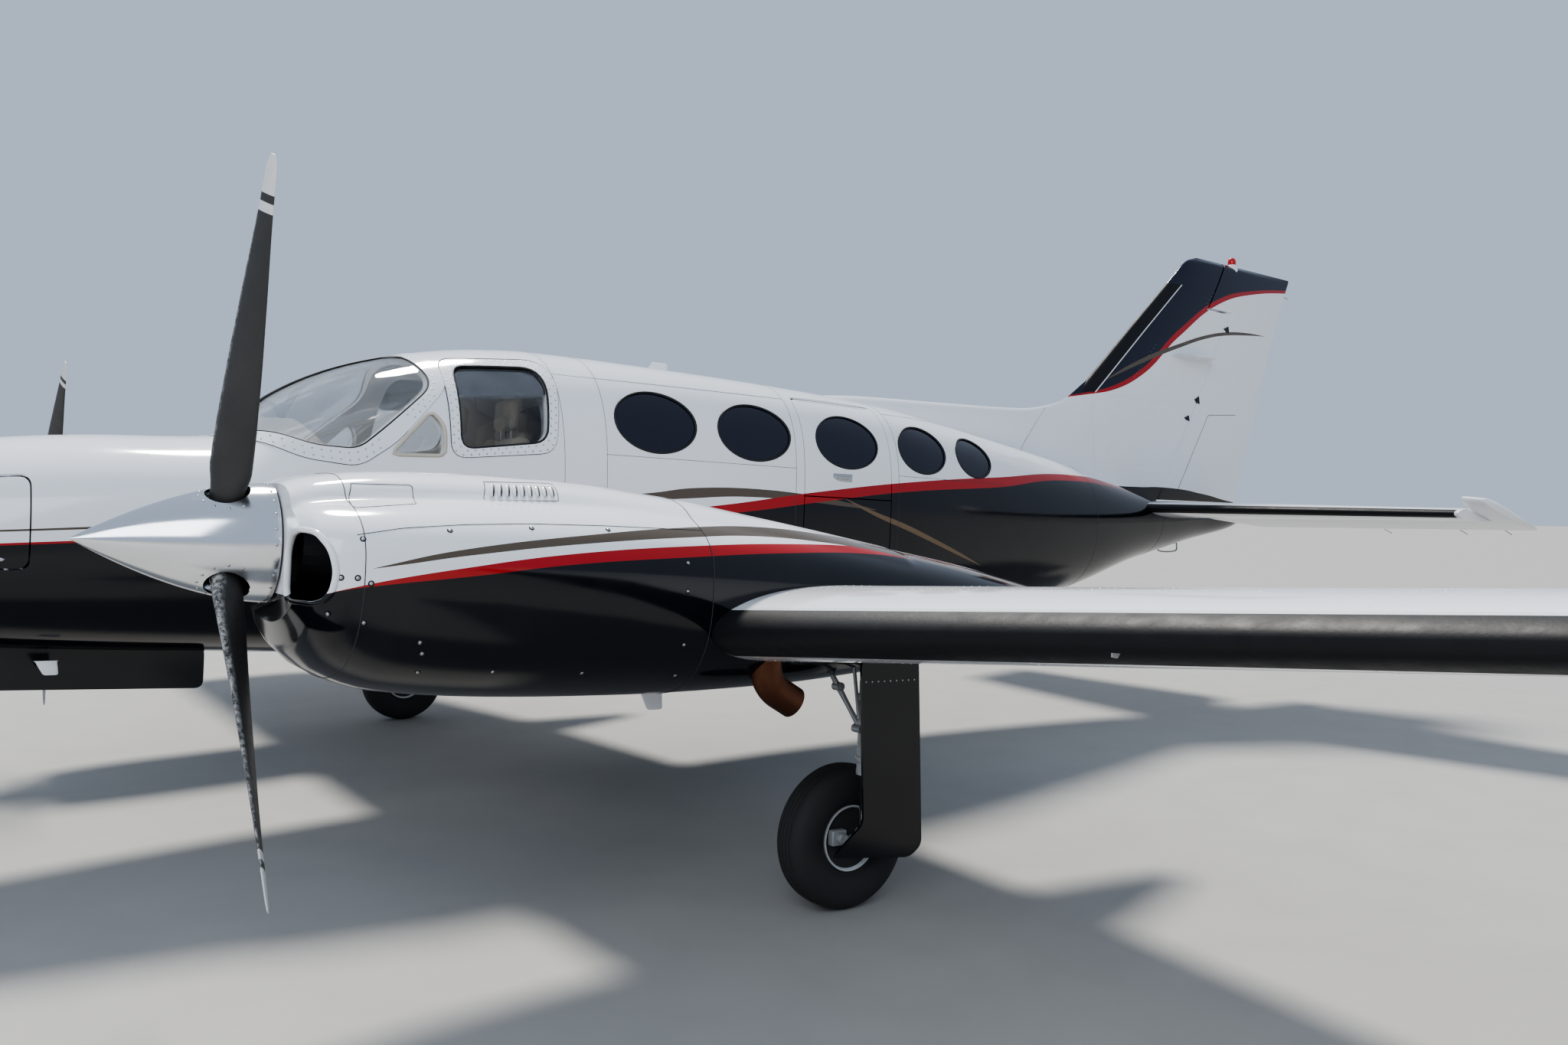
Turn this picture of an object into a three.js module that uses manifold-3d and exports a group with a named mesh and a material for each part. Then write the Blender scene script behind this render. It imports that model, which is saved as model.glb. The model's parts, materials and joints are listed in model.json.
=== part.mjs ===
// A pressurised twin-engined light aircraft, parked on its tricycle landing gear.
// Millimetres. +X is the port wing, +Y is aft, +Z is up. The airframe is drawn level, with y = 0 at
// the propeller discs and z = 0 at the ground under the main wheels, and then set at its parked attitude.
import * as THREE from 'three';
import { mergeVertices } from 'three/addons/utils/BufferGeometryUtils.js';
import Module from 'manifold-3d';

const wasm = await Module();
wasm.setup();

const REST = 0.3;                // gap left between two pieces that touch
const FINE = 0.1;                 // detail smaller than this is dropped from the finished pieces
const SKEWED = 0.9;              // the same for the ends of pins that lie askew
const RUN = 6;                   // running gap round a moving surface
const NOSE_UP = THREE.MathUtils.degToRad(2.73);

const MAIN_WHEEL = { x: 2527, y: 2272, z: 279.5, radius: 279.5, width: 165, rim: 127 };
const NOSE_WHEEL = { y: -910, radius: 222.5, width: 150, rim: 76 };
const ENGINE = { x: 2371, z: 1364, firewall: 1430, front: 135 };
const WHEEL_SIDES = 20;
const SPINNER_SIDES = 18;
const PROPELLER = { radius: 1143, blades: 3, spinner: 180, tip: -396, base: 128, hole: 62, phase: [22.7, 40.7] };
const BULKHEAD = { front: 450, rear: 5050 };
const WALL = 45;                 // cabin wall with its trim
const SKIN = 12;                 // wall left over the window panels
const FLOOR = { top: 1045, thick: 35 };

// Fuselage sections: station, half width, crown, keel, height of the widest point, and the powers
// of the rounded upper and lower halves.
const FUSELAGE = table(['y', 'wide', 'top', 'bottom', 'waist', 'upper', 'lower'], [
  [-2040, 22, 1188, 1142, 1165, 2.0, 2.0],
  [-1975, 82, 1245, 1085, 1165, 2.0, 2.0],
  [-1830, 158, 1315, 1020, 1168, 2.0, 2.0],
  [-1550, 262, 1425, 945, 1180, 2.05, 2.1],
  [-1150, 385, 1560, 885, 1210, 2.1, 2.3],
  [-650, 500, 1690, 843, 1262, 2.2, 2.5],
  [-150, 590, 1757, 820, 1325, 2.3, 2.7],
  [450, 672, 1797, 800, 1400, 2.4, 2.8],
  [670, 695, 2000, 793, 1425, 2.35, 2.8],
  [860, 710, 2115, 787, 1445, 2.35, 2.8],
  [1050, 722, 2195, 782, 1460, 2.4, 2.8],
  [1240, 733, 2252, 777, 1475, 2.45, 2.8],
  [1400, 742, 2292, 773, 1488, 2.5, 2.8],
  [1640, 752, 2327, 768, 1500, 2.6, 2.8],
  [1900, 760, 2343, 765, 1510, 2.75, 2.8],
  [2560, 762, 2330, 762, 1515, 3.2, 2.8],
  [3400, 755, 2304, 766, 1520, 3.4, 2.8],
  [4150, 725, 2265, 795, 1530, 3.2, 2.7],
  [4700, 675, 2205, 845, 1545, 2.9, 2.6],
  [5450, 585, 2110, 945, 1560, 2.5, 2.4],
  [6200, 470, 2000, 1105, 1580, 2.3, 2.25],
  [6900, 345, 1860, 1310, 1620, 2.1, 2.1],
  [7300, 270, 1785, 1400, 1640, 2.1, 2.0],
  [7700, 195, 1765, 1492, 1660, 2.1, 2.0],
  [8250, 100, 1755, 1600, 1680, 2.0, 2.0],
  [8420, 40, 1735, 1650, 1695, 2.0, 2.0],
]);
const NOSE_STATIONS = [-2040, -1975, -1830, -1550, -1150, -650, -150, 450];
const CABIN_STATIONS = [450, 560, 670, 860, 1050, 1240, 1400, 1640, 1900, 2560, 3300, 4150, 4700, 5050];
const TAIL_STATIONS = [5050, 5450, 6200, 6900, 7300, 8250, 8420];

// Engine cowl and nacelle sections, centred on the propeller shaft.
const NACELLE = table(['y', 'wide', 'top', 'bottom', 'waist', 'upper', 'lower'], [
  [135, 360, 1500, 1130, 1340, 2.3, 2.2],
  [175, 425, 1512, 1040, 1330, 2.4, 2.3],
  [260, 458, 1520, 970, 1320, 2.5, 2.4],
  [420, 478, 1530, 915, 1310, 2.5, 2.5],
  [760, 492, 1540, 882, 1300, 2.5, 2.6],
  [1100, 490, 1540, 868, 1290, 2.5, 2.6],
  [1430, 475, 1530, 862, 1280, 2.4, 2.6],
  [1870, 440, 1490, 868, 1260, 2.3, 2.5],
  [2450, 375, 1412, 905, 1220, 2.2, 2.3],
  [2900, 300, 1345, 960, 1190, 2.1, 2.2],
  [3400, 190, 1250, 1030, 1150, 2.0, 2.0],
  [3750, 90, 1180, 1085, 1135, 2.0, 2.0],
  [3880, 30, 1150, 1110, 1130, 2.0, 2.0],
]);
// The raised spine along the top of the cowl and nacelle.
const SPINE = table(['y', 'wide', 'top', 'bottom', 'waist', 'upper', 'lower'], [
  [135, 235, 1545, 1400, 1440, 3.2, 3.0],
  [200, 250, 1568, 1400, 1450, 3.2, 3.0],
  [420, 262, 1597, 1400, 1460, 3.0, 3.0],
  [760, 280, 1606, 1400, 1460, 2.8, 3.0],
  [1100, 300, 1594, 1400, 1450, 2.6, 3.0],
  [1430, 320, 1565, 1400, 1440, 2.4, 3.0],
  [1870, 330, 1503, 1360, 1400, 2.3, 3.0],
  [2450, 300, 1412, 1280, 1320, 2.2, 3.0],
]);
const COWL_STATIONS = [135, 175, 260, 420, 760, 1100, 1430];
const NACELLE_STATIONS = [1430, 1870, 2450, 2900, 3400, 3750, 3880];
const COWL_SKIN = 12;

// Wing: span station, leading edge, chord, height of the leading edge and thickness ratio.
const WING = table(['x', 'lead', 'chord', 'z', 'thick'], [
  [450, 1385, 1865, 921, 0.18],
  [2371, 1430, 1740, 1075, 0.165],
  [5900, 1545, 1215, 1357, 0.12],
  [6150, 1590, 1080, 1380, 0.115],
  [6265, 1780, 700, 1392, 0.08],
]);
const WING_CAMBER = 0.018;
const JACK = { x: 3150, y: 1930, radius: 30, foot: 1035 };
const AILERON = { inner: 4330, outer: 5880, hinge: 0.76, end: 8, pin: 8 };
const FLAP = {
  hinge: 0.74, thick: [15, 10, 3.5], gap: 6, clear: [8, 5, 5],
  spans: [['inner', 830, 1990], ['outer', 2900, 4300]],
};

const STABILIZER = table(['x', 'lead', 'chord', 'z', 'thick'], [
  [0, 6800, 1280, 1720, 0.1],
  [2440, 7190, 790, 1720, 0.1],
  [2560, 7230, 740, 1720, 0.09],
  [2590, 7330, 560, 1720, 0.05],
]);
const ELEVATOR = { hinge: 7620, z: 1720, inner: 250, swept: 520, tip: 2440, droop: 13, tube: 22 };

// Fin and rudder together, in horizontal sections.
const FIN = table(['z', 'lead', 'trail', 'thick'], [
  [1700, 6150, 8330, 0.085],
  [2570, 6410, 8630, 0.085],
  [3100, 6960, 8797, 0.085],
  [3600, 7490, 8985, 0.085],
  [3735, 7640, 9040, 0.07],
  [3775, 7760, 9050, 0.03],
]);
const RUDDER = {
  foot: [7290, 1780], slope: 0.553, step: 3355, hornFoot: 7840, hornTop: 8160, bottom: 1800,
  hornGap: [9, 7, 20],           // room ahead of, behind and under the horn's edge
};
const DORSAL = table(['y', 'wide', 'top', 'bottom', 'waist', 'upper', 'lower'], [
  [3870, 60, 2305, 2180, 2240, 1.6, 2.0],
  [4350, 75, 2340, 2120, 2200, 1.6, 2.0],
  [5040, 90, 2360, 2040, 2120, 1.6, 2.0],
  [5800, 100, 2390, 1950, 2050, 1.6, 2.0],
  [6200, 105, 2470, 1900, 2000, 1.6, 2.0],
  [6500, 100, 2660, 1850, 1950, 1.7, 2.0],
]);

// Side windows: centre, half length and half height of each oval pane.
const OVALS = table(['name', 'y', 'z', 'long', 'high'], [
  ['first', 2412, 1985, 236, 158],
  ['second', 3022, 1977, 236, 152],
  ['third', 3674, 1970, 232, 151],
  ['fourth', 4290, 1967, 205, 142],
  ['fifth', 4780, 1952, 168, 124],
]);
const WINDSHIELD = [[456, 1812], [575, 1812], [731, 1756], [915, 1748], [1034, 1850], [1258, 2050], [1280, 2110],
  [1262, 2175], [1205, 2290], [456, 2290]];
const CREW_WINDOW = [[1374, 1776], [1800, 1838], [1838, 2135], [1800, 2215], [1400, 2190]];
const VENT_WINDOW = [[1052, 1732], [1298, 1742], [1304, 1880], [1256, 1950]];
const POST = 18;                 // half width of the windshield's centre post
const DOOR = { front: 3352, rear: 3998, top: 2200, split: 1650, bottom: 1100, pin: 11.4 };
const BAGGAGE = {
  front: -860, rear: -330, top: 1560, fall: 60, bottom: 1190, skin: 25, gap: 9, notch: 70, pin: 9.2,
};
const PIN = { radius: 5, inset: 4 };   // door hinge pins, set in from the panel's outer edge
const RELIEF = { depth: 20, long: 9, high: 95, notch: [26, 11] };   // door corners, cut back to swing clear
const NOSE_WELL = { front: -1190, rear: 420, half: 195, top: 1080 };
const NOSE_DOOR = [[-700, 870], [405, 830], [405, 640], [-700, 672]];
const TAIL_WALL = 18;
const TAIL_SKIN = 10;             // skins of the fin, rudder and stabilizer
const PANEL = { front: 800, rear: 880, top: 1700 };
const SEAT = {
  width: 460, deep: 470, cushion: 330, back: 520, head: 700,
  x: 390, rows: [2560, 2850], crewX: 340, crewY: 1330,
};
const INTAKE = [[196, 1200], [395, 1212], [424, 1290], [385, 1385], [300, 1412], [205, 1385]];
const BLOCK = { half: 372, front: 430, rear: 1330, bottom: 1075, top: 1430 };
const GEARBOX = { front: 205, radius: 120 };
const SHAFT = 48;
const EXHAUST = {
  radius: 58,
  wall: 4,
  route: [[2690, 1745, 1060], [2700, 1760, 980], [2704, 1790, 905], [2706, 1850, 860], [2708, 1925, 828]],
};
const FORK = { trail: 34, top: 640, barrel: 40, piston: 27, axle: 14 };
// Propeller blade sections: radius, chord, thickness and blade angle in degrees.
const BLADE = table(['r', 'chord', 'thick', 'pitch'], [
  [60, 92, 88, 46],
  [170, 104, 76, 45],
  [235, 138, 52, 42],
  [350, 142, 40, 37],
  [500, 138, 31, 31],
  [740, 112, 20, 25],
  [1000, 68, 11, 19.5],
  [1115, 50, 8, 18],
  [1143, 20, 5, 17],
]);
const BLADE_SIDES = 8;

const LEG = { x: 2668, barrel: 42, piston: 27, axle: 24, foot: 540, doorX: 2728 };
const LEG_DOOR = [[2165, 905], [2450, 905], [2500, 262], [2440, 222], [2060, 262], [2205, 372]];

const ALLOY = { metalness: 0.3, roughness: 0.35 };
const FINISH = {
  white: new THREE.MeshStandardMaterial({ color: 0xe9ebef, ...ALLOY }),
  black: new THREE.MeshStandardMaterial({ color: 0x0b0c10, roughness: 0.2 }),
  glass: new THREE.MeshStandardMaterial({ color: 0x11162b, roughness: 0.05 }),
  clear: new THREE.MeshStandardMaterial({ color: 0xcfe0ea, roughness: 0.03 }),
  trim: new THREE.MeshStandardMaterial({ color: 0xcbbfa6, roughness: 0.8 }),
  polished: new THREE.MeshStandardMaterial({ color: 0xc9ccd0, metalness: 1, roughness: 0.12 }),
  blade: new THREE.MeshStandardMaterial({ color: 0x2b2c2e, roughness: 0.55 }),
  steel: new THREE.MeshStandardMaterial({ color: 0x8c8f92, metalness: 0.9, roughness: 0.35 }),
  exhaust: new THREE.MeshStandardMaterial({ color: 0x7a4a30, metalness: 0.8, roughness: 0.5 }),
  iron: new THREE.MeshStandardMaterial({ color: 0x3a3b3d, metalness: 0.6, roughness: 0.6 }),
  rubber: new THREE.MeshStandardMaterial({ color: 0x141414, roughness: 0.9 }),
};

function table(columns, rows) {
  return rows.map((row) => Object.fromEntries(columns.map((name, i) => [name, row[i]])));
}

// Value of one column at a place along the table, by a smooth curve that never overshoots its rows.
function smooth(rows, key, column, place) {
  const last = rows.length - 1;
  if (place <= rows[0][key]) return rows[0][column];
  if (place >= rows[last][key]) return rows[last][column];
  const i = rows.findIndex((row) => row[key] > place) - 1;
  const rise = (j) => (rows[j + 1][column] - rows[j][column]) / (rows[j + 1][key] - rows[j][key]);
  const slope = (j) => {
    if (j === 0) return rise(0);
    if (j === last) return rise(last - 1);
    const before = rise(j - 1);
    const after = rise(j);
    return before * after <= 0 ? 0 : (2 * before * after) / (before + after);
  };
  const step = rows[i + 1][key] - rows[i][key];
  const t = (place - rows[i][key]) / step;
  return (2 * t ** 3 - 3 * t ** 2 + 1) * rows[i][column] + (t ** 3 - 2 * t ** 2 + t) * step * slope(i)
    + (3 * t ** 2 - 2 * t ** 3) * rows[i + 1][column] + (t ** 3 - t ** 2) * step * slope(i + 1);
}

// Values of all columns at a place between two rows, along straight lines.
function straight(rows, key, place) {
  const i = Math.max(1, rows.findIndex((row) => row[key] >= place));
  const t = (place - rows[i - 1][key]) / (rows[i][key] - rows[i - 1][key]);
  return Object.fromEntries(Object.keys(rows[0]).map((column) => (
    [column, rows[i - 1][column] + t * (rows[i][column] - rows[i - 1][column])])));
}

// A solid for cutting and joining, with its faces turned outward.
function solid(geometry) {
  const bare = geometry.clone();
  bare.deleteAttribute('normal');
  bare.deleteAttribute('uv');
  const merged = mergeVertices(bare, 1e-3);
  const places = merged.attributes.position;
  const corner = (i) => new THREE.Vector3().fromBufferAttribute(places, i);
  const faces = [];
  let volume = 0;
  for (let i = 0; i < merged.index.count; i += 3) {
    const [a, b, c] = [0, 1, 2].map((k) => merged.index.getX(i + k));
    if (a === b || b === c || c === a) continue;
    faces.push([a, b, c]);
    volume += corner(a).dot(corner(b).cross(corner(c)));
  }
  const triVerts = new Uint32Array(faces.flatMap(([a, b, c]) => (volume < 0 ? [a, c, b] : [a, b, c])));
  const mesh = new wasm.Mesh({ numProp: 3, vertProperties: new Float32Array(places.array), triVerts });
  return new wasm.Manifold(mesh);
}

function geometryOf(piece) {
  const mesh = piece.getMesh();
  const geometry = new THREE.BufferGeometry();
  geometry.setAttribute('position', new THREE.BufferAttribute(new Float32Array(mesh.vertProperties), 3));
  geometry.setIndex(new THREE.BufferAttribute(new Uint32Array(mesh.triVerts), 1));
  geometry.computeVertexNormals();
  return geometry;
}

const join = (first, ...others) => others.reduce((sum, piece) => sum.add(piece), first);
const cut = (first, ...others) => others.reduce((rest, piece) => rest.subtract(piece), first);

function mirrored(piece) {
  return solid(geometryOf(piece).applyMatrix4(new THREE.Matrix4().makeScale(-1, 1, 1)));
}

// Rings of equally many points joined into one closed skin, with a fan over each end. The diagonals of
// the left and right halves mirror each other.
function loft(rings) {
  const count = rings[0].length;
  const points = rings.flat();
  const faces = [];
  for (let r = 0; r + 1 < rings.length; r += 1) {
    for (let i = 0; i < count; i += 1) {
      const a = r * count + i;
      const b = r * count + ((i + 1) % count);
      const left = i >= count / 4 && i < (3 * count) / 4;
      faces.push(...(left ? [a, b, a + count, b, b + count, a + count] : [a, b, b + count, a, b + count, a + count]));
    }
  }
  [[0, true], [rings.length - 1, false]].forEach(([r, first]) => {
    const middle = rings[r].reduce((sum, point) => sum.add(point), new THREE.Vector3()).divideScalar(count);
    points.push(middle);
    for (let i = 0; i < count; i += 1) {
      const a = r * count + i;
      const b = r * count + ((i + 1) % count);
      faces.push(...(first ? [points.length - 1, b, a] : [points.length - 1, a, b]));
    }
  });
  const geometry = new THREE.BufferGeometry().setFromPoints(points);
  geometry.setIndex(faces);
  return solid(geometry);
}

// One rounded body section, inset from its skin.
function bodyRing(rows, y, inset = 0, centre = 0, sides = 24) {
  const at = (column) => smooth(rows, 'y', column, y);
  const power = (value, p) => Math.sign(value) * Math.abs(value) ** (2 / p);
  return Array.from({ length: sides }, (_, i) => {
    const angle = (i * 2 * Math.PI) / sides;
    const rising = Math.sin(angle) >= 0;
    const p = at(rising ? 'upper' : 'lower');
    const high = rising ? at('top') - at('waist') - inset : at('waist') - at('bottom') - inset;
    return new THREE.Vector3(
      centre + (at('wide') - inset) * power(Math.cos(angle), p),
      y,
      at('waist') + high * power(Math.sin(angle), p),
    );
  });
}

const body = (rows, stations, inset, centre, sides) => (
  loft(stations.map((y) => bodyRing(rows, y, inset, centre, sides))));

// The point of a straight line, given by its two ends, at a station along Y.
function lineAt([from, to], y) {
  const t = (y - from[1]) / (to[1] - from[1]);
  return from.map((value, i) => value + t * (to[i] - value));
}

// Half width of the faceted fuselage skin at a station and height.
function skinX(y, z) {
  const stations = [...NOSE_STATIONS, ...CABIN_STATIONS.slice(1), ...TAIL_STATIONS.slice(1)];
  const after = stations.findIndex((station) => station >= y);
  const t = (y - stations[after - 1]) / (stations[after] - stations[after - 1]);
  const [front, rear] = [stations[after - 1], stations[after]].map((station) => bodyRing(FUSELAGE, station));
  const ring = front.map((point, i) => point.clone().lerp(rear[i], t));
  const crossings = ring.map((a, i) => {
    const b = ring[(i + 1) % ring.length];
    const share = (z - a.z) / (b.z - a.z);
    return share >= 0 && share <= 1 ? a.x + share * (b.x - a.x) : 0;
  });
  return Math.max(...crossings);
}

function box(x0, x1, y0, y1, z0, z1) {
  const geometry = new THREE.BoxGeometry(x1 - x0, y1 - y0, z1 - z0);
  return solid(geometry.translate((x0 + x1) / 2, (y0 + y1) / 2, (z0 + z1) / 2));
}

// A round bar, straight or tapered, between two points.
function bar(from, to, radius, endRadius = radius, sides = 12) {
  const start = new THREE.Vector3(...from);
  const end = new THREE.Vector3(...to);
  const geometry = new THREE.CylinderGeometry(endRadius, radius, start.distanceTo(end), sides);
  const turn = new THREE.Quaternion().setFromUnitVectors(
    new THREE.Vector3(0, 1, 0),
    end.clone().sub(start).normalize(),
  );
  const middle = start.add(end).divideScalar(2);
  return solid(geometry.applyQuaternion(turn).translate(middle.x, middle.y, middle.z));
}

// A turned form about the X, Y or Z axis through a centre; the profile is radius against distance along it.
function turned(profile, axis, centre, sides = 32) {
  const geometry = new THREE.LatheGeometry(profile.map(([r, d]) => new THREE.Vector2(r, d)), sides);
  if (axis === 'x') geometry.rotateZ(-Math.PI / 2);
  if (axis === 'z') geometry.rotateX(Math.PI / 2);
  return solid(geometry.translate(...centre));
}

// An outline with its corners rounded by short curves.
function rounded(points, radius) {
  const corners = points.map(([a, b]) => new THREE.Vector2(a, b));
  const shape = new THREE.Shape();
  corners.forEach((corner, i) => {
    const before = corners[(i + corners.length - 1) % corners.length];
    const after = corners[(i + 1) % corners.length];
    const inward = corner.clone().lerp(before, Math.min(0.45, radius / corner.distanceTo(before)));
    const outward = corner.clone().lerp(after, Math.min(0.45, radius / corner.distanceTo(after)));
    if (i === 0) shape.moveTo(inward.x, inward.y);
    else shape.lineTo(inward.x, inward.y);
    shape.quadraticCurveTo(corner.x, corner.y, outward.x, outward.y);
  });
  return shape;
}

function oval({ y, z, long, high }, grow = 0) {
  return new THREE.Shape().absellipse(y, z, long + grow, high + grow, 0, 2 * Math.PI);
}

function outline(points) {
  return new THREE.Shape(points.map(([a, b]) => new THREE.Vector2(a, b)));
}

// An outline drawn on two axes and extruded along the third, from one place to another.
function prism(shape, normal, from, to, curveSegments = 4) {
  const geometry = new THREE.ExtrudeGeometry(shape, { depth: to - from, bevelEnabled: false, curveSegments });
  geometry.translate(0, 0, from);
  const [x, y, z] = [[1, 0, 0], [0, 1, 0], [0, 0, 1]].map((axis) => new THREE.Vector3(...axis));
  const basis = { x: [y, z, x], y: [x, z, y], z: [x, y, z] }[normal];
  return solid(geometry.applyMatrix4(new THREE.Matrix4().makeBasis(...basis)));
}

function grown(points, distance) {
  const middle = points.reduce(([a, b], [c, d]) => [a + c / points.length, b + d / points.length], [0, 0]);
  return points.map(([a, b]) => {
    const reach = Math.hypot(a - middle[0], b - middle[1]);
    const scale = (reach + distance) / reach;
    return [middle[0] + (a - middle[0]) * scale, middle[1] + (b - middle[1]) * scale];
  });
}

// Aerofoil: half thickness and mean line at a fraction of the chord, as fractions of the chord.
const FOIL = [1, 0.86, 0.7, 0.52, 0.35, 0.2, 0.1, 0.035, 0.006];
const halfThick = (f, thick) => 5 * thick * (0.2969 * Math.sqrt(f) - 0.126 * f - 0.3516 * f ** 2
  + 0.2843 * f ** 3 - 0.1015 * f ** 4);
const meanLine = (f, camber) => 4 * camber * f * (1 - f);

function foilPoints(chord, thick, camber, grow) {
  const place = (f) => f * (chord + 2 * grow) - grow;
  const along = (f) => Math.min(1, Math.max(0, place(f) / chord));
  const reach = (f) => Math.max(1, halfThick(along(f), thick) * chord + grow);
  const mean = (f) => meanLine(along(f), camber) * chord;
  const upper = FOIL.map((f) => [place(f), mean(f) + reach(f)]);
  const lower = [...FOIL].reverse().map((f) => [place(f), mean(f) - reach(f)]);
  return [...upper, [-grow, 0], ...lower];
}

function wingBody(rows, camber, grow = 0) {
  return loft(rows.map((row) => foilPoints(row.chord, row.thick, camber, grow).map(([a, b]) => (
    new THREE.Vector3(row.x, row.lead + a, row.z + b)))));
}

const aircraft = new THREE.Group();
const airframe = new THREE.Group();
const pivot = new THREE.Vector3(0, MAIN_WHEEL.y, MAIN_WHEEL.z);
airframe.rotation.x = -NOSE_UP;
airframe.position.copy(pivot).sub(pivot.clone().applyEuler(airframe.rotation));
aircraft.add(airframe);

function add(name, piece, material) {
  const mesh = new THREE.Mesh(geometryOf(piece.simplify(FINE)), material);
  mesh.name = name;
  airframe.add(mesh);
}

function addPair(name, piece, material) {
  add(`${name}_port`, piece, material);
  add(`${name}_starboard`, mirrored(piece), material);
}

// Whole forms that other pieces are cut by, each with the resting gap all round.
const ALL_STATIONS = [...NOSE_STATIONS, ...CABIN_STATIONS.slice(1), ...TAIL_STATIONS.slice(1)];
const fuselageEnvelope = body(FUSELAGE, ALL_STATIONS, -REST);
const wingEnvelope = wingBody(WING, WING_CAMBER, REST);
const nacelleForm = (stations, inset) => join(
  body(NACELLE, stations, inset, ENGINE.x, 22),
  body(SPINE, stations.filter((y) => y <= 2450), inset, ENGINE.x, 16),
);
const nacelleEnvelope = nacelleForm([...COWL_STATIONS, ...NACELLE_STATIONS.slice(1)], -REST);

// Nose: the wheel well below, and the baggage bay that runs through from hatch to hatch
const nose = body(FUSELAGE, NOSE_STATIONS);
const noseShort = body(FUSELAGE, [...NOSE_STATIONS.slice(0, -1), BULKHEAD.front - REST]);
const noseWell = box(-NOSE_WELL.half, NOSE_WELL.half, NOSE_WELL.front, NOSE_WELL.rear, 700, NOSE_WELL.top);
const hatch = (gap, from, to) => prism(rounded([
  [BAGGAGE.front - gap, BAGGAGE.bottom - gap],
  [BAGGAGE.rear + gap, BAGGAGE.bottom - gap],
  [BAGGAGE.rear + gap, BAGGAGE.top + gap],
  [BAGGAGE.front - gap, BAGGAGE.top - BAGGAGE.fall + gap],
], 45), 'x', from, to, 3);
const hatchTop = (y) => BAGGAGE.top - (BAGGAGE.fall * (BAGGAGE.rear - y)) / (BAGGAGE.rear - BAGGAGE.front);
const notchEnds = [BAGGAGE.front + BAGGAGE.notch, BAGGAGE.rear - BAGGAGE.notch];
// The bulge of the skin between the hinge's ends swings up into this notch
const hatchNotch = prism(outline([
  ...notchEnds.map((y) => [y, hatchTop(y)]),
  ...notchEnds.map((y) => [y, hatchTop(y) + 2 * BAGGAGE.gap]).reverse(),
]), 'x', -800, 800);
const hatchLine = [[BAGGAGE.front, BAGGAGE.top - BAGGAGE.fall], [BAGGAGE.rear, BAGGAGE.top]]
  .map(([y, z]) => [skinX(y, z - PIN.inset) - 2, y, z - PIN.inset]);
const hatchSkin = nose.subtract(body(FUSELAGE, NOSE_STATIONS, BAGGAGE.skin)).intersect(hatch(0, 150, 800));
const hatchPin = bar(
  lineAt(hatchLine, BAGGAGE.front + BAGGAGE.pin),
  lineAt(hatchLine, BAGGAGE.rear - BAGGAGE.pin),
  PIN.radius,
  PIN.radius,
  10,
);
add('nose_body', cut(noseShort, noseWell, hatch(BAGGAGE.gap, -800, 800), hatchNotch), FINISH.white);
addPair('baggage_door', join(hatchSkin, hatchPin), FINISH.white);

// Cabin shell, its panes and its door
const cabin = body(FUSELAGE, CABIN_STATIONS);
const innerStations = (gap) => [
  BULKHEAD.front + WALL + gap, 860, 1240, 1640, 2560, 4150, BULKHEAD.rear - WALL - gap];
const cabinInner = body(FUSELAGE, innerStations(0), WALL);
const cabinRoom = body(FUSELAGE, innerStations(REST), WALL + REST);
const layer = (outer, inner) => body(FUSELAGE, CABIN_STATIONS, outer)
  .subtract(body(FUSELAGE, CABIN_STATIONS, inner));
const through = (shape, sign, near = 300, segments = 6) => (
  prism(shape, 'x', sign > 0 ? near : -900, sign > 0 ? 900 : -near, segments));
const windscreen = (sign, grow) => (
  through(rounded(grown(WINDSHIELD, grow), 55), sign, POST + (grow < 0 ? REST : 0), 3)
);
const crewPanes = (sign, grow) => [
  through(rounded(grown(CREW_WINDOW, grow), 70), sign, 300, 4),
  through(rounded(grown(VENT_WINDOW, grow), 35), sign, 300, 3),
];
const ovals = (sign, names, grow) => OVALS.filter(({ name }) => names.includes(name))
  .map((pane) => through(oval(pane, grow), sign));
// Belts of wall thinned to the skin, in which each row of panes is held: side, name, panes, ends, low and high.
const BELTS = table(['sign', 'name', 'panes', 'front', 'rear', 'low', 'highFront', 'highRear'], [
  [1, 'cabin_windows_port_front', ['first', 'second'], 2150, 3290, 1800, 2165, 2155],
  [1, 'cabin_windows_port_rear', ['fourth', 'fifth'], 4060, 4975, 1800, 2135, 2095],
  [-1, 'cabin_windows_starboard', ['first', 'second', 'third', 'fourth', 'fifth'], 2150, 4975, 1800, 2165, 2095],
  [1, 'crew_windows_port', ['crew'], 1015, 1875, 1705, 2060, 2235],
  [-1, 'crew_windows_starboard', ['crew'], 1015, 1875, 1705, 2060, 2235],
]);
const panesOf = ({ sign, panes }, grow) => (panes[0] === 'crew' ? crewPanes(sign, grow) : ovals(sign, panes, grow));
const beltForm = ({ sign, front, rear, low, highFront, highRear }, gap) => through(outline([
  [front + gap, low + gap], [rear - gap, low + gap], [rear - gap, highRear - gap], [front + gap, highFront - gap],
]), sign, 300).subtract(windscreen(sign, 30 + gap));
const doorForm = (gap) => prism(rounded([
  [DOOR.front - gap, DOOR.bottom - gap],
  [DOOR.rear + gap, DOOR.bottom - gap],
  [DOOR.rear + gap, DOOR.top + gap],
  [DOOR.front - gap, DOOR.top + gap],
], 40), 'x', 300, 900, 3);
const besideSplit = (low, high) => box(300, 900, DOOR.front - 50, DOOR.rear + 50, low, high);
const wallLayer = cabin.subtract(cabinInner);
const shell = cut(
  cabin,
  cabinInner,
  windscreen(1, 0),
  windscreen(-1, 0),
  ...BELTS.flatMap((belt) => [
    ...panesOf(belt, 0),
    body(FUSELAGE, CABIN_STATIONS, SKIN).intersect(beltForm(belt, 0)),
  ]),
  doorForm(RUN),
);
add('cabin_shell', shell, FINISH.white);

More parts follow.
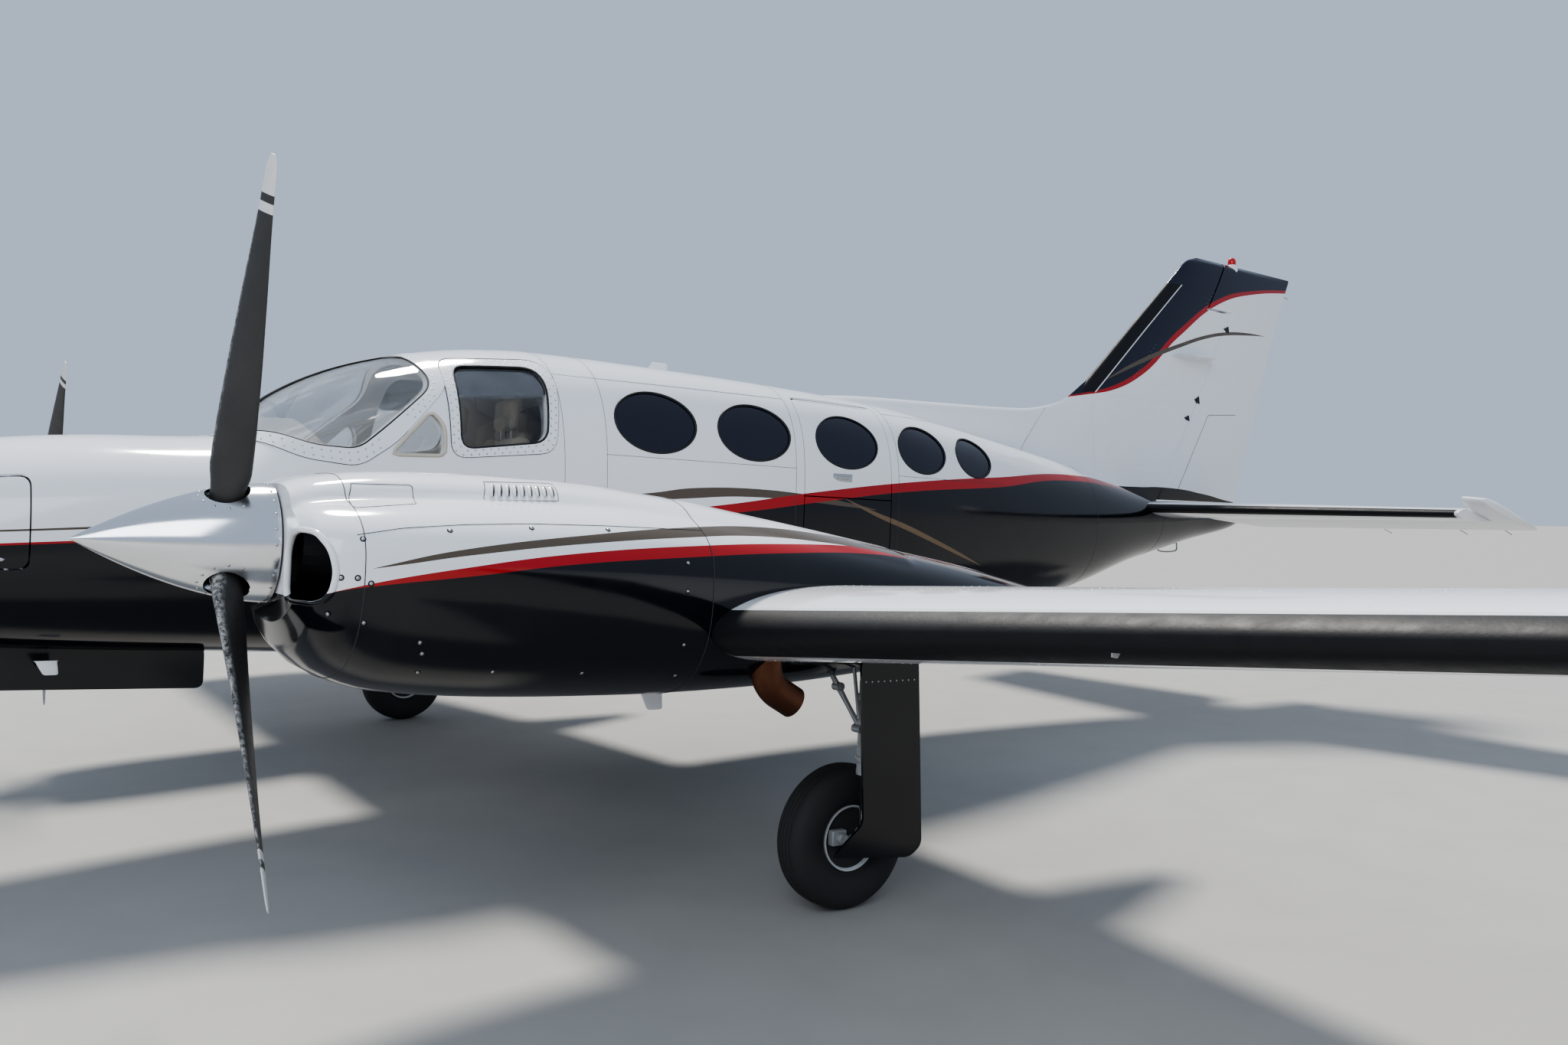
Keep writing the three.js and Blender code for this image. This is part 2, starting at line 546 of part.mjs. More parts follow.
const screenGlass = layer(4, 12);
add('windshield_port', screenGlass.intersect(windscreen(1, -0.8)), FINISH.clear);
add('windshield_starboard', screenGlass.intersect(windscreen(-1, -0.8)), FINISH.clear);
const paneLayer = layer(4, SKIN + 3);
const stripLayer = layer(SKIN + REST, SKIN + 6);
BELTS.forEach((belt) => {
  const panes = panesOf(belt, -0.6).map((hole) => paneLayer.intersect(hole));
  add(belt.name, join(stripLayer.intersect(beltForm(belt, REST)), ...panes), FINISH.glass);
});

// The air-stair door: its upper half lifts and its lower half drops
const doorLine = (z) => [DOOR.front, DOOR.rear].map((y) => [skinX(y, z) - PIN.inset, y, z]);
const doorPin = (z) => bar(
  lineAt(doorLine(z), DOOR.front + DOOR.pin),
  lineAt(doorLine(z), DOOR.rear - DOOR.pin),
  PIN.radius,
  PIN.radius,
  10,
);
const [doorHole] = ovals(1, ['third'], 0);
const doorWall = wallLayer.intersect(doorForm(0));
// The hinges lie askew, so the wall's inner corners beside them swing sideways and are cut back
const innerWall = body(FUSELAGE, CABIN_STATIONS, RELIEF.depth);
const relief = (low, high) => innerWall.intersect(join(
  box(300, 900, DOOR.front - 1, DOOR.front + RELIEF.long, low, high),
  box(300, 900, DOOR.rear - RELIEF.long, DOOR.rear + 1, low, high),
));
const upperDoor = cut(
  doorWall.intersect(besideSplit(DOOR.split + RUN / 2, DOOR.top)),
  doorHole,
  relief(DOOR.top - RELIEF.high, DOOR.top + 1),
);
const [notchLong, notchHigh] = RELIEF.notch;
const lowerDoor = cut(
  doorWall.intersect(besideSplit(DOOR.bottom, DOOR.split - RUN / 2)),
  relief(DOOR.bottom - 1, DOOR.bottom + RELIEF.high),
  box(300, 900, DOOR.front - 1, DOOR.front + notchLong, DOOR.bottom - 1, DOOR.bottom + notchHigh),
  box(300, 900, DOOR.rear - notchLong, DOOR.rear + 1, DOOR.bottom - 1, DOOR.bottom + notchHigh),
);
add('cabin_door_upper', join(upperDoor, doorPin(DOOR.top - PIN.inset)), FINISH.white);
add('cabin_door_lower', join(lowerDoor, doorPin(DOOR.bottom + PIN.inset)), FINISH.black);
add('cabin_door_window', layer(4, SKIN + 3).intersect(ovals(1, ['third'], -0.5)[0]), FINISH.glass);

// Cabin furniture
const floor = cabinRoom.intersect(box(-800, 800, 500, 5000, FLOOR.top - FLOOR.thick, FLOOR.top));
add('cabin_floor', floor, FINISH.trim);
const panelForm = join(
  box(-800, 800, PANEL.front, PANEL.rear, FLOOR.top + 260, PANEL.top),
  box(-800, 800, 560, PANEL.front + 5, PANEL.top - 45, PANEL.top),
  box(-110, 110, PANEL.front, PANEL.rear + 60, FLOOR.top + REST, FLOOR.top + 300),
);
add('instrument_panel', cabinRoom.intersect(panelForm), FINISH.trim);

// A seat facing aft or forward, standing on the floor: cushion, back, headrest and legs
function seat(x, y, facing, low) {
  const half = SEAT.width / 2;
  const back = facing > 0 ? [y + SEAT.deep - 90, y + SEAT.deep] : [y - SEAT.deep, y - SEAT.deep + 90];
  const [front, rear] = facing > 0 ? [y, y + SEAT.deep] : [y - SEAT.deep, y];
  const cushion = FLOOR.top + SEAT.cushion;
  return join(
    box(x - half, x + half, front, rear, cushion - 110, cushion),
    box(x - half, x + half, back[0], back[1], cushion - 20, cushion + SEAT.back),
    box(x - half + 110, x + half - 110, back[0] + 15, back[1] - 10, cushion + SEAT.back - 5, cushion + SEAT.head),
    box(x - half + 40, x - half + 70, front + 40, rear - 60, low, cushion - 105),
    box(x + half - 70, x + half - 40, front + 40, rear - 60, low, cushion - 105),
  );
}
const railTop = FLOOR.top + 12;
const rails = (x) => [-1, 1].map((edge) => {
  const middle = x + edge * (SEAT.width / 2 - 55);
  return box(middle - 18, middle + 18, SEAT.rows[0] - SEAT.deep, SEAT.rows[1] + SEAT.deep, FLOOR.top + REST, railTop);
});
const crewSeat = seat(SEAT.crewX, SEAT.crewY, 1, FLOOR.top + REST);
const passengerSeats = join(
  seat(SEAT.x, SEAT.rows[0], -1, railTop - 2),
  seat(SEAT.x, SEAT.rows[1], 1, railTop - 2),
  ...rails(SEAT.x),
);
addPair('crew_seat', crewSeat, FINISH.trim);
addPair('cabin_seats', passengerSeats, FINISH.trim);

// Tail cone, hollow from the cabin's rear bulkhead to the fin
const tailOuter = body(FUSELAGE, [BULKHEAD.rear + REST, ...TAIL_STATIONS.slice(1)]);
const tailInner = body(FUSELAGE, [BULKHEAD.rear - 20, 5450, 6200, 6900, 7250], TAIL_WALL);
const rudderAxis = (z) => [0, RUDDER.foot[0] + RUDDER.slope * (z - RUDDER.foot[1]), z];
const rudderBoss = bar(rudderAxis(1700), rudderAxis(RUDDER.bottom - 4 - REST), 12);
const boreEnds = [-400, 400].map((x) => [x, ELEVATOR.hinge, ELEVATOR.z]);
const elevatorBore = bar(...boreEnds, ELEVATOR.tube + 0.9, ELEVATOR.tube + 0.9, 24);
const hinge = { y: ELEVATOR.hinge, z: ELEVATOR.z };
const stabilizerWhole = (grow) => {
  const half = wingBody(STABILIZER, 0, grow);
  return join(half, mirrored(half));
};
const stabilizerNose = (x) => halfThick((hinge.y - straight(STABILIZER, 'x', x).lead) / straight(STABILIZER, 'x', x).chord,
  straight(STABILIZER, 'x', x).thick) * straight(STABILIZER, 'x', x).chord;
const hingeBar = (from, to, grow) => bar(
  [from, hinge.y, hinge.z],
  [to, hinge.y, hinge.z],
  stabilizerNose(Math.abs(from)) + grow,
  stabilizerNose(Math.abs(to)) + grow,
  20,
);
const coveHalf = hingeBar(0, ELEVATOR.tip + 4, RUN);
const stabilizerAft = box(-2700, 2700, hinge.y, 8300, 1500, 1900);
const stabilizerEnd = box(ELEVATOR.tip - 4, 2700, 7000, 8300, 1500, 1900);
// Hollow between its skins, with an opening in the middle, inside the tail cone
const stabilizerRoom = cut(
  stabilizerWhole(-TAIL_SKIN),
  box(-2700, 2700, hinge.y - 90, 8300, 1500, 1900),
  box(ELEVATOR.tip - 40, 2700, 7000, 8300, 1500, 1900),
  box(-2700, 40 - ELEVATOR.tip, 7000, 8300, 1500, 1900),
);
const stabilizer = cut(
  stabilizerWhole(0),
  stabilizerRoom,
  bar([0, 7100, hinge.z], [0, 7100, 1900], 60),
  stabilizerAft,
  coveHalf,
  mirrored(coveHalf),
  stabilizerEnd,
  mirrored(stabilizerEnd),
);
const stabilizerSlot = stabilizerWhole(REST).intersect(box(-600, 600, 6700, hinge.y - 20, 1500, 1900));
add('stabilizer', stabilizer, FINISH.white);
add('tail_cone', cut(join(tailOuter, rudderBoss), tailInner, stabilizerSlot, elevatorBore), FINISH.black);

// Elevator: two halves on one torque tube, with horns outboard of the stabilizer, drooping on its stop
const elevatorOutline = outline([
  [ELEVATOR.inner, hinge.y], [ELEVATOR.tip + 4, hinge.y], [ELEVATOR.tip + 4, 7000], [2700, 7000], [2700, 8300],
  [ELEVATOR.swept + 120, 8300], [ELEVATOR.swept, 8080],
]);
const elevatorHalf = join(
  stabilizerWhole(0).intersect(prism(elevatorOutline, 'z', 1500, 1900)),
  hingeBar(ELEVATOR.inner, ELEVATOR.tip - 5, 0),
  bar([ELEVATOR.tip - 20, hinge.y, hinge.z], [ELEVATOR.tip + 30, hinge.y, hinge.z], ELEVATOR.tube),
  bar([-5, hinge.y, hinge.z], [ELEVATOR.inner + 10, hinge.y, hinge.z], ELEVATOR.tube, ELEVATOR.tube, 24),
);
const elevator = geometryOf(join(elevatorHalf, mirrored(elevatorHalf)));
const droop = -THREE.MathUtils.degToRad(ELEVATOR.droop);
elevator.translate(0, -hinge.y, -hinge.z).rotateX(droop).translate(0, hinge.y, hinge.z);
add('elevator', solid(elevator), FINISH.black);

// Fin with its dorsal fillet, and the rudder with its horn
const finBody = (grow) => loft(FIN.map((row) => {
  const chord = row.trail - row.lead;
  return foilPoints(chord, row.thick, 0, grow).map(([a, b]) => new THREE.Vector3(b, row.lead + a, row.z));
}));
const finHalf = (z) => {
  const row = straight(FIN, 'z', z);
  const chord = row.trail - row.lead;
  return halfThick((rudderAxis(z)[1] - row.lead) / chord, row.thick) * chord;
};
const rudderBar = (low, high, grow) => (
  bar(rudderAxis(low), rudderAxis(high), finHalf(low) + grow, finHalf(high) + grow, 20)
);
const beyond = 3900;
const [hornAhead, hornBehind, hornBelow] = RUDDER.hornGap;
const hornAt = (z, shift) => [
  RUDDER.hornFoot + ((RUDDER.hornTop - RUDDER.hornFoot) * (z - RUDDER.step)) / (beyond - RUDDER.step) + shift, z];
const finCut = prism(outline([
  rudderAxis(1600).slice(1), rudderAxis(RUDDER.step).slice(1), hornAt(RUDDER.step, -hornAhead),
  hornAt(beyond, -hornAhead), [9300, beyond], [9300, 1600],
]), 'x', -300, 300);
const hornLow = RUDDER.step + hornBelow;
const rudderKeep = prism(outline([
  rudderAxis(RUDDER.bottom).slice(1), rudderAxis(hornLow).slice(1), hornAt(hornLow, hornBehind),
  hornAt(beyond, hornBehind), [9300, beyond], [9300, RUDDER.bottom + 34],
]), 'x', -300, 300);
const dorsal = body(DORSAL, DORSAL.map(({ y }) => y), 0, 0, 16);
const finRoom = cut(
  finBody(-TAIL_SKIN).intersect(box(-300, 300, 6000, 9300, 1600, RUDDER.step - 30)),
  finCut,
  rudderBar(1600, RUDDER.step, RUN + TAIL_SKIN),
);
const rudderCove = rudderBar(1600, RUDDER.step + 1, RUN);
const fin = cut(join(finBody(0), dorsal), finRoom, finCut, rudderCove, fuselageEnvelope);
add('fin', fin, FINISH.white);
const lampBase = [0, 8235, 3755];
const beacon = turned([[0, -30], [48, -30], [48, 18], [34, 24], [34, 66], [20, 88], [0, 92]], 'z', lampBase, 16);
const rudder = join(
  finBody(0).intersect(rudderKeep),
  rudderBar(RUDDER.bottom - 30, RUDDER.step + 10, 0).intersect(box(-300, 300, 7000, 9300, RUDDER.bottom + 8, beyond)),
  bar(rudderAxis(RUDDER.bottom + 30), rudderAxis(RUDDER.bottom - 4), 10),
  beacon,
);
add('rudder', rudder, FINISH.white);

// Wings, with the ailerons and the split flaps cut out of them
const hingeOf = (x, f) => {
  const row = straight(WING, 'x', x);
  return {
    centre: [x, row.lead + f * row.chord, row.z + meanLine(f, WING_CAMBER) * row.chord],
    half: halfThick(f, row.thick) * row.chord,
  };
};
const aileronBar = (grow, over) => {
  const [inner, outer] = [hingeOf(AILERON.inner - over, AILERON.hinge), hingeOf(AILERON.outer + over, AILERON.hinge)];
  return bar(inner.centre, outer.centre, inner.half + grow, outer.half + grow, 20);
};
const aileronPlan = (over) => {
  const [inner, outer] = [hingeOf(AILERON.inner - over, AILERON.hinge), hingeOf(AILERON.outer + over, AILERON.hinge)];
  return prism(outline([
    inner.centre.slice(0, 2), outer.centre.slice(0, 2), [AILERON.outer + over, 3400], [AILERON.inner - over, 3400],
  ]), 'z', 900, 1600);
};
const wingForm = wingBody(WING, WING_CAMBER);
const aileronPin = bar(
  hingeOf(AILERON.inner - AILERON.end + REST, AILERON.hinge).centre,
  hingeOf(AILERON.outer + AILERON.end - REST, AILERON.hinge).centre,
  AILERON.pin,
);
addPair('aileron', join(wingForm.intersect(aileronPlan(0)), aileronBar(-0.3, -1), aileronPin), FINISH.white);

// A split flap's section runs along the lower surface from its hinge to the trailing edge
const flapRing = (x, grown = false) => {
  const row = straight(WING, 'x', x);
  const sections = [FLAP.hinge, 0.87, 0.995].map((f, i) => ({
    y: row.lead + f * row.chord + (grown ? [-FLAP.clear[0], 0, 40][i] : 0),
    under: row.z + (meanLine(f, WING_CAMBER) - halfThick(f, row.thick)) * row.chord,
    thick: FLAP.thick[i] + (grown ? FLAP.clear[i] : 0),
  }));
  const bottom = sections.map(({ y, under }) => new THREE.Vector3(x, y, under - (grown ? 40 : 0)));
  const top = sections.map(({ y, under, thick }) => new THREE.Vector3(x, y, under + thick));
  return [...bottom, ...top.reverse()];
};
const flapHinge = (x) => {
  const row = straight(WING, 'x', x);
  const under = row.z + (meanLine(FLAP.hinge, WING_CAMBER) - halfThick(FLAP.hinge, row.thick)) * row.chord;
  return [x, row.lead + FLAP.hinge * row.chord + 7, under + 7];
};
const flapCuts = FLAP.spans.map(([, from, to]) => (
  loft([flapRing(from - FLAP.gap, true), flapRing(to + FLAP.gap, true)])
));
FLAP.spans.forEach(([name, from, to]) => {
  const pin = bar(flapHinge(from - FLAP.gap + SKEWED), flapHinge(to + FLAP.gap - SKEWED), PIN.radius, PIN.radius, 10);
  addPair(`flap_${name}`, join(loft([flapRing(from), flapRing(to)]), pin), FINISH.white);
});
const jackPad = bar([JACK.x, JACK.y, 1080], [JACK.x, JACK.y, JACK.foot], JACK.radius);
const aileronCuts = [aileronPlan(AILERON.end), aileronBar(RUN, AILERON.end)];
const wing = cut(join(wingForm, jackPad), ...aileronCuts, ...flapCuts, fuselageEnvelope);
addPair('wing', wing, FINISH.white);

// Nacelle, cowl, engine block and exhaust
const ringHole = (radius, from, to) => bar([ENGINE.x, from, ENGINE.z], [ENGINE.x, to, ENGINE.z], radius, radius, 24);
const nacelle = nacelleForm(NACELLE_STATIONS, 0).subtract(wingEnvelope);
addPair('nacelle', nacelle, FINISH.black);
const cowlOuter = nacelleForm([...COWL_STATIONS.slice(0, -1), ENGINE.firewall - REST], 0);
const cowlInner = nacelleForm([150, 260, 760, ENGINE.firewall + 20], COWL_SKIN);
const intake = (sign) => prism(rounded(INTAKE.map(([a, b]) => [ENGINE.x + sign * a, b]), 45), 'y', 100, 240, 4);
const cowl = cut(cowlOuter, cowlInner, ringHole(70, 100, 200), intake(1), intake(-1), wingEnvelope);
addPair('cowl', cowl, FINISH.white);
const engineMounts = [[-1, 1130], [1, 1130], [-1, 1400], [1, 1400]].map(([edge, z]) => bar(
  [ENGINE.x + edge * 300, BLOCK.rear - 20, z],
  [ENGINE.x + edge * 300, ENGINE.firewall - REST, z],
  18,
  18,
  10,
));
const block = join(
  box(ENGINE.x - BLOCK.half, ENGINE.x + BLOCK.half, BLOCK.front, BLOCK.rear, BLOCK.bottom, BLOCK.top),
  bar([ENGINE.x, GEARBOX.front, ENGINE.z], [ENGINE.x, BLOCK.front + 20, ENGINE.z], GEARBOX.radius, GEARBOX.radius, 24),
  ...engineMounts,
);
addPair('engine', block, FINISH.iron);

const pipeRoute = new THREE.CatmullRomCurve3(EXHAUST.route.map((point) => new THREE.Vector3(...point)));
const pipeRing = new THREE.Shape().absarc(0, 0, EXHAUST.radius, 0, 2 * Math.PI);
pipeRing.holes.push(new THREE.Path().absarc(0, 0, EXHAUST.radius - EXHAUST.wall, 0, 2 * Math.PI, true));
const pipe = solid(new THREE.ExtrudeGeometry(pipeRing, { steps: 4, extrudePath: pipeRoute, curveSegments: 5 }));
addPair('exhaust', cut(pipe, nacelleEnvelope, wingEnvelope), FINISH.exhaust);

// Propellers: both turn the same way, so they are copies and not mirror images
function propeller(phase) {
  const blade = loft(BLADE.map(({ r, chord, thick, pitch }) => {
    const angle = THREE.MathUtils.degToRad(pitch);
    return Array.from({ length: BLADE_SIDES }, (_, i) => {
      const turn = (i * 2 * Math.PI) / BLADE_SIDES;
      const along = (chord / 2) * Math.cos(turn);
      const across = (thick / 2) * Math.sin(turn);
      return new THREE.Vector3(
        -along * Math.cos(angle) + across * Math.sin(angle),
        -along * Math.sin(angle) - across * Math.cos(angle),
        r,
      );
    });
  }));
  const spread = Array.from({ length: PROPELLER.blades }, (_, i) => phase + (i * 360) / PROPELLER.blades);
  return spread.map((turn) => solid(geometryOf(blade).rotateY(THREE.MathUtils.degToRad(turn))));
}
const spinnerRadius = (y) => {
  const t = (y - PROPELLER.tip) / (PROPELLER.base - PROPELLER.tip);
  return PROPELLER.spinner * (1 - (1 - Math.min(1, t)) ** 1.75);
};
const spinnerRows = [0.07, 0.24, 0.5, 0.76, 1].map((t) => (
  PROPELLER.tip + t * (PROPELLER.base - PROPELLER.tip)));
const spinnerOuter = spinnerRows.map((y) => [spinnerRadius(y), y]);
const spinnerLand = spinnerRadius(100) - 7;
const spinnerInner = [
  [spinnerLand, PROPELLER.base],
  [spinnerLand, 100],
  ...spinnerRows.slice(1, -1).map((y) => [spinnerRadius(y) - 5, y]).reverse(),
];
const backplate = spinnerLand - REST;
const hubProfile = [[0, -150], [60, -150], [78, -110], [78, 106], [backplate, 106], [backplate, 116], [SHAFT, 116],
  [SHAFT, GEARBOX.front - REST], [0, GEARBOX.front - REST]];
[['port', 1, PROPELLER.phase[0]], ['starboard', -1, PROPELLER.phase[1]]].forEach(([name, sign, phase]) => {
  const centre = [sign * ENGINE.x, 0, ENGINE.z];
  const blades = propeller(phase);
  const hub = turned(hubProfile, 'y', [0, 0, 0], SPINNER_SIDES);
  const holes = Array.from({ length: PROPELLER.blades }, (_, i) => {
    const turn = THREE.MathUtils.degToRad(phase + (i * 360) / PROPELLER.blades);
    return bar([0, 0, 0], [300 * Math.sin(turn), 0, 300 * Math.cos(turn)], PROPELLER.hole, PROPELLER.hole, 12);
  });
  const dome = cut(
    turned([[0, PROPELLER.tip], ...spinnerOuter, ...spinnerInner, [0, spinnerRows[1]]], 'y', [0, 0, 0], SPINNER_SIDES),
    ...holes,
  );
  const moved = (piece) => solid(geometryOf(piece).translate(...centre));
  add(`propeller_${name}`, moved(join(hub, ...blades)), FINISH.blade);
  add(`spinner_${name}`, moved(dome), FINISH.polished);
});

// Main gear: oleo leg outboard of the wheel, braces, a door on the leg, and the wheel on its axle
const wheelAt = [MAIN_WHEEL.x, MAIN_WHEEL.y, MAIN_WHEEL.z];
const legLine = (z) => [LEG.x, MAIN_WHEEL.y, z];
const mainLeg = join(
  bar(legLine(1150), legLine(LEG.foot), LEG.barrel),
  bar(legLine(LEG.foot + 20), legLine(MAIN_WHEEL.z - 10), LEG.piston),
  bar([LEG.x, MAIN_WHEEL.y, MAIN_WHEEL.z], [MAIN_WHEEL.x - 62, MAIN_WHEEL.y, MAIN_WHEEL.z], LEG.axle, LEG.axle, 24),
  bar([LEG.x + 34, MAIN_WHEEL.y, MAIN_WHEEL.z], [MAIN_WHEEL.x + 76, MAIN_WHEEL.y, MAIN_WHEEL.z], 40),
  bar([LEG.x - 10, MAIN_WHEEL.y - 20, 700], [LEG.x - 120, MAIN_WHEEL.y - 150, 1050], 13, 13, 10),
  bar([LEG.x - 10, MAIN_WHEEL.y - 20, 700], [LEG.x - 40, MAIN_WHEEL.y - 60, 1050], 13, 13, 10),
  box(LEG.x - 22, LEG.x + 22, MAIN_WHEEL.y + 20, MAIN_WHEEL.y + 120, LEG.foot + 15, LEG.foot + 45),
  box(LEG.x - 22, LEG.x + 22, MAIN_WHEEL.y + 20, MAIN_WHEEL.y + 120, MAIN_WHEEL.z + 35, MAIN_WHEEL.z + 65),
  box(LEG.x - 16, LEG.x + 16, MAIN_WHEEL.y + 100, MAIN_WHEEL.y + 122, MAIN_WHEEL.z + 40, LEG.foot + 40),
  box(LEG.x + 10, LEG.doorX - REST, MAIN_WHEEL.y - 22, MAIN_WHEEL.y + 22, 780, 830),
  box(LEG.x + 10, LEG.doorX - REST, MAIN_WHEEL.y - 18, MAIN_WHEEL.y + 18, 400, 440),
);
addPair('main_leg', cut(mainLeg, wingEnvelope, nacelleEnvelope), FINISH.steel);
const legDoor = prism(outline(LEG_DOOR), 'x', LEG.doorX, LEG.doorX + 12);
addPair('leg_door', cut(legDoor, wingEnvelope, nacelleEnvelope), FINISH.black);

// Wheels are turned with a corner of their outline lowest, so that they stand on the ground
const wheelPiece = (profile, [x, y, z]) => solid(
  geometryOf(turned([...profile, profile[0]], 'x', [0, 0, 0], WHEEL_SIDES)).rotateX(NOSE_UP).translate(x, y, z));
function tyre({ radius, width, rim: seat }, centre) {
  const side = [[0, 0.64], [0.1, 0.78], [0.42, 1], [0.78, 0.93], [1, 0.45]]
    .map(([up, out]) => [seat + REST + up * (radius - seat - REST), (out * width) / 2]);
  return wheelPiece([...side, ...side.map(([r, d]) => [r, -d]).reverse()], centre);
}
function wheelRim({ width, rim: seat }, bore, centre) {
  const half = width / 2;
  return wheelPiece([
    [bore, -0.7 * half], [bore + 26, -0.4 * half], [seat - 14, -0.3 * half], [seat - 6, -0.74 * half],
    [seat, -0.74 * half], [seat, 0.74 * half], [seat - 6, 0.74 * half], [seat - 14, 0.1 * half], [bore, 0.1 * half],
  ], centre);
}
addPair('main_tyre', tyre(MAIN_WHEEL, wheelAt), FINISH.rubber);
addPair('main_rim', wheelRim(MAIN_WHEEL, LEG.axle + 0.9, wheelAt), FINISH.steel);

// Nose gear: its wheel centre is where the level ground puts it under the raised nose
const noseCentre = new THREE.Vector3(0, NOSE_WHEEL.y, NOSE_WHEEL.radius)
  .sub(airframe.position).applyEuler(new THREE.Euler(NOSE_UP, 0, 0));
const noseAt = [0, noseCentre.y, noseCentre.z];
const steerY = noseCentre.y - FORK.trail;
add('nose_leg', join(
  bar([0, steerY, NOSE_WELL.top - REST], [0, steerY, FORK.top], FORK.barrel),
  bar([0, steerY, FORK.top + 150], [0, steerY + 320, NOSE_WELL.top - 20], 16, 16, 10),
  box(-NOSE_WELL.half + REST, NOSE_WELL.half - REST, steerY - 24, steerY + 24, NOSE_WELL.top - 90, NOSE_WELL.top - 45),
), FINISH.steel);
const armX = NOSE_WHEEL.width / 2 + 10;
const crown = noseCentre.z + NOSE_WHEEL.radius + 22;
const arms = [-1, 1].map((edge) => join(
  box(
    Math.min(edge * armX, edge * (armX + 18)), Math.max(edge * armX, edge * (armX + 18)),
    steerY - 24, steerY + 34, crown - 20, crown + 30,
  ),
  bar([edge * (armX + 9), steerY, crown], [edge * (armX + 9), noseCentre.y, noseCentre.z], 20, 16, 8),
));
add('nose_fork', join(
  bar([0, steerY, FORK.top - REST], [0, steerY, crown + 10], FORK.piston),
  box(-armX - 18, armX + 18, steerY - 30, steerY + 34, crown, crown + 36),
  ...arms,
  bar([-armX - 12, noseCentre.y, noseCentre.z], [armX + 12, noseCentre.y, noseCentre.z], FORK.axle, FORK.axle, 24),
), FINISH.steel);
add('nose_tyre', tyre(NOSE_WHEEL, noseAt), FINISH.rubber);
add('nose_rim', wheelRim(NOSE_WHEEL, FORK.axle + 0.7, noseAt), FINISH.white);
const noseDoor = prism(outline(NOSE_DOOR), 'x', NOSE_WELL.half - 10, NOSE_WELL.half).subtract(fuselageEnvelope);
addPair('nose_gear_door', noseDoor, FINISH.black);

// The origin is under the middle of the parked aircraft, on the ground
aircraft.updateMatrixWorld(true);
const extent = new THREE.Box3().setFromObject(aircraft, true);
const middle = extent.getCenter(new THREE.Vector3());
aircraft.children.forEach((child) => child.position.sub(new THREE.Vector3(middle.x, middle.y, extent.min.z)));

export default aircraft;
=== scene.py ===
# %% [markdown]
# # A parked twin-engined light aircraft
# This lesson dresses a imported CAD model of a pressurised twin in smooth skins, paint, glass, leather and
# metal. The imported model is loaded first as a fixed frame. Its solids are faceted and few, which suits
# collision, so most of them are stood for here by finer pieces drawn from the same tables of sections.

# %% Load the frame
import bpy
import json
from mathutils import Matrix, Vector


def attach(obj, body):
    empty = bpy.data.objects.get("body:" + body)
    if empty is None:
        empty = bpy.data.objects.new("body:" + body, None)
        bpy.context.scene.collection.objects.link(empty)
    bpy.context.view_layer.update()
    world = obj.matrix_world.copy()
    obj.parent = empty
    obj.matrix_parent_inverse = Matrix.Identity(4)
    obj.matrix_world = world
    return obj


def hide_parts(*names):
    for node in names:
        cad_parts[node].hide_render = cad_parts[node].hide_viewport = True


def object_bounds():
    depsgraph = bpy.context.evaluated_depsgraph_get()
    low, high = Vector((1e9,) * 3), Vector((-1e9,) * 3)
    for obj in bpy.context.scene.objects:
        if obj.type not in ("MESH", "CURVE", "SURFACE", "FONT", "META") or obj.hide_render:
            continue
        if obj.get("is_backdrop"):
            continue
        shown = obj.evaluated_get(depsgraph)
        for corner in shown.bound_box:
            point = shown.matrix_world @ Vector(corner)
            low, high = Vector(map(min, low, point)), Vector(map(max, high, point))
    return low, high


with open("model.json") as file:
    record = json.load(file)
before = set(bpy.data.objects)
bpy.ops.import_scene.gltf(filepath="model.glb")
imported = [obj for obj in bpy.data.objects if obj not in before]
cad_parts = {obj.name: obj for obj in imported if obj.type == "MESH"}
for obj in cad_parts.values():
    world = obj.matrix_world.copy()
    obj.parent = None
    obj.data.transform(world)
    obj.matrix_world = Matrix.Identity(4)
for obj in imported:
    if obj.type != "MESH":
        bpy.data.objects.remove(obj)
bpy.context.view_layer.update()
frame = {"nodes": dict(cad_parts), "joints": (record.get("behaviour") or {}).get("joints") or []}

# %% Modules
import json
import math

import bmesh
import bpy
import numpy as np
from mathutils import Matrix, Vector

# %% [markdown]
# ## The level frame
# The airframe is easiest to draw level, in millimetres, with y = 0 at the propeller discs and z = 0 on the
# ground below the main wheels. Parked, it sits with its nose a little high, turned about the main axle.
# One matrix takes a level drawing to the frame, and the axle's place comes from the record's own joint.

# %% Level millimetres to parked metres
NOSE_UP = math.radians(2.73)
AXLE = (2272.0, 279.5)
MM = 0.001

joints = {joint["name"]: joint for joint in frame["joints"]}
axle_at = Vector(joints["main_wheel_port_spin"]["pos_m"])
PARKED = (Matrix.Translation((0, axle_at.y, axle_at.z)) @ Matrix.Rotation(-NOSE_UP, 4, "X")
          @ Matrix.Translation((0, -AXLE[0] * MM, -AXLE[1] * MM)) @ Matrix.Scale(MM, 4))
LEVEL_SHIFT = Vector((0, AXLE[0] * MM, AXLE[1] * MM)) - (
    Matrix.Rotation(NOSE_UP, 3, "X") @ Vector((0, axle_at.y, axle_at.z)))
print("propeller plane, parked", [round(v, 3) for v in PARKED @ Vector((0, 0, 1364))])

# %% [markdown]
# ## Camera, floor and light
# The camera stands by the port wing at eye height, as the photographer did, and looks across the port engine
# towards the tail. The floor is a wide pale sheet. A low-contrast sky-coloured world fills the shadows, a
# broad sun comes over the fuselage from starboard, and one large soft box shapes the gloss paint.

# %% Camera
CAMERA_AT = Vector((6.376, -4.3864, 1.618))
CAMERA_YAW, CAMERA_PITCH = math.radians(54.22), math.radians(-1.38)
CAMERA_LENS, CAMERA_SENSOR = 29.02, 36.0

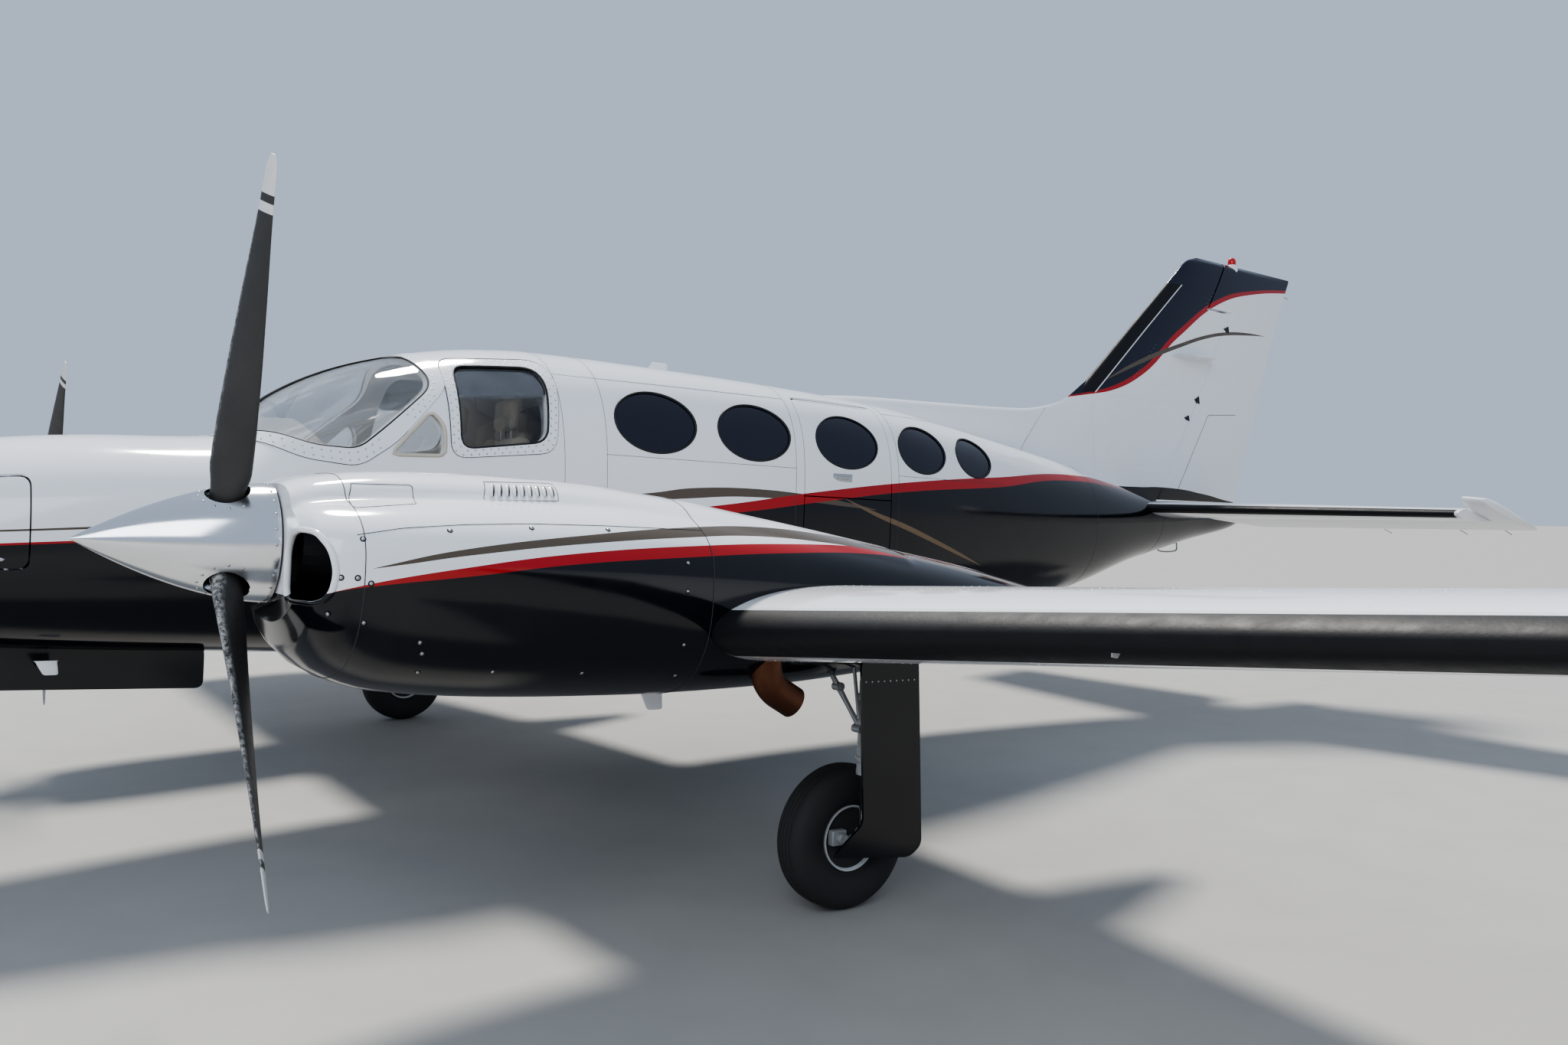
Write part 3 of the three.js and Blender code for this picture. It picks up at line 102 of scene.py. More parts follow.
camera = bpy.data.objects.new("camera", bpy.data.cameras.new("camera"))
bpy.context.scene.collection.objects.link(camera)
bpy.context.scene.camera = camera
camera.location = CAMERA_AT
aim = Vector((-math.sin(CAMERA_YAW) * math.cos(CAMERA_PITCH), math.cos(CAMERA_YAW) * math.cos(CAMERA_PITCH),
              math.sin(CAMERA_PITCH)))
camera.rotation_mode = "QUATERNION"
camera.rotation_quaternion = aim.to_track_quat("-Z", "Y")
camera.data.lens = CAMERA_LENS
camera.data.sensor_width = CAMERA_SENSOR
print("camera looks along", [round(v, 3) for v in aim])

# %% Node helpers
def wire(tree, kind, inputs=None, **settings):
    """Adds a node; an input is given by name or number, as a value or as the socket that feeds it."""
    made = tree.nodes.new(kind)
    for key, value in settings.items():
        setattr(made, key, value)
    for key, value in (inputs or {}).items():
        if isinstance(value, bpy.types.NodeSocket):
            tree.links.new(value, made.inputs[key])
        else:
            made.inputs[key].default_value = value
    return made


def feed(tree, shader, **sockets):
    """Links sockets to a shader's inputs, whose names are written here with _ for a space."""
    for key, socket in sockets.items():
        tree.links.new(socket, shader.inputs[key.replace("_", " ")])


def maths(tree, operation, *values, clamp=False):
    """A sum of the node kind, with sockets or numbers going in and one socket coming out."""
    made = wire(tree, "ShaderNodeMath", dict(enumerate(values)), operation=operation, use_clamp=clamp)
    return made.outputs[0]


def blend_colour(tree, share, first, second):
    """Colour that goes from the first to the second as the share goes from 0 to 1."""
    made = wire(tree, "ShaderNodeMix", {"Factor": share}, data_type="RGBA")
    for socket, colour in ((made.inputs[6], first), (made.inputs[7], second)):
        if isinstance(colour, bpy.types.NodeSocket):
            tree.links.new(colour, socket)
        else:
            socket.default_value = (*colour, 1)
    return made.outputs[2]


def new_material(name, **constants):
    """An empty material with one Principled shader, whose unchanging values are set on its own sockets."""
    material = bpy.data.materials.new(name)
    material.use_nodes = True
    shader = material.node_tree.nodes["Principled BSDF"]
    for key, value in constants.items():
        shader.inputs[key.replace("_", " ")].default_value = value
    return material, material.node_tree, shader


def object_place(tree):
    return wire(tree, "ShaderNodeTexCoord").outputs["Object"]


def noise(tree, place, scale, detail=3.0, roughness=0.55):
    return wire(tree, "ShaderNodeTexNoise", {"Vector": place, "Scale": scale, "Detail": detail,
                                             "Roughness": roughness}).outputs["Fac"]


def spread(tree, value, low, high, to_low=0.0, to_high=1.0):
    """Maps a range of a value to another range and holds it there."""
    return wire(tree, "ShaderNodeMapRange", {"Value": value, "From Min": low, "From Max": high,
                                             "To Min": to_low, "To Max": to_high}).outputs["Result"]


def bump(tree, shader, height, distance, strength=1.0):
    made = wire(tree, "ShaderNodeBump", {"Height": height, "Distance": distance, "Strength": strength})
    feed(tree, shader, Normal=made.outputs["Normal"])

# %% Floor
FLOOR_HALF = 60.0
FLOOR_TONES = (0.34, 0.333, 0.32), (0.40, 0.392, 0.376)

floor_mesh = bpy.data.meshes.new("floor")
floor_mesh.from_pydata([(-FLOOR_HALF, -FLOOR_HALF, 0), (FLOOR_HALF, -FLOOR_HALF, 0),
                        (FLOOR_HALF, FLOOR_HALF, 0), (-FLOOR_HALF, FLOOR_HALF, 0)], [], [(0, 1, 2, 3)])
floor = bpy.data.objects.new("floor", floor_mesh)
bpy.context.scene.collection.objects.link(floor)
floor_finish, tree, shader = new_material("pale_floor", Roughness=0.85)
grain = noise(tree, object_place(tree), 3.0, 6.0)
feed(tree, shader, Base_Color=blend_colour(tree, grain, *FLOOR_TONES))
floor_mesh.materials.append(floor_finish)
floor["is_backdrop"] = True

# %% Light
SKY_COLOUR = (0.64, 0.75, 0.92, 1)
SKY_STRENGTH = 0.68

bpy.context.scene.view_settings.look = "AgX - Medium High Contrast"
world = bpy.data.worlds.new("studio")
bpy.context.scene.world = world
world.use_nodes = True
world.node_tree.nodes["Background"].inputs["Color"].default_value = SKY_COLOUR
world.node_tree.nodes["Background"].inputs["Strength"].default_value = SKY_STRENGTH


def lamp(name, kind, energy, place, target, **settings):
    made = bpy.data.objects.new(name, bpy.data.lights.new(name, kind))
    bpy.context.scene.collection.objects.link(made)
    made.data.energy = energy
    for key, value in settings.items():
        setattr(made.data, key, value)
    made.location = place
    made.rotation_mode = "QUATERNION"
    made.rotation_quaternion = (Vector(target) - Vector(place)).to_track_quat("-Z", "Y")
    return made


lamp("sun", "SUN", 4.6, (-9, 3, 14), (0, 0, 0), angle=math.radians(11), color=(1.0, 0.96, 0.9))
lamp("port_box", "AREA", 900, (11, -11, 9), (1, -1, 1), size=9, color=(0.9, 0.95, 1.0))

# %% [markdown]
# ## Tables of the airframe
# The hull is drawn as it is lofted in a workshop: a few rounded sections at known stations, and a fair curve
# through each of their measures. Each section is a superellipse above and below its widest point, so that a
# power of 2 gives an ellipse and a higher one a squarer shoulder. All sizes are level millimetres.

# %% Sections of the hull and the engine nacelle
def columns(names, rows):
    return dict(zip(names.split(), np.array(rows, float).T))


SECTION = "y wide top bottom waist upper lower"
FUSELAGE = columns(SECTION, [
    [-1975, 82, 1245, 1085, 1165, 2.0, 2.0],
    [-1830, 158, 1315, 1020, 1168, 2.0, 2.0],
    [-1550, 262, 1425, 945, 1180, 2.05, 2.1],
    [-1150, 385, 1560, 885, 1210, 2.1, 2.3],
    [-650, 500, 1690, 843, 1262, 2.2, 2.5],
    [-150, 590, 1757, 820, 1325, 2.3, 2.7],
    [450, 672, 1797, 800, 1400, 2.4, 2.8],
    [670, 695, 2000, 793, 1425, 2.35, 2.8],
    [860, 710, 2115, 787, 1445, 2.35, 2.8],
    [1050, 722, 2195, 782, 1460, 2.4, 2.8],
    [1240, 733, 2252, 777, 1475, 2.45, 2.8],
    [1400, 742, 2292, 773, 1488, 2.5, 2.8],
    [1640, 752, 2327, 768, 1500, 2.6, 2.8],
    [1900, 760, 2343, 765, 1510, 2.75, 2.8],
    [2560, 762, 2330, 762, 1515, 3.2, 2.8],
    [3400, 755, 2304, 766, 1520, 3.4, 2.8],
    [4150, 725, 2265, 795, 1530, 3.2, 2.7],
    [4700, 675, 2205, 845, 1545, 2.9, 2.6],
    [5450, 585, 2110, 945, 1560, 2.5, 2.4],
    [6200, 470, 2000, 1105, 1580, 2.3, 2.25],
    [6900, 345, 1860, 1310, 1620, 2.1, 2.1],
    [7300, 270, 1785, 1400, 1640, 2.1, 2.0],
    [7700, 195, 1765, 1492, 1660, 2.1, 2.0],
    [8250, 100, 1755, 1600, 1680, 2.0, 2.0],
    [8420, 40, 1735, 1650, 1695, 2.0, 2.0],
])
NACELLE = columns(SECTION, [
    [135, 360, 1500, 1130, 1340, 2.3, 2.2],
    [175, 425, 1512, 1040, 1330, 2.4, 2.3],
    [260, 458, 1520, 970, 1320, 2.5, 2.4],
    [420, 478, 1530, 915, 1310, 2.5, 2.5],
    [760, 492, 1540, 882, 1300, 2.5, 2.6],
    [1100, 490, 1540, 868, 1290, 2.5, 2.6],
    [1430, 475, 1530, 862, 1280, 2.4, 2.6],
    [1870, 440, 1490, 868, 1260, 2.3, 2.5],
    [2450, 375, 1412, 905, 1220, 2.2, 2.3],
    [2900, 300, 1345, 960, 1190, 2.1, 2.2],
    [3400, 190, 1250, 1030, 1150, 2.0, 2.0],
    [3750, 90, 1180, 1085, 1135, 2.0, 2.0],
    [3880, 30, 1150, 1110, 1130, 2.0, 2.0],
])
SPINE = columns(SECTION, [
    [135, 235, 1545, 1400, 1440, 3.2, 3.0],
    [200, 250, 1568, 1400, 1450, 3.2, 3.0],
    [420, 262, 1597, 1400, 1460, 3.0, 3.0],
    [760, 280, 1606, 1400, 1460, 2.8, 3.0],
    [1100, 300, 1594, 1400, 1450, 2.6, 3.0],
    [1430, 320, 1565, 1400, 1440, 2.4, 3.0],
    [1870, 330, 1503, 1360, 1400, 2.3, 3.0],
    [2450, 300, 1412, 1280, 1320, 2.2, 3.0],
    [2900, 235, 1335, 1200, 1240, 2.1, 3.0],
])
DORSAL = columns(SECTION, [
    [3870, 60, 2305, 2180, 2240, 1.6, 2.0],
    [4350, 75, 2340, 2120, 2200, 1.6, 2.0],
    [5040, 90, 2360, 2040, 2120, 1.6, 2.0],
    [5800, 100, 2390, 1950, 2050, 1.6, 2.0],
    [6200, 105, 2470, 1900, 2000, 1.6, 2.0],
    [6500, 100, 2660, 1850, 1950, 1.7, 2.0],
])
NOSE_TIP = -2040.0
ENGINE_X, ENGINE_Z = 2371.0, 1364.0
FIREWALL = 1430.0
print("hull", FUSELAGE["y"][0], "to", FUSELAGE["y"][-1])

# %% Fair curve through a column of a table
def fair(rows, column, place, key="y"):
    """Value of a column between rows, by a smooth curve that never overshoots its rows."""
    x, v = rows[key], rows[column]
    rise = np.diff(v) / np.diff(x)
    slope = np.concatenate([rise[:1], np.zeros(len(rise) - 1), rise[-1:]])
    same = rise[:-1] * rise[1:] > 0
    slope[1:-1][same] = 2 * (rise[:-1] * rise[1:])[same] / (rise[:-1] + rise[1:])[same]
    place = np.clip(np.asarray(place, float), x[0], x[-1])
    i = np.clip(np.searchsorted(x, place, side="right") - 1, 0, len(x) - 2)
    step = x[i + 1] - x[i]
    t = (place - x[i]) / step
    return ((2 * t**3 - 3 * t**2 + 1) * v[i] + (t**3 - 2 * t**2 + t) * step * slope[i]
            + (3 * t**2 - 2 * t**3) * v[i + 1] + (t**3 - t**2) * step * slope[i + 1])

# %% [markdown]
# ## Forms that know their own surface
# Windows, doors and hatches are cut out of the skins, and the cuts leave long thin faces that would shade as
# dents. So each form can say how far a point is from its surface. The slope of that measure is the true
# normal there, and it is given to the corners of every face that still lies on the skin after the cuts.

# %% Bodies: hull, nacelle, dorsal fillet
STEP = 0.5


def measure(form, points):
    """Distance of points from a form's surface, and the way out, from the slope of the form's own measure."""
    slope = np.stack([(form.level(points + STEP * axis) - form.level(points - STEP * axis)) / (2 * STEP)
                      for axis in np.eye(3)], axis=1)
    size = np.linalg.norm(slope, axis=1) + 1e-9
    return form.level(points) / size, slope / size[:, None]


def even_ring(half_x, half_z, y, sides):
    """A closed ring with evenly spaced points, from its right half, drawn from the keel up to the crown."""
    length = np.concatenate([[0], np.cumsum(np.hypot(np.diff(half_x), np.diff(half_z)))])
    even = np.linspace(0, length[-1], sides // 2 + 1)
    x, z = np.interp(even, length, half_x), np.interp(even, length, half_z)
    x[0] = x[-1] = 0
    full_x, full_z = np.concatenate([x, -x[-2:0:-1]]), np.concatenate([z, z[-2:0:-1]])
    return np.stack([full_x, np.full(len(full_x), float(y)), full_z], axis=1)


class Body:
    """A rounded body given by a table of sections, set in from its skin by an even wall."""

    def __init__(self, rows, centre=0.0, inset=0.0, tip=None):
        self.rows, self.centre, self.inset, self.tip = rows, centre, inset, tip

    def section(self, y):
        wide, top, bottom, waist, upper, lower = (fair(self.rows, k, y) for k in SECTION.split()[1:])
        if self.tip is not None:
            first = self.rows["y"][0]
            t = np.clip((np.asarray(y, float) - self.tip) / (first - self.tip), 1e-5, 1) ** 0.53
            wide, top, bottom = wide * t, waist + (top - waist) * t, waist + (bottom - waist) * t
        return wide - self.inset, top - waist - self.inset, waist - bottom - self.inset, waist, upper, lower

    def level(self, points):
        wide, high, low, waist, upper, lower = self.section(points[:, 1])
        x, z = points[:, 0] - self.centre, points[:, 2] - waist
        power, tall = np.where(z > 0, upper, lower), np.where(z > 0, high, low)
        share = (np.abs(x / wide) ** power + np.abs(z / tall) ** power) ** (1 / power)
        return np.hypot(x, z) * (1 - 1 / np.maximum(share, 1e-6))

    def ring(self, y, sides):
        wide, high, low, waist, upper, lower = self.section(y)
        turn = np.linspace(-np.pi / 2, np.pi / 2, 721)
        c, s = np.cos(turn).clip(0), np.sin(turn)
        power, tall = np.where(s >= 0, upper, lower), np.where(s >= 0, high, low)
        half_x, half_z = wide * c ** (2 / power), waist + tall * np.sign(s) * np.abs(s) ** (2 / power)
        return even_ring(half_x, half_z, y, sides) + np.array([self.centre, 0, 0])

    def side(self, y, z, sign=1, out=0.0):
        """The point of the skin at a station and height, moved out by a little."""
        wide, high, low, waist, upper, lower = (float(v) for v in self.section(y))
        power, tall = (upper, high) if z > waist else (lower, low)
        x = wide * max(0.0, 1 - abs((z - waist) / tall) ** power) ** (1 / power)
        point = np.array([[self.centre + sign * x, y, z]])
        return (point + out * measure(self, point)[1])[0]


class Nacelle(Body):
    """The engine nacelle with the raised spine along its top, joined by a small fillet."""

    FILLET = 22.0
    RAYS, REACH = 361, 700.0

    def __init__(self, centre, inset=0.0):
        super().__init__(NACELLE, centre, inset)
        self.spine = Body(SPINE, centre, inset)

    def level(self, points):
        hull, spine = super().level(points), self.spine.level(points)
        spine = spine + np.clip(points[:, 1] - 2450, 0, None) * 0.5
        share = np.clip(0.5 + 0.5 * (spine - hull) / self.FILLET, 0, 1)
        return spine * (1 - share) + hull * share - self.FILLET * share * (1 - share)

    def ring(self, y, sides):
        """Points where rays from the middle of the section leave the joined form."""
        middle = float(self.section(y)[3])
        turn = np.linspace(-np.pi / 2, np.pi / 2, self.RAYS)
        c, s = np.cos(turn).clip(0), np.sin(turn)
        near, far = np.full(self.RAYS, 1.0), np.full(self.RAYS, self.REACH)
        for _ in range(34):
            reach = (near + far) / 2
            trial = np.stack([self.centre + reach * c, 0 * reach + y, middle + reach * s], axis=1)
            outside = self.level(trial) > 0
            far, near = np.where(outside, reach, far), np.where(outside, near, reach)
        return even_ring(near * c, middle + near * s, y, sides) + np.array([self.centre, 0, 0])

    def side(self, y, z, sign=1, out=0.0):
        near, far = 0.0, self.REACH
        for _ in range(40):
            reach = (near + far) / 2
            outside = self.level(np.array([[self.centre + sign * reach, y, z]]))[0] > 0
            near, far = (near, reach) if outside else (reach, far)
        point = np.array([[self.centre + sign * near, y, z]])
        return (point + out * measure(self, point)[1])[0]

# %% [markdown]
# Wings and tail surfaces are lofts too, but of aerofoil sections between a few ribs, with straight lines from
# rib to rib. The tip ribs are joined by fair curves. A fin is the same thing standing up.

# %% Ribs of the wing, stabilizer and fin
WING = columns("x lead chord z thick", [
    [450, 1385, 1865, 921, 0.18],
    [2371, 1430, 1740, 1075, 0.165],
    [5900, 1545, 1215, 1357, 0.12],
    [6150, 1590, 1080, 1380, 0.115],
    [6265, 1780, 700, 1392, 0.08],
])
STABILIZER = columns("x lead chord z thick", [
    [0, 6800, 1280, 1720, 0.1],
    [2440, 7190, 790, 1720, 0.1],
    [2560, 7230, 740, 1720, 0.09],
    [2590, 7330, 560, 1720, 0.05],
])
FIN = columns("x lead chord z thick", [
    [1700, 6150, 2180, 0, 0.085],
    [2570, 6410, 2220, 0, 0.085],
    [3100, 6960, 1837, 0, 0.085],
    [3600, 7490, 1495, 0, 0.085],
    [3735, 7640, 1400, 0, 0.07],
    [3775, 7760, 1290, 0, 0.03],
])


class Foil:
    """A wing or tail surface lofted from ribs. The last ribs from tip on are joined by fair curves."""

    def __init__(self, rows, camber=0.0, tip=None, upright=False, grow=0.0):
        self.rows, self.camber, self.upright, self.grow = rows, camber, upright, grow
        self.tip = rows["x"][-1] if tip is None else tip

    def rib(self, span):
        span = np.asarray(span, float)
        beyond = {k: v[self.rows["x"] >= self.tip] for k, v in self.rows.items()}
        made = []
        for column in ("lead", "chord", "z", "thick"):
            straight = np.interp(span, self.rows["x"], self.rows[column])
            made.append(np.where(span > self.tip, fair(beyond, column, span, key="x"), straight)
                        if len(beyond["x"]) > 2 else straight)
        return made

    def half(self, f, thick, chord):
        f = np.clip(f, 0, 1)
        shape = 0.2969 * np.sqrt(f) - 0.126 * f - 0.3516 * f**2 + 0.2843 * f**3 - 0.1015 * f**4
        return np.maximum(5 * thick * shape * chord, 1.0) + self.grow

    def mean(self, f, chord):
        f = np.clip(f, 0, 1)
        return 4 * self.camber * f * (1 - f) * chord

    def level(self, points):
        span, across = (points[:, 2], points[:, 0]) if self.upright else (np.abs(points[:, 0]), points[:, 2])
        lead, chord, z, thick = self.rib(span)
        f = (points[:, 1] - lead) / chord
        ahead = np.clip(-f, 0, None) * chord
        return np.abs(across - z - self.mean(f, chord)) - self.half(f, thick, chord) + ahead

    def at(self, span, f, side=1, out=0.0):
        """A point of the upper (1) or lower (-1) skin, by its place along the span and share of the chord."""
        lead, chord, z, thick = (float(v) for v in self.rib(abs(span)))
        across = z + float(self.mean(f, chord)) + side * (float(self.half(f, thick, chord)) + out)
        y = lead + f * chord
        return np.array([across, y, span]) if self.upright else np.array([span, y, across])

    def ring(self, span, count=44):
        f = (1 - np.cos(np.linspace(0, np.pi, count))) / 2
        upper = [self.at(span, v, 1) for v in f[::-1]]
        lower = [self.at(span, v, -1) for v in f[1:]]
        return np.array(upper + lower)


hull_form = Body(FUSELAGE, tip=NOSE_TIP)
WING_SHAPE = dict(camber=0.018, tip=5900)
wing_form = Foil(WING, **WING_SHAPE)
stabilizer_form = Foil(STABILIZER, tip=2440)
fin_form = Foil(FIN, tip=3600, upright=True)
print("hull half width at the doors", round(hull_form.side(3700, 1520)[0], 1))

# %% [markdown]
# ## From sections to closed skins
# A loft joins its rings with quads and closes each end with a fan, so every skin is one closed solid.
# Openings are cut with boolean modifiers, whose result is applied at once, and only then is the piece set in
# its parked place. Every finished piece keeps its object at the origin, as the frame's own nodes do.

# %% Plain solids
def raw(name, points, faces):
    mesh = bpy.data.meshes.new(name)
    mesh.from_pydata([tuple(p) for p in np.asarray(points, float)], [], [tuple(f) for f in faces])
    made = bpy.data.objects.new(name, mesh)
    bpy.context.scene.collection.objects.link(made)
    return made


def outward(piece):
    """Turns every face outward, on a mesh that is still one closed skin."""
    edit = bmesh.new()
    edit.from_mesh(piece.data)
    bmesh.ops.recalc_face_normals(edit, faces=edit.faces)
    edit.to_mesh(piece.data)
    edit.free()
    return piece


def loft(name, rings):
    count = len(rings[0])
    points = np.concatenate(rings)
    i = np.arange(count)
    j = (i + 1) % count
    faces = []
    for a in range(0, count * (len(rings) - 1), count):
        faces += np.stack([a + i, a + j, a + count + j, a + count + i], axis=1).tolist()
    last = count * (len(rings) - 1)
    points = np.concatenate([points, [np.mean(rings[0], axis=0)], [np.mean(rings[-1], axis=0)]])
    faces += [(len(points) - 2, b, a) for a, b in zip(i.tolist(), j.tolist())]
    faces += [(len(points) - 1, last + a, last + b) for a, b in zip(i.tolist(), j.tolist())]
    return outward(raw(name, points, faces))


def slab(x0, x1, y0, y1, z0, z1):
    return prism([(x0, y0), (x1, y0), (x1, y1), (x0, y1)], "z", z0, z1)


def prism(outline, axis, low, high, name="cutter"):
    """An outline drawn on two axes and carried along the third."""
    order = {"x": (2, 0, 1), "y": (0, 2, 1), "z": (0, 1, 2)}[axis]
    flat = [(u, v, w) for w in (low, high) for u, v in outline]
    points = np.array(flat)[:, order]
    n = len(outline)
    sides = [(k, (k + 1) % n, n + (k + 1) % n, n + k) for k in range(n)]
    return outward(raw(name, points, [tuple(range(n)), tuple(range(n, 2 * n)), *sides]))


def circle_about(start, way, radius, sides):
    """Points round a line, evenly spaced."""
    way = Vector(way).normalized()
    side = way.orthogonal().normalized()
    up = way.cross(side)
    return np.array([Vector(start) + radius * (side * math.cos(t) + up * math.sin(t))
                     for t in np.arange(sides) * 2 * math.pi / sides])


def rod(start, end, radius, end_radius=None, sides=32, name="cutter"):
    way = Vector(end) - Vector(start)
    return loft(name, [circle_about(start, way, radius, sides),
                       circle_about(end, way, radius if end_radius is None else end_radius, sides)])


def turned(profile, axis, centre, sides=64, name="turned"):
    """A turned form; the profile is radius against distance along the axis, and the ends close it."""
    way = {"x": (1, 0, 0), "y": (0, 1, 0), "z": (0, 0, 1)}[axis]
    side, up = {"x": ((0, 1, 0), (0, 0, 1)), "y": ((0, 0, 1), (1, 0, 0)), "z": ((1, 0, 0), (0, 1, 0))}[axis]
    way, side, up, centre = (np.array(v, float) for v in (way, side, up, centre))
    turn = np.arange(sides) * 2 * np.pi / sides
    spokes = np.cos(turn)[:, None] * side + np.sin(turn)[:, None] * up
    return loft(name, [centre + d * way + max(r, 0.02) * spokes for r, d in profile])


def box_round(x0, x1, y0, y1, z0, z1, radius, steps=3, name="block"):
    """A block with rounded edges, made by a bevel in mesh code."""
    made = slab(x0, x1, y0, y1, z0, z1)
    made.name = name
    edit = bmesh.new()
    edit.from_mesh(made.data)
    bmesh.ops.bevel(edit, geom=list(edit.edges), offset=radius, segments=steps, affect="EDGES", profile=0.5)
    edit.to_mesh(made.data)
    edit.free()
    return made


def rounded(points, radius, steps=8):
    """An outline with its corners drawn as short curves."""
    made = []
    n = len(points)
    for k, corner in enumerate(points):
        corner, before, after = (np.array(points[m % n], float) for m in (k, k - 1, k + 1))
        cut_in = corner + (before - corner) * min(0.45, radius / np.linalg.norm(before - corner))
        cut_out = corner + (after - corner) * min(0.45, radius / np.linalg.norm(after - corner))
        for t in np.linspace(0, 1, steps):
            made.append((1 - t) ** 2 * cut_in + 2 * t * (1 - t) * corner + t**2 * cut_out)
    return [tuple(p) for p in made]


def grown(points, distance):
    middle = np.mean(points, axis=0)
    made = []
    for point in np.array(points, float):
        reach = np.linalg.norm(point - middle)
        made.append(tuple(middle + (point - middle) * (reach + distance) / reach))
    return made


def oval(y, z, long, high, grow=0.0, count=72):
    turn = np.arange(count) * 2 * np.pi / count
    return [(y + (long + grow) * math.cos(t), z + (high + grow) * math.sin(t)) for t in turn]

# %% Cutting and joining
def solve(base, others, how="DIFFERENCE"):
    """Cuts, joins or crosses a piece with others, which are used up."""
    for other in others:
        step = base.modifiers.new("step", "BOOLEAN")
        step.operation, step.solver, step.object = how, "MANIFOLD", other
    graph = bpy.context.evaluated_depsgraph_get()
    made = bpy.data.meshes.new_from_object(base.evaluated_get(graph))
    base.modifiers.clear()
    base.data = made
    for other in others:
        bpy.data.objects.remove(other)
    return base


def gather(name, pieces):
    """Several pieces as one mesh, without cutting."""
    edit = bmesh.new()
    for piece in pieces:
        edit.from_mesh(piece.data)
        bpy.data.objects.remove(piece)
    mesh = bpy.data.meshes.new(name)
    edit.to_mesh(mesh)
    edit.free()
    made = bpy.data.objects.new(name, mesh)
    bpy.context.scene.collection.objects.link(made)
    return made


def mirrored(piece, name):
    """A copy for the other side of the aircraft, with its faces turned to stay outward."""
    mesh = piece.data.copy()
    mesh.transform(Matrix.Scale(-1, 4, (1, 0, 0)))
    mesh.flip_normals()
    made = bpy.data.objects.new(name, mesh)
    bpy.context.scene.collection.objects.link(made)
    return made

# %% Shading and finishing
CREASE = math.radians(34)
ON_SKIN, FACING, DOWNWARD = 2.5, 0.9, -0.05


def values_of(items, key, wide=1, kind=float):
    """One property of all points, corners or faces of a mesh, as an array."""
    values = np.empty(len(items) * wide, kind)
    items.foreach_get(key, values)
    return values.reshape(-1, wide) if wide > 1 else values


def shade(piece, *forms):
    """Smooth shading with creases, and true normals wherever a face lies on one of the forms."""
    mesh = piece.data
    mesh.shade_smooth()
    mesh.set_sharp_from_angle(angle=CREASE)
    if not forms:
        return piece
    corners = values_of(mesh.corner_normals, "vector", 3)
    points = values_of(mesh.vertices, "co", 3)
    vertex = values_of(mesh.loops, "vertex_index", kind=int)
    totals = values_of(mesh.polygons, "loop_total", kind=int)
    of_face = np.repeat(values_of(mesh.polygon_normals, "vector", 3), totals, axis=0)
    for form in forms:
        off, way = measure(form, points)
        facing = (of_face * way[vertex]).sum(axis=1)
        lies = np.abs(off[vertex]) < ON_SKIN
        for sign in (1, -1):
            pick = lies & (facing * sign > FACING)
            corners[pick] = sign * way[vertex][pick]
    mesh.normals_split_custom_set(corners.tolist())
    return piece


def line_with(piece, form, slot_number):
    """Gives the faces on one form, such as the cabin's inner wall, their own material slot."""
    faces = piece.data.polygons
    off, _ = measure(form, values_of(faces, "center", 3))
    index = values_of(faces, "material_index", kind=int)
    index[off < ON_SKIN] = slot_number
    faces.foreach_set("material_index", index)
    return piece


def darken_below(piece):
    """Gives the second material slot to the faces that look down, on a piece that is still level."""
    faces = piece.data.polygons
    down = values_of(faces, "normal", 3)[:, 2] < DOWNWARD
    faces.foreach_set("material_index", down.astype(np.int32))
    return piece


made_pieces = {}


def finish_piece(piece, name, body, materials, replaces=(), level=True):
    """Names a piece, parks it, gives it its finish and hangs it on its body."""
    piece.name = piece.data.name = name
    if level:
        piece.data.transform(PARKED)
    piece.data.materials.clear()
    for material in materials if isinstance(materials, (list, tuple)) else [materials]:
        piece.data.materials.append(material)
    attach(piece, body)
    if replaces:
        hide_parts(*replaces)
    made_pieces[name] = sum(len(p.vertices) - 2 for p in piece.data.polygons)
    return piece

# %% [markdown]
# ## Paint scheme
# The aircraft is gloss white above and gloss black below. A red band runs along the border, with a taupe
# swoosh above it that crosses over and dives into the black. Each painted edge is a fair curve through a few
# measured heights, drawn by a Float Curve node on level coordinates, so the paint stays put on every piece
# of the hull, doors included, and needs no picture.

# %% Painted edges
WHITE, BLACK = (0.80, 0.81, 0.83), (0.0045, 0.005, 0.0075)
RED, TAUPE, BRONZE = (0.36, 0.010, 0.012), (0.10, 0.078, 0.058), (0.16, 0.105, 0.06)
NAVY, SHADOW, DUST = (0.006, 0.008, 0.022), (0.012, 0.009, 0.008), (0.42, 0.40, 0.36)
WHITE_DUST, BLACK_DUST = 0.05, 0.012
GLOSS = dict(IOR=1.42, Coat_Weight=0.12, Coat_Roughness=0.04)


def level_place(tree):
    """Object coordinates turned back to the level frame, in metres."""
    return wire(tree, "ShaderNodeMapping", {"Vector": object_place(tree), "Location": LEVEL_SHIFT,
                                            "Rotation": (NOSE_UP, 0, 0)}).outputs[0]


def drawn_edge(tree, along, points):
    """Height of an edge at a station: a fair curve through a few places and heights."""
    places, heights = np.array(points, float).T
    low, high = heights.min(), heights.max()
    share = spread(tree, along, places[0], places[-1])
    curve = wire(tree, "ShaderNodeFloatCurve", {"Value": share})
    line = curve.mapping.curves[0]
    spots = [((p - places[0]) / (places[-1] - places[0]), (h - low) / (high - low))
             for p, h in zip(places, heights)]
    for spot in spots[1:-1]:
        line.points.new(*spot)
    line.points[0].location, line.points[-1].location = spots[0], spots[-1]
    curve.mapping.update()
    return maths(tree, "MULTIPLY_ADD", curve.outputs[0], high - low, low)


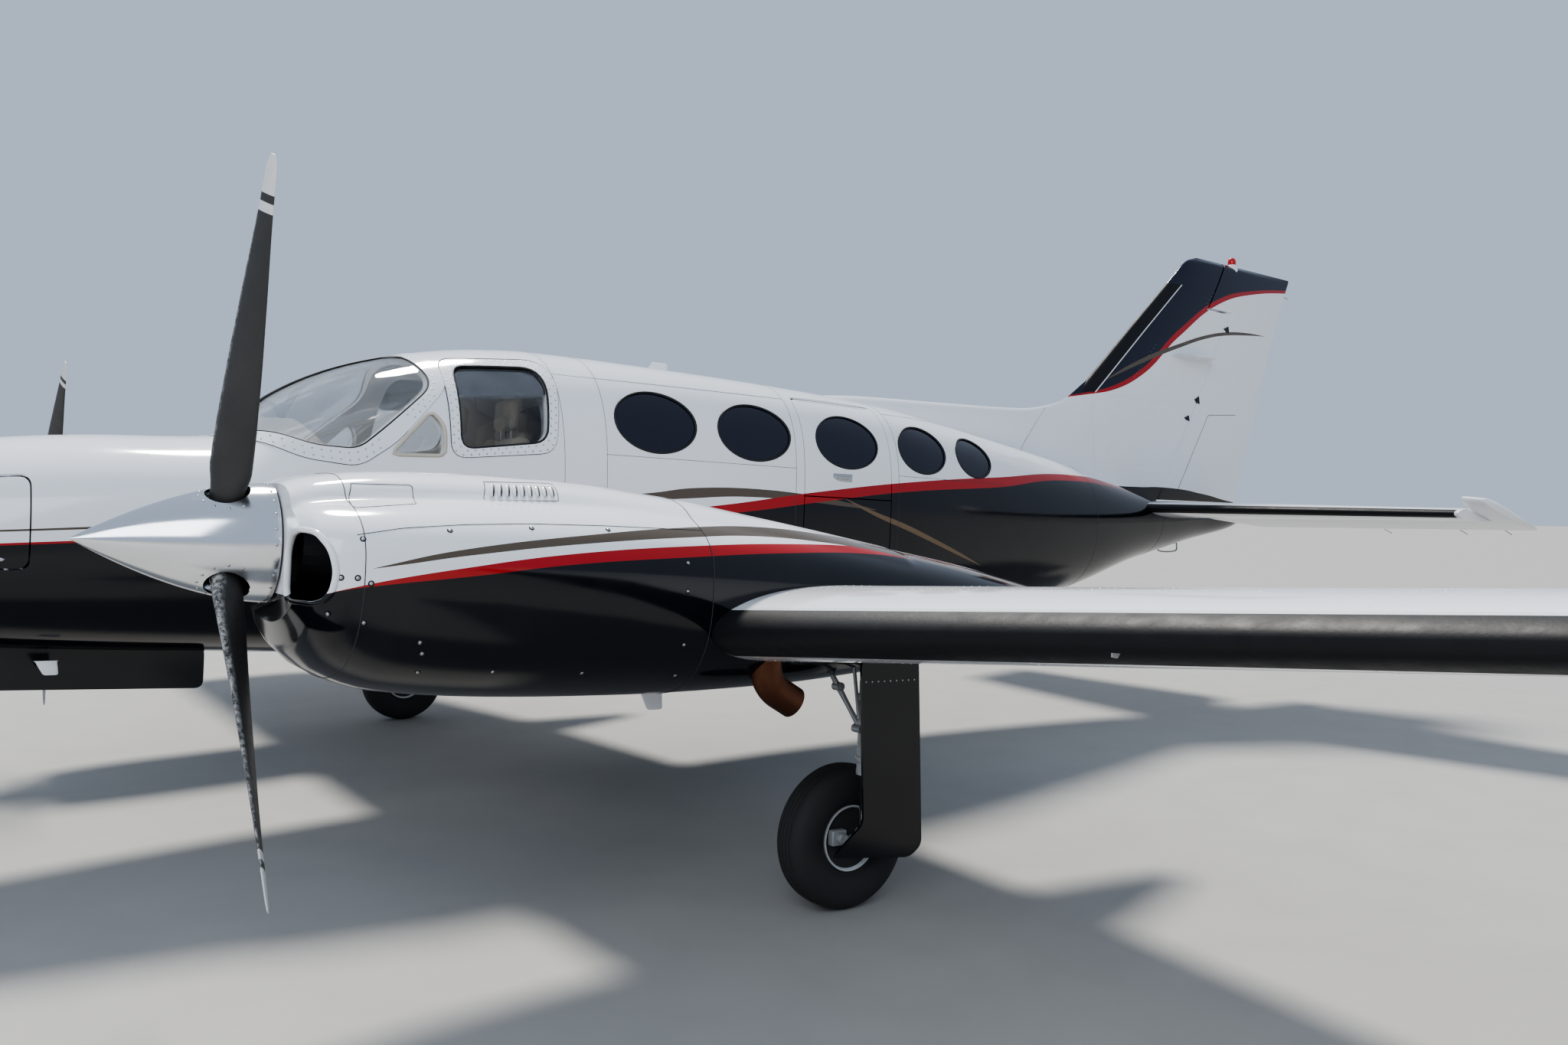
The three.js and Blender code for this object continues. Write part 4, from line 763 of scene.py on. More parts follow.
def band(tree, height, low, high):
    """1 between two edges and 0 outside them."""
    above = maths(tree, "GREATER_THAN", height, low)
    return maths(tree, "MULTIPLY", above, maths(tree, "LESS_THAN", height, high))


def gloss_coat(tree, shader, place):
    """Old gloss paint: polish haze in patches, a fine orange peel and slightly rippled metal under it."""
    haze = noise(tree, place, 6.0, 5.0)
    feed(tree, shader, Roughness=spread(tree, haze, 0.35, 0.75, 0.09, 0.15))
    waves = noise(tree, place, 3.2, 1.0)
    peel = maths(tree, "MULTIPLY", noise(tree, place, 260.0, 2.0), 0.02)
    bump(tree, shader, maths(tree, "ADD", waves, peel), 0.0006, 0.6)


def dusted(tree, place, colour, most):
    """Thin road dust and run marks in soft patches over a paint colour."""
    patches = spread(tree, noise(tree, place, 2.3, 6.0, 0.65), 0.52, 0.8, 0.0, most)
    return blend_colour(tree, patches, colour, DUST)


def level_paint(name):
    """A gloss paint to draw on, with its level place, station and height."""
    material, tree, shader = new_material(name, **GLOSS)
    place = level_place(tree)
    parts = wire(tree, "ShaderNodeSeparateXYZ", {0: place}).outputs
    return material, tree, shader, place, parts["Y"], parts["Z"]


def striped(name, bands, black_edge):
    """Paint that is white above an edge and black below it, with bands drawn over both."""
    material, tree, shader, place, along, height = level_paint(name)
    below = maths(tree, "LESS_THAN", height, drawn_edge(tree, along, black_edge))
    colour = blend_colour(tree, below, dusted(tree, place, WHITE, WHITE_DUST),
                          dusted(tree, place, BLACK, BLACK_DUST))
    for paint, low, high in bands:
        inside = band(tree, height, drawn_edge(tree, along, low), drawn_edge(tree, along, high))
        colour = blend_colour(tree, inside, colour, paint)
    feed(tree, shader, Base_Color=colour)
    gloss_coat(tree, shader, place)
    return material


HULL_RED_TOP = [(-2.04, 1.165), (-1.2, 1.235), (-0.427, 1.289), (-0.188, 1.306), (0.8, 1.375), (1.8, 1.463),
                (2.773, 1.572), (3.424, 1.673), (4.181, 1.77), (4.949, 1.84), (6.045, 1.913), (6.569, 1.88),
                (7.092, 1.823), (8.42, 1.70)]
HULL_RED_LOW = [(-2.04, 1.155), (-1.2, 1.226), (-0.427, 1.28), (-0.188, 1.297), (0.8, 1.36), (1.8, 1.435),
                (2.5, 1.495), (3.001, 1.552), (3.481, 1.623), (4.18, 1.714), (4.936, 1.775), (5.998, 1.872),
                (6.532, 1.855), (7.092, 1.82), (8.42, 1.70)]
TAUPE_TOP = [(-2.04, 1.22), (-1.2, 1.287), (-0.428, 1.342), (-0.136, 1.364), (0.9, 1.45), (1.7, 1.545),
             (2.368, 1.62), (2.696, 1.663), (2.996, 1.672), (3.358, 1.658), (3.7, 1.62), (3.9, 1.59)]
TAUPE_LOW = [(-2.04, 1.213), (-1.2, 1.279), (-0.428, 1.334), (-0.136, 1.354), (0.9, 1.428), (1.7, 1.51),
             (2.2, 1.562), (2.602, 1.602), (2.998, 1.627), (3.359, 1.618), (3.7, 1.60), (3.9, 1.59)]
DIVE_TOP = [(3.62, 1.655), (3.88, 1.58), (4.12, 1.518), (4.379, 1.436), (4.62, 1.357), (4.86, 1.272)]
DIVE_LOW = [(3.62, 1.655), (3.88, 1.556), (4.12, 1.486), (4.379, 1.408), (4.62, 1.337), (4.86, 1.272)]

hull_paint = striped("hull_paint", [
    (TAUPE, TAUPE_LOW, TAUPE_TOP),
    (BRONZE, DIVE_LOW, DIVE_TOP),
    (RED, HULL_RED_LOW, HULL_RED_TOP),
], HULL_RED_LOW)

ENGINE_RED_TOP = [(0.09, 1.19), (0.233, 1.251), (0.579, 1.319), (0.958, 1.369), (1.348, 1.397),
                  (1.775, 1.412), (2.242, 1.407), (2.9, 1.33), (3.9, 1.10)]
ENGINE_RED_LOW = [(0.09, 1.19), (0.233, 1.249), (0.315, 1.262), (0.58, 1.292), (0.957, 1.336),
                  (1.341, 1.361), (1.753, 1.38), (2.189, 1.384), (2.6, 1.355), (2.9, 1.33), (3.9, 1.10)]
SWOOSH_TOP = [(0.30, 1.310), (0.332, 1.319), (0.579, 1.373), (0.964, 1.422), (1.375, 1.458), (1.677, 1.469),
              (2.039, 1.451), (2.5, 1.392), (3.0, 1.306), (3.4, 1.236), (3.72, 1.18)]
SWOOSH_LOW = [(0.30, 1.310), (0.397, 1.325), (0.578, 1.353), (0.96, 1.396), (1.357, 1.425), (1.638, 1.436),
              (1.989, 1.422), (2.5, 1.365), (3.0, 1.283), (3.4, 1.222), (3.72, 1.18)]
nacelle_paint = striped("nacelle_paint", [
    (RED, ENGINE_RED_LOW, ENGINE_RED_TOP),
    (TAUPE, SWOOSH_LOW, SWOOSH_TOP),
], ENGINE_RED_LOW)


FIN_RED_LOW = [(6.2, 2.50), (6.45, 2.545), (6.703, 2.599), (7.016, 2.737), (7.474, 3.094), (8.065, 3.454),
               (8.5, 3.575), (9.06, 3.665)]
FIN_RED_TOP = [(6.2, 2.51), (6.45, 2.56), (6.703, 2.63), (7.016, 2.785), (7.474, 3.15), (8.065, 3.495),
               (8.5, 3.605), (9.06, 3.69)]
FIN_SWOOSH_LOW = [(6.62, 2.66), (7.05, 2.845), (7.49, 3.011), (7.87, 3.132), (8.11, 3.182), (8.40, 3.219),
                  (8.72, 3.25)]
FIN_SWOOSH_TOP = [(6.62, 2.66), (7.05, 2.88), (7.49, 3.043), (7.87, 3.160), (8.11, 3.209), (8.40, 3.241),
                  (8.72, 3.25)]
FIN_ROOT_SHADE = [(6.0, 1.87), (7.04, 1.886), (7.37, 1.898), (7.87, 1.874), (8.26, 1.834), (8.6, 1.81)]


def fin_finish():
    """White fin with a navy leading edge and top, edged in red, a taupe swoosh across the hinge, and painted shade
    at its root.
    """
    material, tree, shader, place, along, height = level_paint("fin_paint")
    red_low, red_top, swoosh_low, swoosh_top, root = (drawn_edge(tree, along, edge) for edge in (
        FIN_RED_LOW, FIN_RED_TOP, FIN_SWOOSH_LOW, FIN_SWOOSH_TOP, FIN_ROOT_SHADE))
    colour = dusted(tree, place, WHITE, WHITE_DUST)
    colour = blend_colour(tree, maths(tree, "GREATER_THAN", height, red_low), colour, NAVY)
    colour = blend_colour(tree, band(tree, height, red_low, red_top), colour, RED)
    colour = blend_colour(tree, band(tree, height, swoosh_low, swoosh_top), colour, TAUPE)
    # Below the root edge the fin is near black: painted shade where it meets the tail cone.
    colour = blend_colour(tree, maths(tree, "LESS_THAN", height, root), colour, SHADOW)
    feed(tree, shader, Base_Color=colour)
    gloss_coat(tree, shader, place)
    return material


fin_paint = fin_finish()


def plain_gloss(name, colour, dust=WHITE_DUST):
    material, tree, shader = new_material(name, **GLOSS)
    place = object_place(tree)
    feed(tree, shader, Base_Color=dusted(tree, place, colour, dust))
    gloss_coat(tree, shader, place)
    return material


white_gloss = plain_gloss("white_gloss", WHITE)
black_gloss = plain_gloss("black_gloss", BLACK, BLACK_DUST)
print("paints", [m.name for m in (hull_paint, nacelle_paint, fin_paint, white_gloss, black_gloss)])

# %% [markdown]
# ## Glass, rubber and metals
# The cabin panes are acrylic tinted so dark that they read as navy mirrors, and the windshield is clear. The
# spinners are polished aluminium with fine swirl marks, the blades matte paint, the boots and tyres rubber.

# %% Other finishes
def toned(colour, share):
    return tuple(min(1, c * share) for c in colour)


def glass(name, colour, transmission, roughness=0.02, alpha=1.0):
    """Acrylic with faint smears. An alpha below 1 lets more light through than the shader's own glass."""
    material, tree, shader = new_material(name, IOR=1.49, Transmission_Weight=transmission,
                                          Coat_Weight=0.2, Coat_Roughness=0.02, Alpha=alpha)
    smear = noise(tree, object_place(tree), 5.0, 4.0)
    feed(tree, shader, Roughness=spread(tree, smear, 0.4, 0.8, roughness, roughness + 0.03),
         Base_Color=blend_colour(tree, smear, colour, toned(colour, 1.15)))
    return material


def brushed(name, colour, rough_low, rough_high, scale, grain=None, metallic=1.0, ripple=0.0002):
    """A bare metal: its gloss and tone drift in patches, with a fine grain if it was brushed or cast."""
    material, tree, shader = new_material(name, Metallic=metallic)
    place = object_place(tree)
    patches = noise(tree, place, scale, 6.0, 0.6)
    feed(tree, shader, Roughness=spread(tree, patches, 0.3, 0.75, rough_low, rough_high),
         Base_Color=blend_colour(tree, patches, colour, toned(colour, 0.85)))
    bump(tree, shader, noise(tree, place, grain or scale * 30, 4.0), ripple, 0.5)
    return material


def matte(name, colour, roughness, grain=180.0, depth=0.0006, shift=0.7, patch=7.0, gloss=0.5):
    """A dull surface such as rubber, primer or moulded trim, with grain and worn, paler patches."""
    material, tree, shader = new_material(name, Specular_IOR_Level=gloss)
    place = object_place(tree)
    patches = noise(tree, place, patch, 5.0, 0.6)
    feed(tree, shader, Base_Color=blend_colour(tree, patches, colour, toned(colour, shift)),
         Roughness=spread(tree, patches, 0.3, 0.8, roughness - 0.08, roughness + 0.08))
    bump(tree, shader, noise(tree, place, grain, 4.0), depth, 0.6)
    return material


tinted_glass = glass("tinted_glass", (0.006, 0.008, 0.03), 0.55)
clear_glass = glass("clear_glass", (0.93, 0.97, 0.98), 1.0, 0.0, 0.42)
polished = brushed("polished_metal", (0.80, 0.81, 0.83), 0.07, 0.17, 9.0, 420.0)
steel = brushed("gear_steel", (0.52, 0.53, 0.54), 0.24, 0.42, 22.0)
chrome = brushed("chrome", (0.82, 0.83, 0.84), 0.05, 0.12, 30.0)
exhaust_metal = brushed("exhaust_metal", (0.15, 0.068, 0.042), 0.36, 0.6, 14.0, ripple=0.0004)
casting = brushed("engine_casting", (0.14, 0.14, 0.15), 0.45, 0.65, 30.0, metallic=0.6, ripple=0.0006)
boot_rubber = matte("boot_rubber", (0.009, 0.009, 0.010), 0.56, 90.0, 0.0008, 1.9, 16.0, 0.22)
tyre_rubber = matte("tyre_rubber", (0.016, 0.016, 0.016), 0.78, 160.0, 0.0006, 1.8)
gasket = matte("window_gasket", (0.010, 0.010, 0.011), 0.5)
cream_trim = matte("cream_trim", (0.56, 0.52, 0.43), 0.62, 260.0, 0.0004, 0.86)
carpet = matte("carpet", (0.20, 0.165, 0.12), 0.95, 700.0, 0.003, 0.7)
# Near-black matte for the cowl's inner wall, also used as painted shade in the louvre slots.
cowl_black_and_slot_shade = matte("cowl_black_and_slot_shade", (0.03, 0.03, 0.032), 0.6)
lamp_red = glass("lamp_red", (0.62, 0.02, 0.015), 0.6)
lamp_clear = glass("lamp_clear", (0.9, 0.92, 0.9), 0.7)
print("finishes", len(bpy.data.materials))

# %% [markdown]
# ## The hull
# The real hull is riveted sheet over frames and stringers. It is three solids here: a nose with its wheel
# well and the holes of the two baggage hatches, a pressurised cabin with a wall thick enough to show its trim,
# and a tail cone. Fine sections every 40 mm give it the fair surface that gloss paint needs.

# %% Nose, cabin and tail
HULL_STEP, HULL_SIDES = 40.0, 112
BULKHEAD = (450.0, 5050.0)
WALL = 45.0
WHEEL_WELL = dict(front=-1190, rear=420, half=195, top=1080)
HATCH = dict(front=-860, rear=-330, top=1560, fall=60, bottom=1190, skin=25, gap=6)
CUT_REACH = 900
ROOM = 2.0
NOSE_SHARES = (0.001, 0.01, 0.03, 0.07, 0.13, 0.22, 0.34, 0.5, 0.7, 0.9)


def hull_between(front, rear, inset=0.0, name="hull", tip=False):
    form = Body(FUSELAGE, inset=inset, tip=NOSE_TIP)
    stations = list(np.linspace(front, rear, max(3, int((rear - front) / HULL_STEP) + 1)))
    if tip:
        nose_reach = FUSELAGE["y"][0] - NOSE_TIP
        stations = [NOSE_TIP + share * nose_reach for share in NOSE_SHARES] + stations[1:]
    return loft(name, [form.ring(y, HULL_SIDES) for y in stations]), form


def hatch_outline(gap):
    front, rear = HATCH["front"] - gap, HATCH["rear"] + gap
    bottom, top = HATCH["bottom"] - gap, HATCH["top"] + gap
    return rounded([(front, bottom), (rear, bottom), (rear, top), (front, top - HATCH["fall"])], 45)


def leave_room(shell, leaf, joint, turns):
    """Cuts a shell wherever a leaf passes as it opens, with the leaf drawn a little larger."""
    back = PARKED.inverted()
    pivot = Matrix.Translation(back @ Vector(joints[joint]["pos_m"]))
    axis = (back.to_3x3() @ Vector(joints[joint]["axis"])).normalized()
    larger = [v.co + ROOM * v.normal for v in leaf.data.vertices]
    for turn in turns:
        cutter = leaf.copy()
        cutter.data = leaf.data.copy()
        cutter.data.vertices.foreach_set("co", np.array(larger).ravel())
        cutter.data.transform(pivot @ Matrix.Rotation(math.radians(turn), 4, axis) @ pivot.inverted())
        bpy.context.scene.collection.objects.link(cutter)
        solve(shell, [cutter])
    return shell


nose, _ = hull_between(FUSELAGE["y"][0], BULKHEAD[0], name="nose", tip=True)
well = slab(-WHEEL_WELL["half"], WHEEL_WELL["half"], WHEEL_WELL["front"], WHEEL_WELL["rear"], 700,
            WHEEL_WELL["top"])
nose = solve(nose, [well, prism(hatch_outline(HATCH["gap"]), "x", -CUT_REACH, CUT_REACH)])

for side, sign in (("port", 1), ("starboard", -1)):
    door = prism(hatch_outline(0), "x", *sorted((sign * 150, sign * CUT_REACH)), name="hatch")
    door = solve(door, [hull_between(-1100, -100)[0]], "INTERSECT")
    door = solve(door, [hull_between(-1100, -100, HATCH["skin"])[0]])
    leave_room(nose, door, f"baggage_door_{side}_hinge", (20, 30, 40, 55, 70, 83, 95.5))
    shade(door, hull_form)
    finish_piece(door, f"baggage_hatch_{side}", f"baggage_door_{side}", hull_paint,
                 [f"baggage_door_{side}"])
shade(nose, hull_form)
finish_piece(nose, "nose_skin", "airframe", hull_paint, ["nose_body"])

tail, _ = hull_between(BULKHEAD[1] + 0.3, FUSELAGE["y"][-1], name="tail")
shade(tail, hull_form)
finish_piece(tail, "tail_skin", "airframe", hull_paint, ["tail_cone"])
print("nose and tail triangles", made_pieces)

# %% [markdown]
# The cabin's openings are the windshield, a framed pilot's window and a small vent window on each side, the
# oval cabin windows, and the air-stair door on the port side, which opens as two halves. The hull bulges
# past each straight hinge, so doors and hatches are turned about it and cut their room in the hole's edge.

# %% Openings of the cabin
OVALS = {"first": (2412, 1985, 236, 158), "second": (3022, 1977, 236, 152), "third": (3674, 1970, 232, 151),
         "fourth": (4290, 1967, 205, 142), "fifth": (4780, 1952, 168, 124)}
WINDSHIELD = [(456, 1812), (575, 1812), (731, 1756), (915, 1748), (1034, 1850), (1258, 2050), (1280, 2110),
              (1262, 2175), (1205, 2290), (456, 2290)]
CREW_WINDOW = [(1374, 1776), (1800, 1838), (1838, 2135), (1800, 2215), (1400, 2190)]
VENT_WINDOW = [(1052, 1732), (1298, 1742), (1304, 1880), (1256, 1950)]
POST_HALF = 18
DOOR = dict(front=3352, rear=3998, top=2200, split=1650, bottom=1100)
RUN = 6.0


def across(outline, sign, near=300):
    return prism(outline, "x", *sorted((sign * near, sign * CUT_REACH)))


def screen_outline(grow):
    return rounded(grown(WINDSHIELD, grow), 55)


def door_outline(gap):
    front, rear = DOOR["front"] - gap, DOOR["rear"] + gap
    bottom, top = DOOR["bottom"] - gap, DOOR["top"] + gap
    return rounded([(front, bottom), (rear, bottom), (rear, top), (front, top)], 40)


cabin, _ = hull_between(*BULKHEAD, name="cabin")
room, room_form = hull_between(BULKHEAD[0] + WALL, BULKHEAD[1] - WALL, WALL)
openings = [across(door_outline(RUN), 1)]
for sign in (1, -1):
    openings += [across(screen_outline(0), sign, POST_HALF), across(rounded(CREW_WINDOW, 70), sign),
                 across(rounded(VENT_WINDOW, 35), sign)]
    openings += [across(oval(*OVALS[k]), sign) for k in OVALS if (sign, k) != (1, "third")]
cabin = solve(cabin, [room, gather("openings", openings)])
print("cabin openings", len(OVALS) * 2 + 6)

# %% Panes
def pane(outline, sign, near, deep, thick):
    """A piece of the hull's skin cut to an outline, set in a little and as thick as its glass."""
    low, high = min(p[0] for p in outline) - 60, max(p[0] for p in outline) + 60
    made = across(outline, sign, near)
    made = solve(made, [hull_between(low, high, deep)[0]], "INTERSECT")
    return solve(made, [hull_between(low, high, deep + thick)[0]])


pane_form = Body(FUSELAGE, inset=4)
inner_form = Body(FUSELAGE, inset=12)
PANES = {"cabin_windows_port_front": (1, ("first", "second")),
         "cabin_windows_port_rear": (1, ("fourth", "fifth")),
         "cabin_windows_starboard": (-1, tuple(OVALS)), "cabin_door_window": (1, ("third",))}
for node, (sign, names) in PANES.items():
    glazing = gather(node, [pane(oval(*OVALS[k], -0.6), sign, 300, 4, 8) for k in names])
    shade(glazing, pane_form, inner_form)
    body = "cabin_door_upper" if node == "cabin_door_window" else "airframe"
    finish_piece(glazing, node + "_glass", body, tinted_glass, [node])
for side, sign in (("port", 1), ("starboard", -1)):
    screen = shade(pane(screen_outline(-0.8), sign, POST_HALF, 4, 7), pane_form)
    finish_piece(screen, f"windshield_{side}_glass", "airframe", clear_glass,
                 [f"windshield_{side}"])
    crew = gather("crew", [pane(grown(rounded(CREW_WINDOW, 70), -0.6), sign, 300, 4, 6),
                           pane(grown(rounded(VENT_WINDOW, 35), -0.6), sign, 300, 4, 6)])
    finish_piece(shade(crew, pane_form), f"crew_windows_{side}_glass", "airframe", clear_glass,
                 [f"crew_windows_{side}"])
print("panes", sum(1 for n in made_pieces if "glass" in n or "windows" in n))

# %% The air-stair door
upper = across(door_outline(0), 1)
upper = solve(upper, [hull_between(3200, 4150)[0]], "INTERSECT")
upper = solve(upper, [hull_between(3200, 4150, WALL)[0], across(oval(*OVALS["third"]), 1)])
lower = upper.copy()
lower.data = upper.data.copy()
bpy.context.scene.collection.objects.link(lower)
upper = solve(upper, [slab(200, 1000, 3200, 4150, 900, DOOR["split"] + RUN / 2)])
lower = solve(lower, [slab(200, 1000, 3200, 4150, DOOR["split"] - RUN / 2, 2400)])
leave_room(cabin, upper, "cabin_door_upper_hinge", (25, 40, 55, 70, 83, 95.5))
leave_room(cabin, lower, "cabin_door_lower_hinge", (25, 40, 55, 70, 85, 100, 113, 125.5))
line_with(cabin, room_form, 1)
shade(cabin, hull_form, room_form)
finish_piece(cabin, "cabin_skin", "airframe", [hull_paint, cream_trim], ["cabin_shell"])
for half, name in ((upper, "cabin_door_upper"), (lower, "cabin_door_lower")):
    line_with(half, room_form, 1)
    shade(half, hull_form, room_form)
    finish_piece(half, name + "_skin", name, [hull_paint, cream_trim],
                 [name])

# %% [markdown]
# ## Wings
# A real wing is spars and ribs under riveted sheet. Here each panel is one loft of aerofoil sections, rounded
# off over the last few centimetres of the tip. The aileron is cut from the same loft round its hinge line, so
# the two share one surface, and the split flaps lie in hollows along the underside.

# %% Aerofoil panels, and finishing in pairs
def foil_body(form, stations, tip_from, name, count=44):
    """A wing or fin panel, its tip rounded off from one station on."""
    end = form.rows["x"][-1] + 1
    rings = []
    for span in stations:
        ring = form.ring(span, count)
        if span > tip_from:
            lead, chord, z, _ = form.rib(span)
            column = 0 if form.upright else 2
            middle = z + form.mean((ring[:, 1] - lead) / chord, chord)
            share = math.sqrt(1 - ((span - tip_from) / (end - tip_from)) ** 2)
            ring[:, column] = middle + (ring[:, column] - middle) * share
        rings.append(ring)
    return loft(name, rings)


def finish_pair(piece, name, body, materials, replaces=(), forms=()):
    """Finishes a port piece and its mirrored twin. A form drawn off the middle comes as a pair."""
    twin = mirrored(piece, "twin")
    for k, (made, side) in enumerate(((piece, "port"), (twin, "starboard"))):
        shade(made, *(form[k] if isinstance(form, tuple) else form for form in forms))
        finish_piece(made, f"{name}_{side}", body.format(side), materials,
                     [node.format(side) for node in replaces])


def steps_between(low, high, step):
    return np.linspace(low, high, max(2, int((high - low) / step) + 1)).tolist()

# %% Wing, aileron and flaps
WING_SPANS = steps_between(520, 2371, 150) + steps_between(2371, 5900, 150)[1:] + [
    5960, 6020, 6080, 6130, 6170, 6200, 6216, 6230, 6242, 6251, 6258, 6262, 6264.5]
AILERON = dict(inner=4330, outer=5880, hinge=0.76, end=8, pin=8)
FLAP_SPANS = {"inner": (830, 1990), "outer": (2900, 4300)}
FLAP_SHARES, FLAP_THICK, FLAP_CLEAR, FLAP_GAP = (0.74, 0.87, 0.995), (15, 10, 3.5), (8, 5, 5), 6
JACK_PAD = (3150, 1930, 30, 1035)
# Faces that look down take the black gloss and all others the white.
WHITE_UP_BLACK_DOWN = [white_gloss, black_gloss]


def hinge_point(form, span, f):
    """A point of the mean line, and half the thickness there."""
    lead, chord, z, thick = (float(v) for v in form.rib(span))
    place = np.array([span, lead + f * chord, z + float(form.mean(f, chord))])
    return place, float(form.half(f, thick, chord))


def aileron_hinge(over):
    """Both ends of the hinge line, each with half the wing's thickness there."""
    spans = (AILERON["inner"] - over, AILERON["outer"] + over)
    return [hinge_point(wing_form, x, AILERON["hinge"]) for x in spans]


def aileron_plan(over):
    (inner_x, inner_y, _), (outer_x, outer_y, _) = (place for place, _ in aileron_hinge(over))
    return prism([(inner_x, inner_y), (outer_x, outer_y), (outer_x, 3400), (inner_x, 3400)], "z", 900, 1600)


def aileron_nose(grow, over):
    (start, thick), (end, thin) = aileron_hinge(over)
    return rod(start, end, thick + grow, thin + grow, 48)


def flap_ring(span, cut=False):
    lead, chord, z, thick = (float(v) for v in wing_form.rib(span))
    f = np.linspace(FLAP_SHARES[0], FLAP_SHARES[-1], 9)
    y = lead + f * chord
    under = z + wing_form.mean(f, chord) - wing_form.half(f, thick, chord)
    deep = np.interp(f, FLAP_SHARES, FLAP_THICK)
    bottom = under
    if cut:
        y = y + np.interp(f, FLAP_SHARES, (-8, 0, 40))
        deep = deep + np.interp(f, FLAP_SHARES, FLAP_CLEAR)
        bottom = under - 40
    low, high = (np.stack([0 * y + span, y, z], axis=1) for z in (bottom, under + deep))
    return np.concatenate([low, high[::-1]])


wing = foil_body(wing_form, WING_SPANS, 6200, "wing")
aileron = solve(foil_body(wing_form, WING_SPANS, 6200, "aileron"), [aileron_plan(0)], "INTERSECT")
aileron = solve(aileron, [aileron_nose(-0.3, -1)], "UNION")
pad_x, pad_y, pad_radius, pad_foot = JACK_PAD
wing = solve(wing, [rod((pad_x, pad_y, 1080), (pad_x, pad_y, pad_foot), pad_radius)], "UNION")
flap_cuts = [loft("cutter", [flap_ring(low - FLAP_GAP, True), flap_ring(high + FLAP_GAP, True)])
             for low, high in FLAP_SPANS.values()]
wing = solve(wing, [aileron_plan(AILERON["end"]), aileron_nose(RUN, AILERON["end"]), *flap_cuts,
                    hull_between(1200, 3500)[0]])
finish_pair(darken_below(wing), "wing_skin", "airframe", WHITE_UP_BLACK_DOWN, ["wing_{}"], [wing_form])
hinge_pin = rod(*(place for place, _ in aileron_hinge(AILERON["end"] - 0.3)), AILERON["pin"], sides=16)
finish_pair(darken_below(gather("aileron", [aileron, hinge_pin])), "aileron_skin", "aileron_{}", WHITE_UP_BLACK_DOWN,
            ["aileron_{}"], [wing_form])
for place, (low, high) in FLAP_SPANS.items():
    flap = loft("flap", [flap_ring(x) for x in steps_between(low, high, 200)])
    finish_pair(darken_below(flap), f"flap_{place}_skin", f"flap_{place}_{{}}", WHITE_UP_BLACK_DOWN,
                [f"flap_{place}_{{}}"], [wing_form])
print("wing pieces", sorted(n for n in made_pieces if "wing_skin" in n or "aileron" in n or "flap" in n))

# %% [markdown]
# Pneumatic de-icing boots are black rubber sheets glued round the leading edges. Each is a thin closed strip
# that follows the section round its nose. A narrow pale strip runs behind the upper edge of some of them.

# %% Boots on the wings
def edge_strip(name, form, spans, upper, lower, out, deep=2.0, count=14):
    """A strip wrapped round a leading edge. Upper and lower are its reach behind the edge, in mm."""
    rings = []
    for span in spans:
        chord = float(form.rib(span)[1])
        back = np.linspace((upper / chord) ** 0.5, 0, count) ** 2
        front = np.linspace(0, (lower / chord) ** 0.5, count) ** 2
        line = np.array([form.at(span, f, 1) for f in back] + [form.at(span, f, -1) for f in front[1:]])
        column = 0 if form.upright else 2
        tangent = np.gradient(line, axis=0)
        normal = np.zeros_like(line)
        normal[:, 1], normal[:, column] = tangent[:, column], -tangent[:, 1]
        normal /= np.linalg.norm(normal, axis=1)[:, None]
        rings.append(np.concatenate([line + out * normal, (line - deep * normal)[::-1]]))
    return loft(name, rings)


def skin_strip(name, form, spans, start, wide, side=1, out=0.8, deep=1.0):
    """A flat strip along the span, from a distance behind the leading edge."""
    rings = []
    for span in spans:
        chord = float(form.rib(span)[1])
        f = np.linspace(start, start + wide, 4) / chord
        over = [form.at(span, v, side, out) for v in f]
        rings.append(np.array(over + [form.at(span, v, side, -deep) for v in f[::-1]]))
    return loft(name, rings)


BOOT_SPANS, BOOT_REACH, BOOT_PROUD = steps_between(2800, 5880, 120), (62, 108), 1.3
boot = solve(edge_strip("boot", wing_form, BOOT_SPANS, *BOOT_REACH, BOOT_PROUD), [aileron_plan(0)])
finish_pair(boot, "wing_boot", "airframe", boot_rubber,
            forms=[Foil(WING, **WING_SHAPE, grow=BOOT_PROUD)])
trim_paint = plain_gloss("boot_edge_paint", (0.70, 0.71, 0.72), 0.1)
boot_edge = skin_strip("strip", wing_form, BOOT_SPANS, 64, 16)
finish_pair(boot_edge, "wing_boot_edge", "airframe", trim_paint)
inner_boot = edge_strip("boot", wing_form, steps_between(720, 1990, 120), *BOOT_REACH, BOOT_PROUD)
finish_pair(inner_boot, "wing_inner_boot", "airframe", boot_rubber)
print("boots", [n for n in made_pieces if "boot" in n])

# %% [markdown]
# ## Engine nacelles
# Each flat six-cylinder engine sits under a cowl of riveted panels, with a raised spine over the gearbox and
# turbocharger. Cowl and nacelle share one blended form, so the skin runs on past the firewall seam. The cowl
# is hollow, with the two kidney-shaped intakes cut through its front and a shaft hole between them.

# %% Nacelle and cowl
COWL_SKIN = 12
COWL_FRONT = 135.0
INTAKE = [(198, 1224), (244, 1204), (398, 1209), (428, 1238), (441, 1296), (433, 1362), (396, 1405),
          (330, 1414), (240, 1398), (200, 1350)]
LIP = 9.0
engine_form = Nacelle(ENGINE_X)
NACELLE_FORMS = (engine_form, Nacelle(-ENGINE_X))
COWL_FORMS = (Nacelle(ENGINE_X, COWL_SKIN), Nacelle(-ENGINE_X, COWL_SKIN))


def nacelle_between(front, rear, form=engine_form, name="nacelle", step=45.0, sides=112, extra=()):
    stations = sorted({*steps_between(front, rear, step), *extra})
    return loft(name, [form.ring(y, sides) for y in stations])


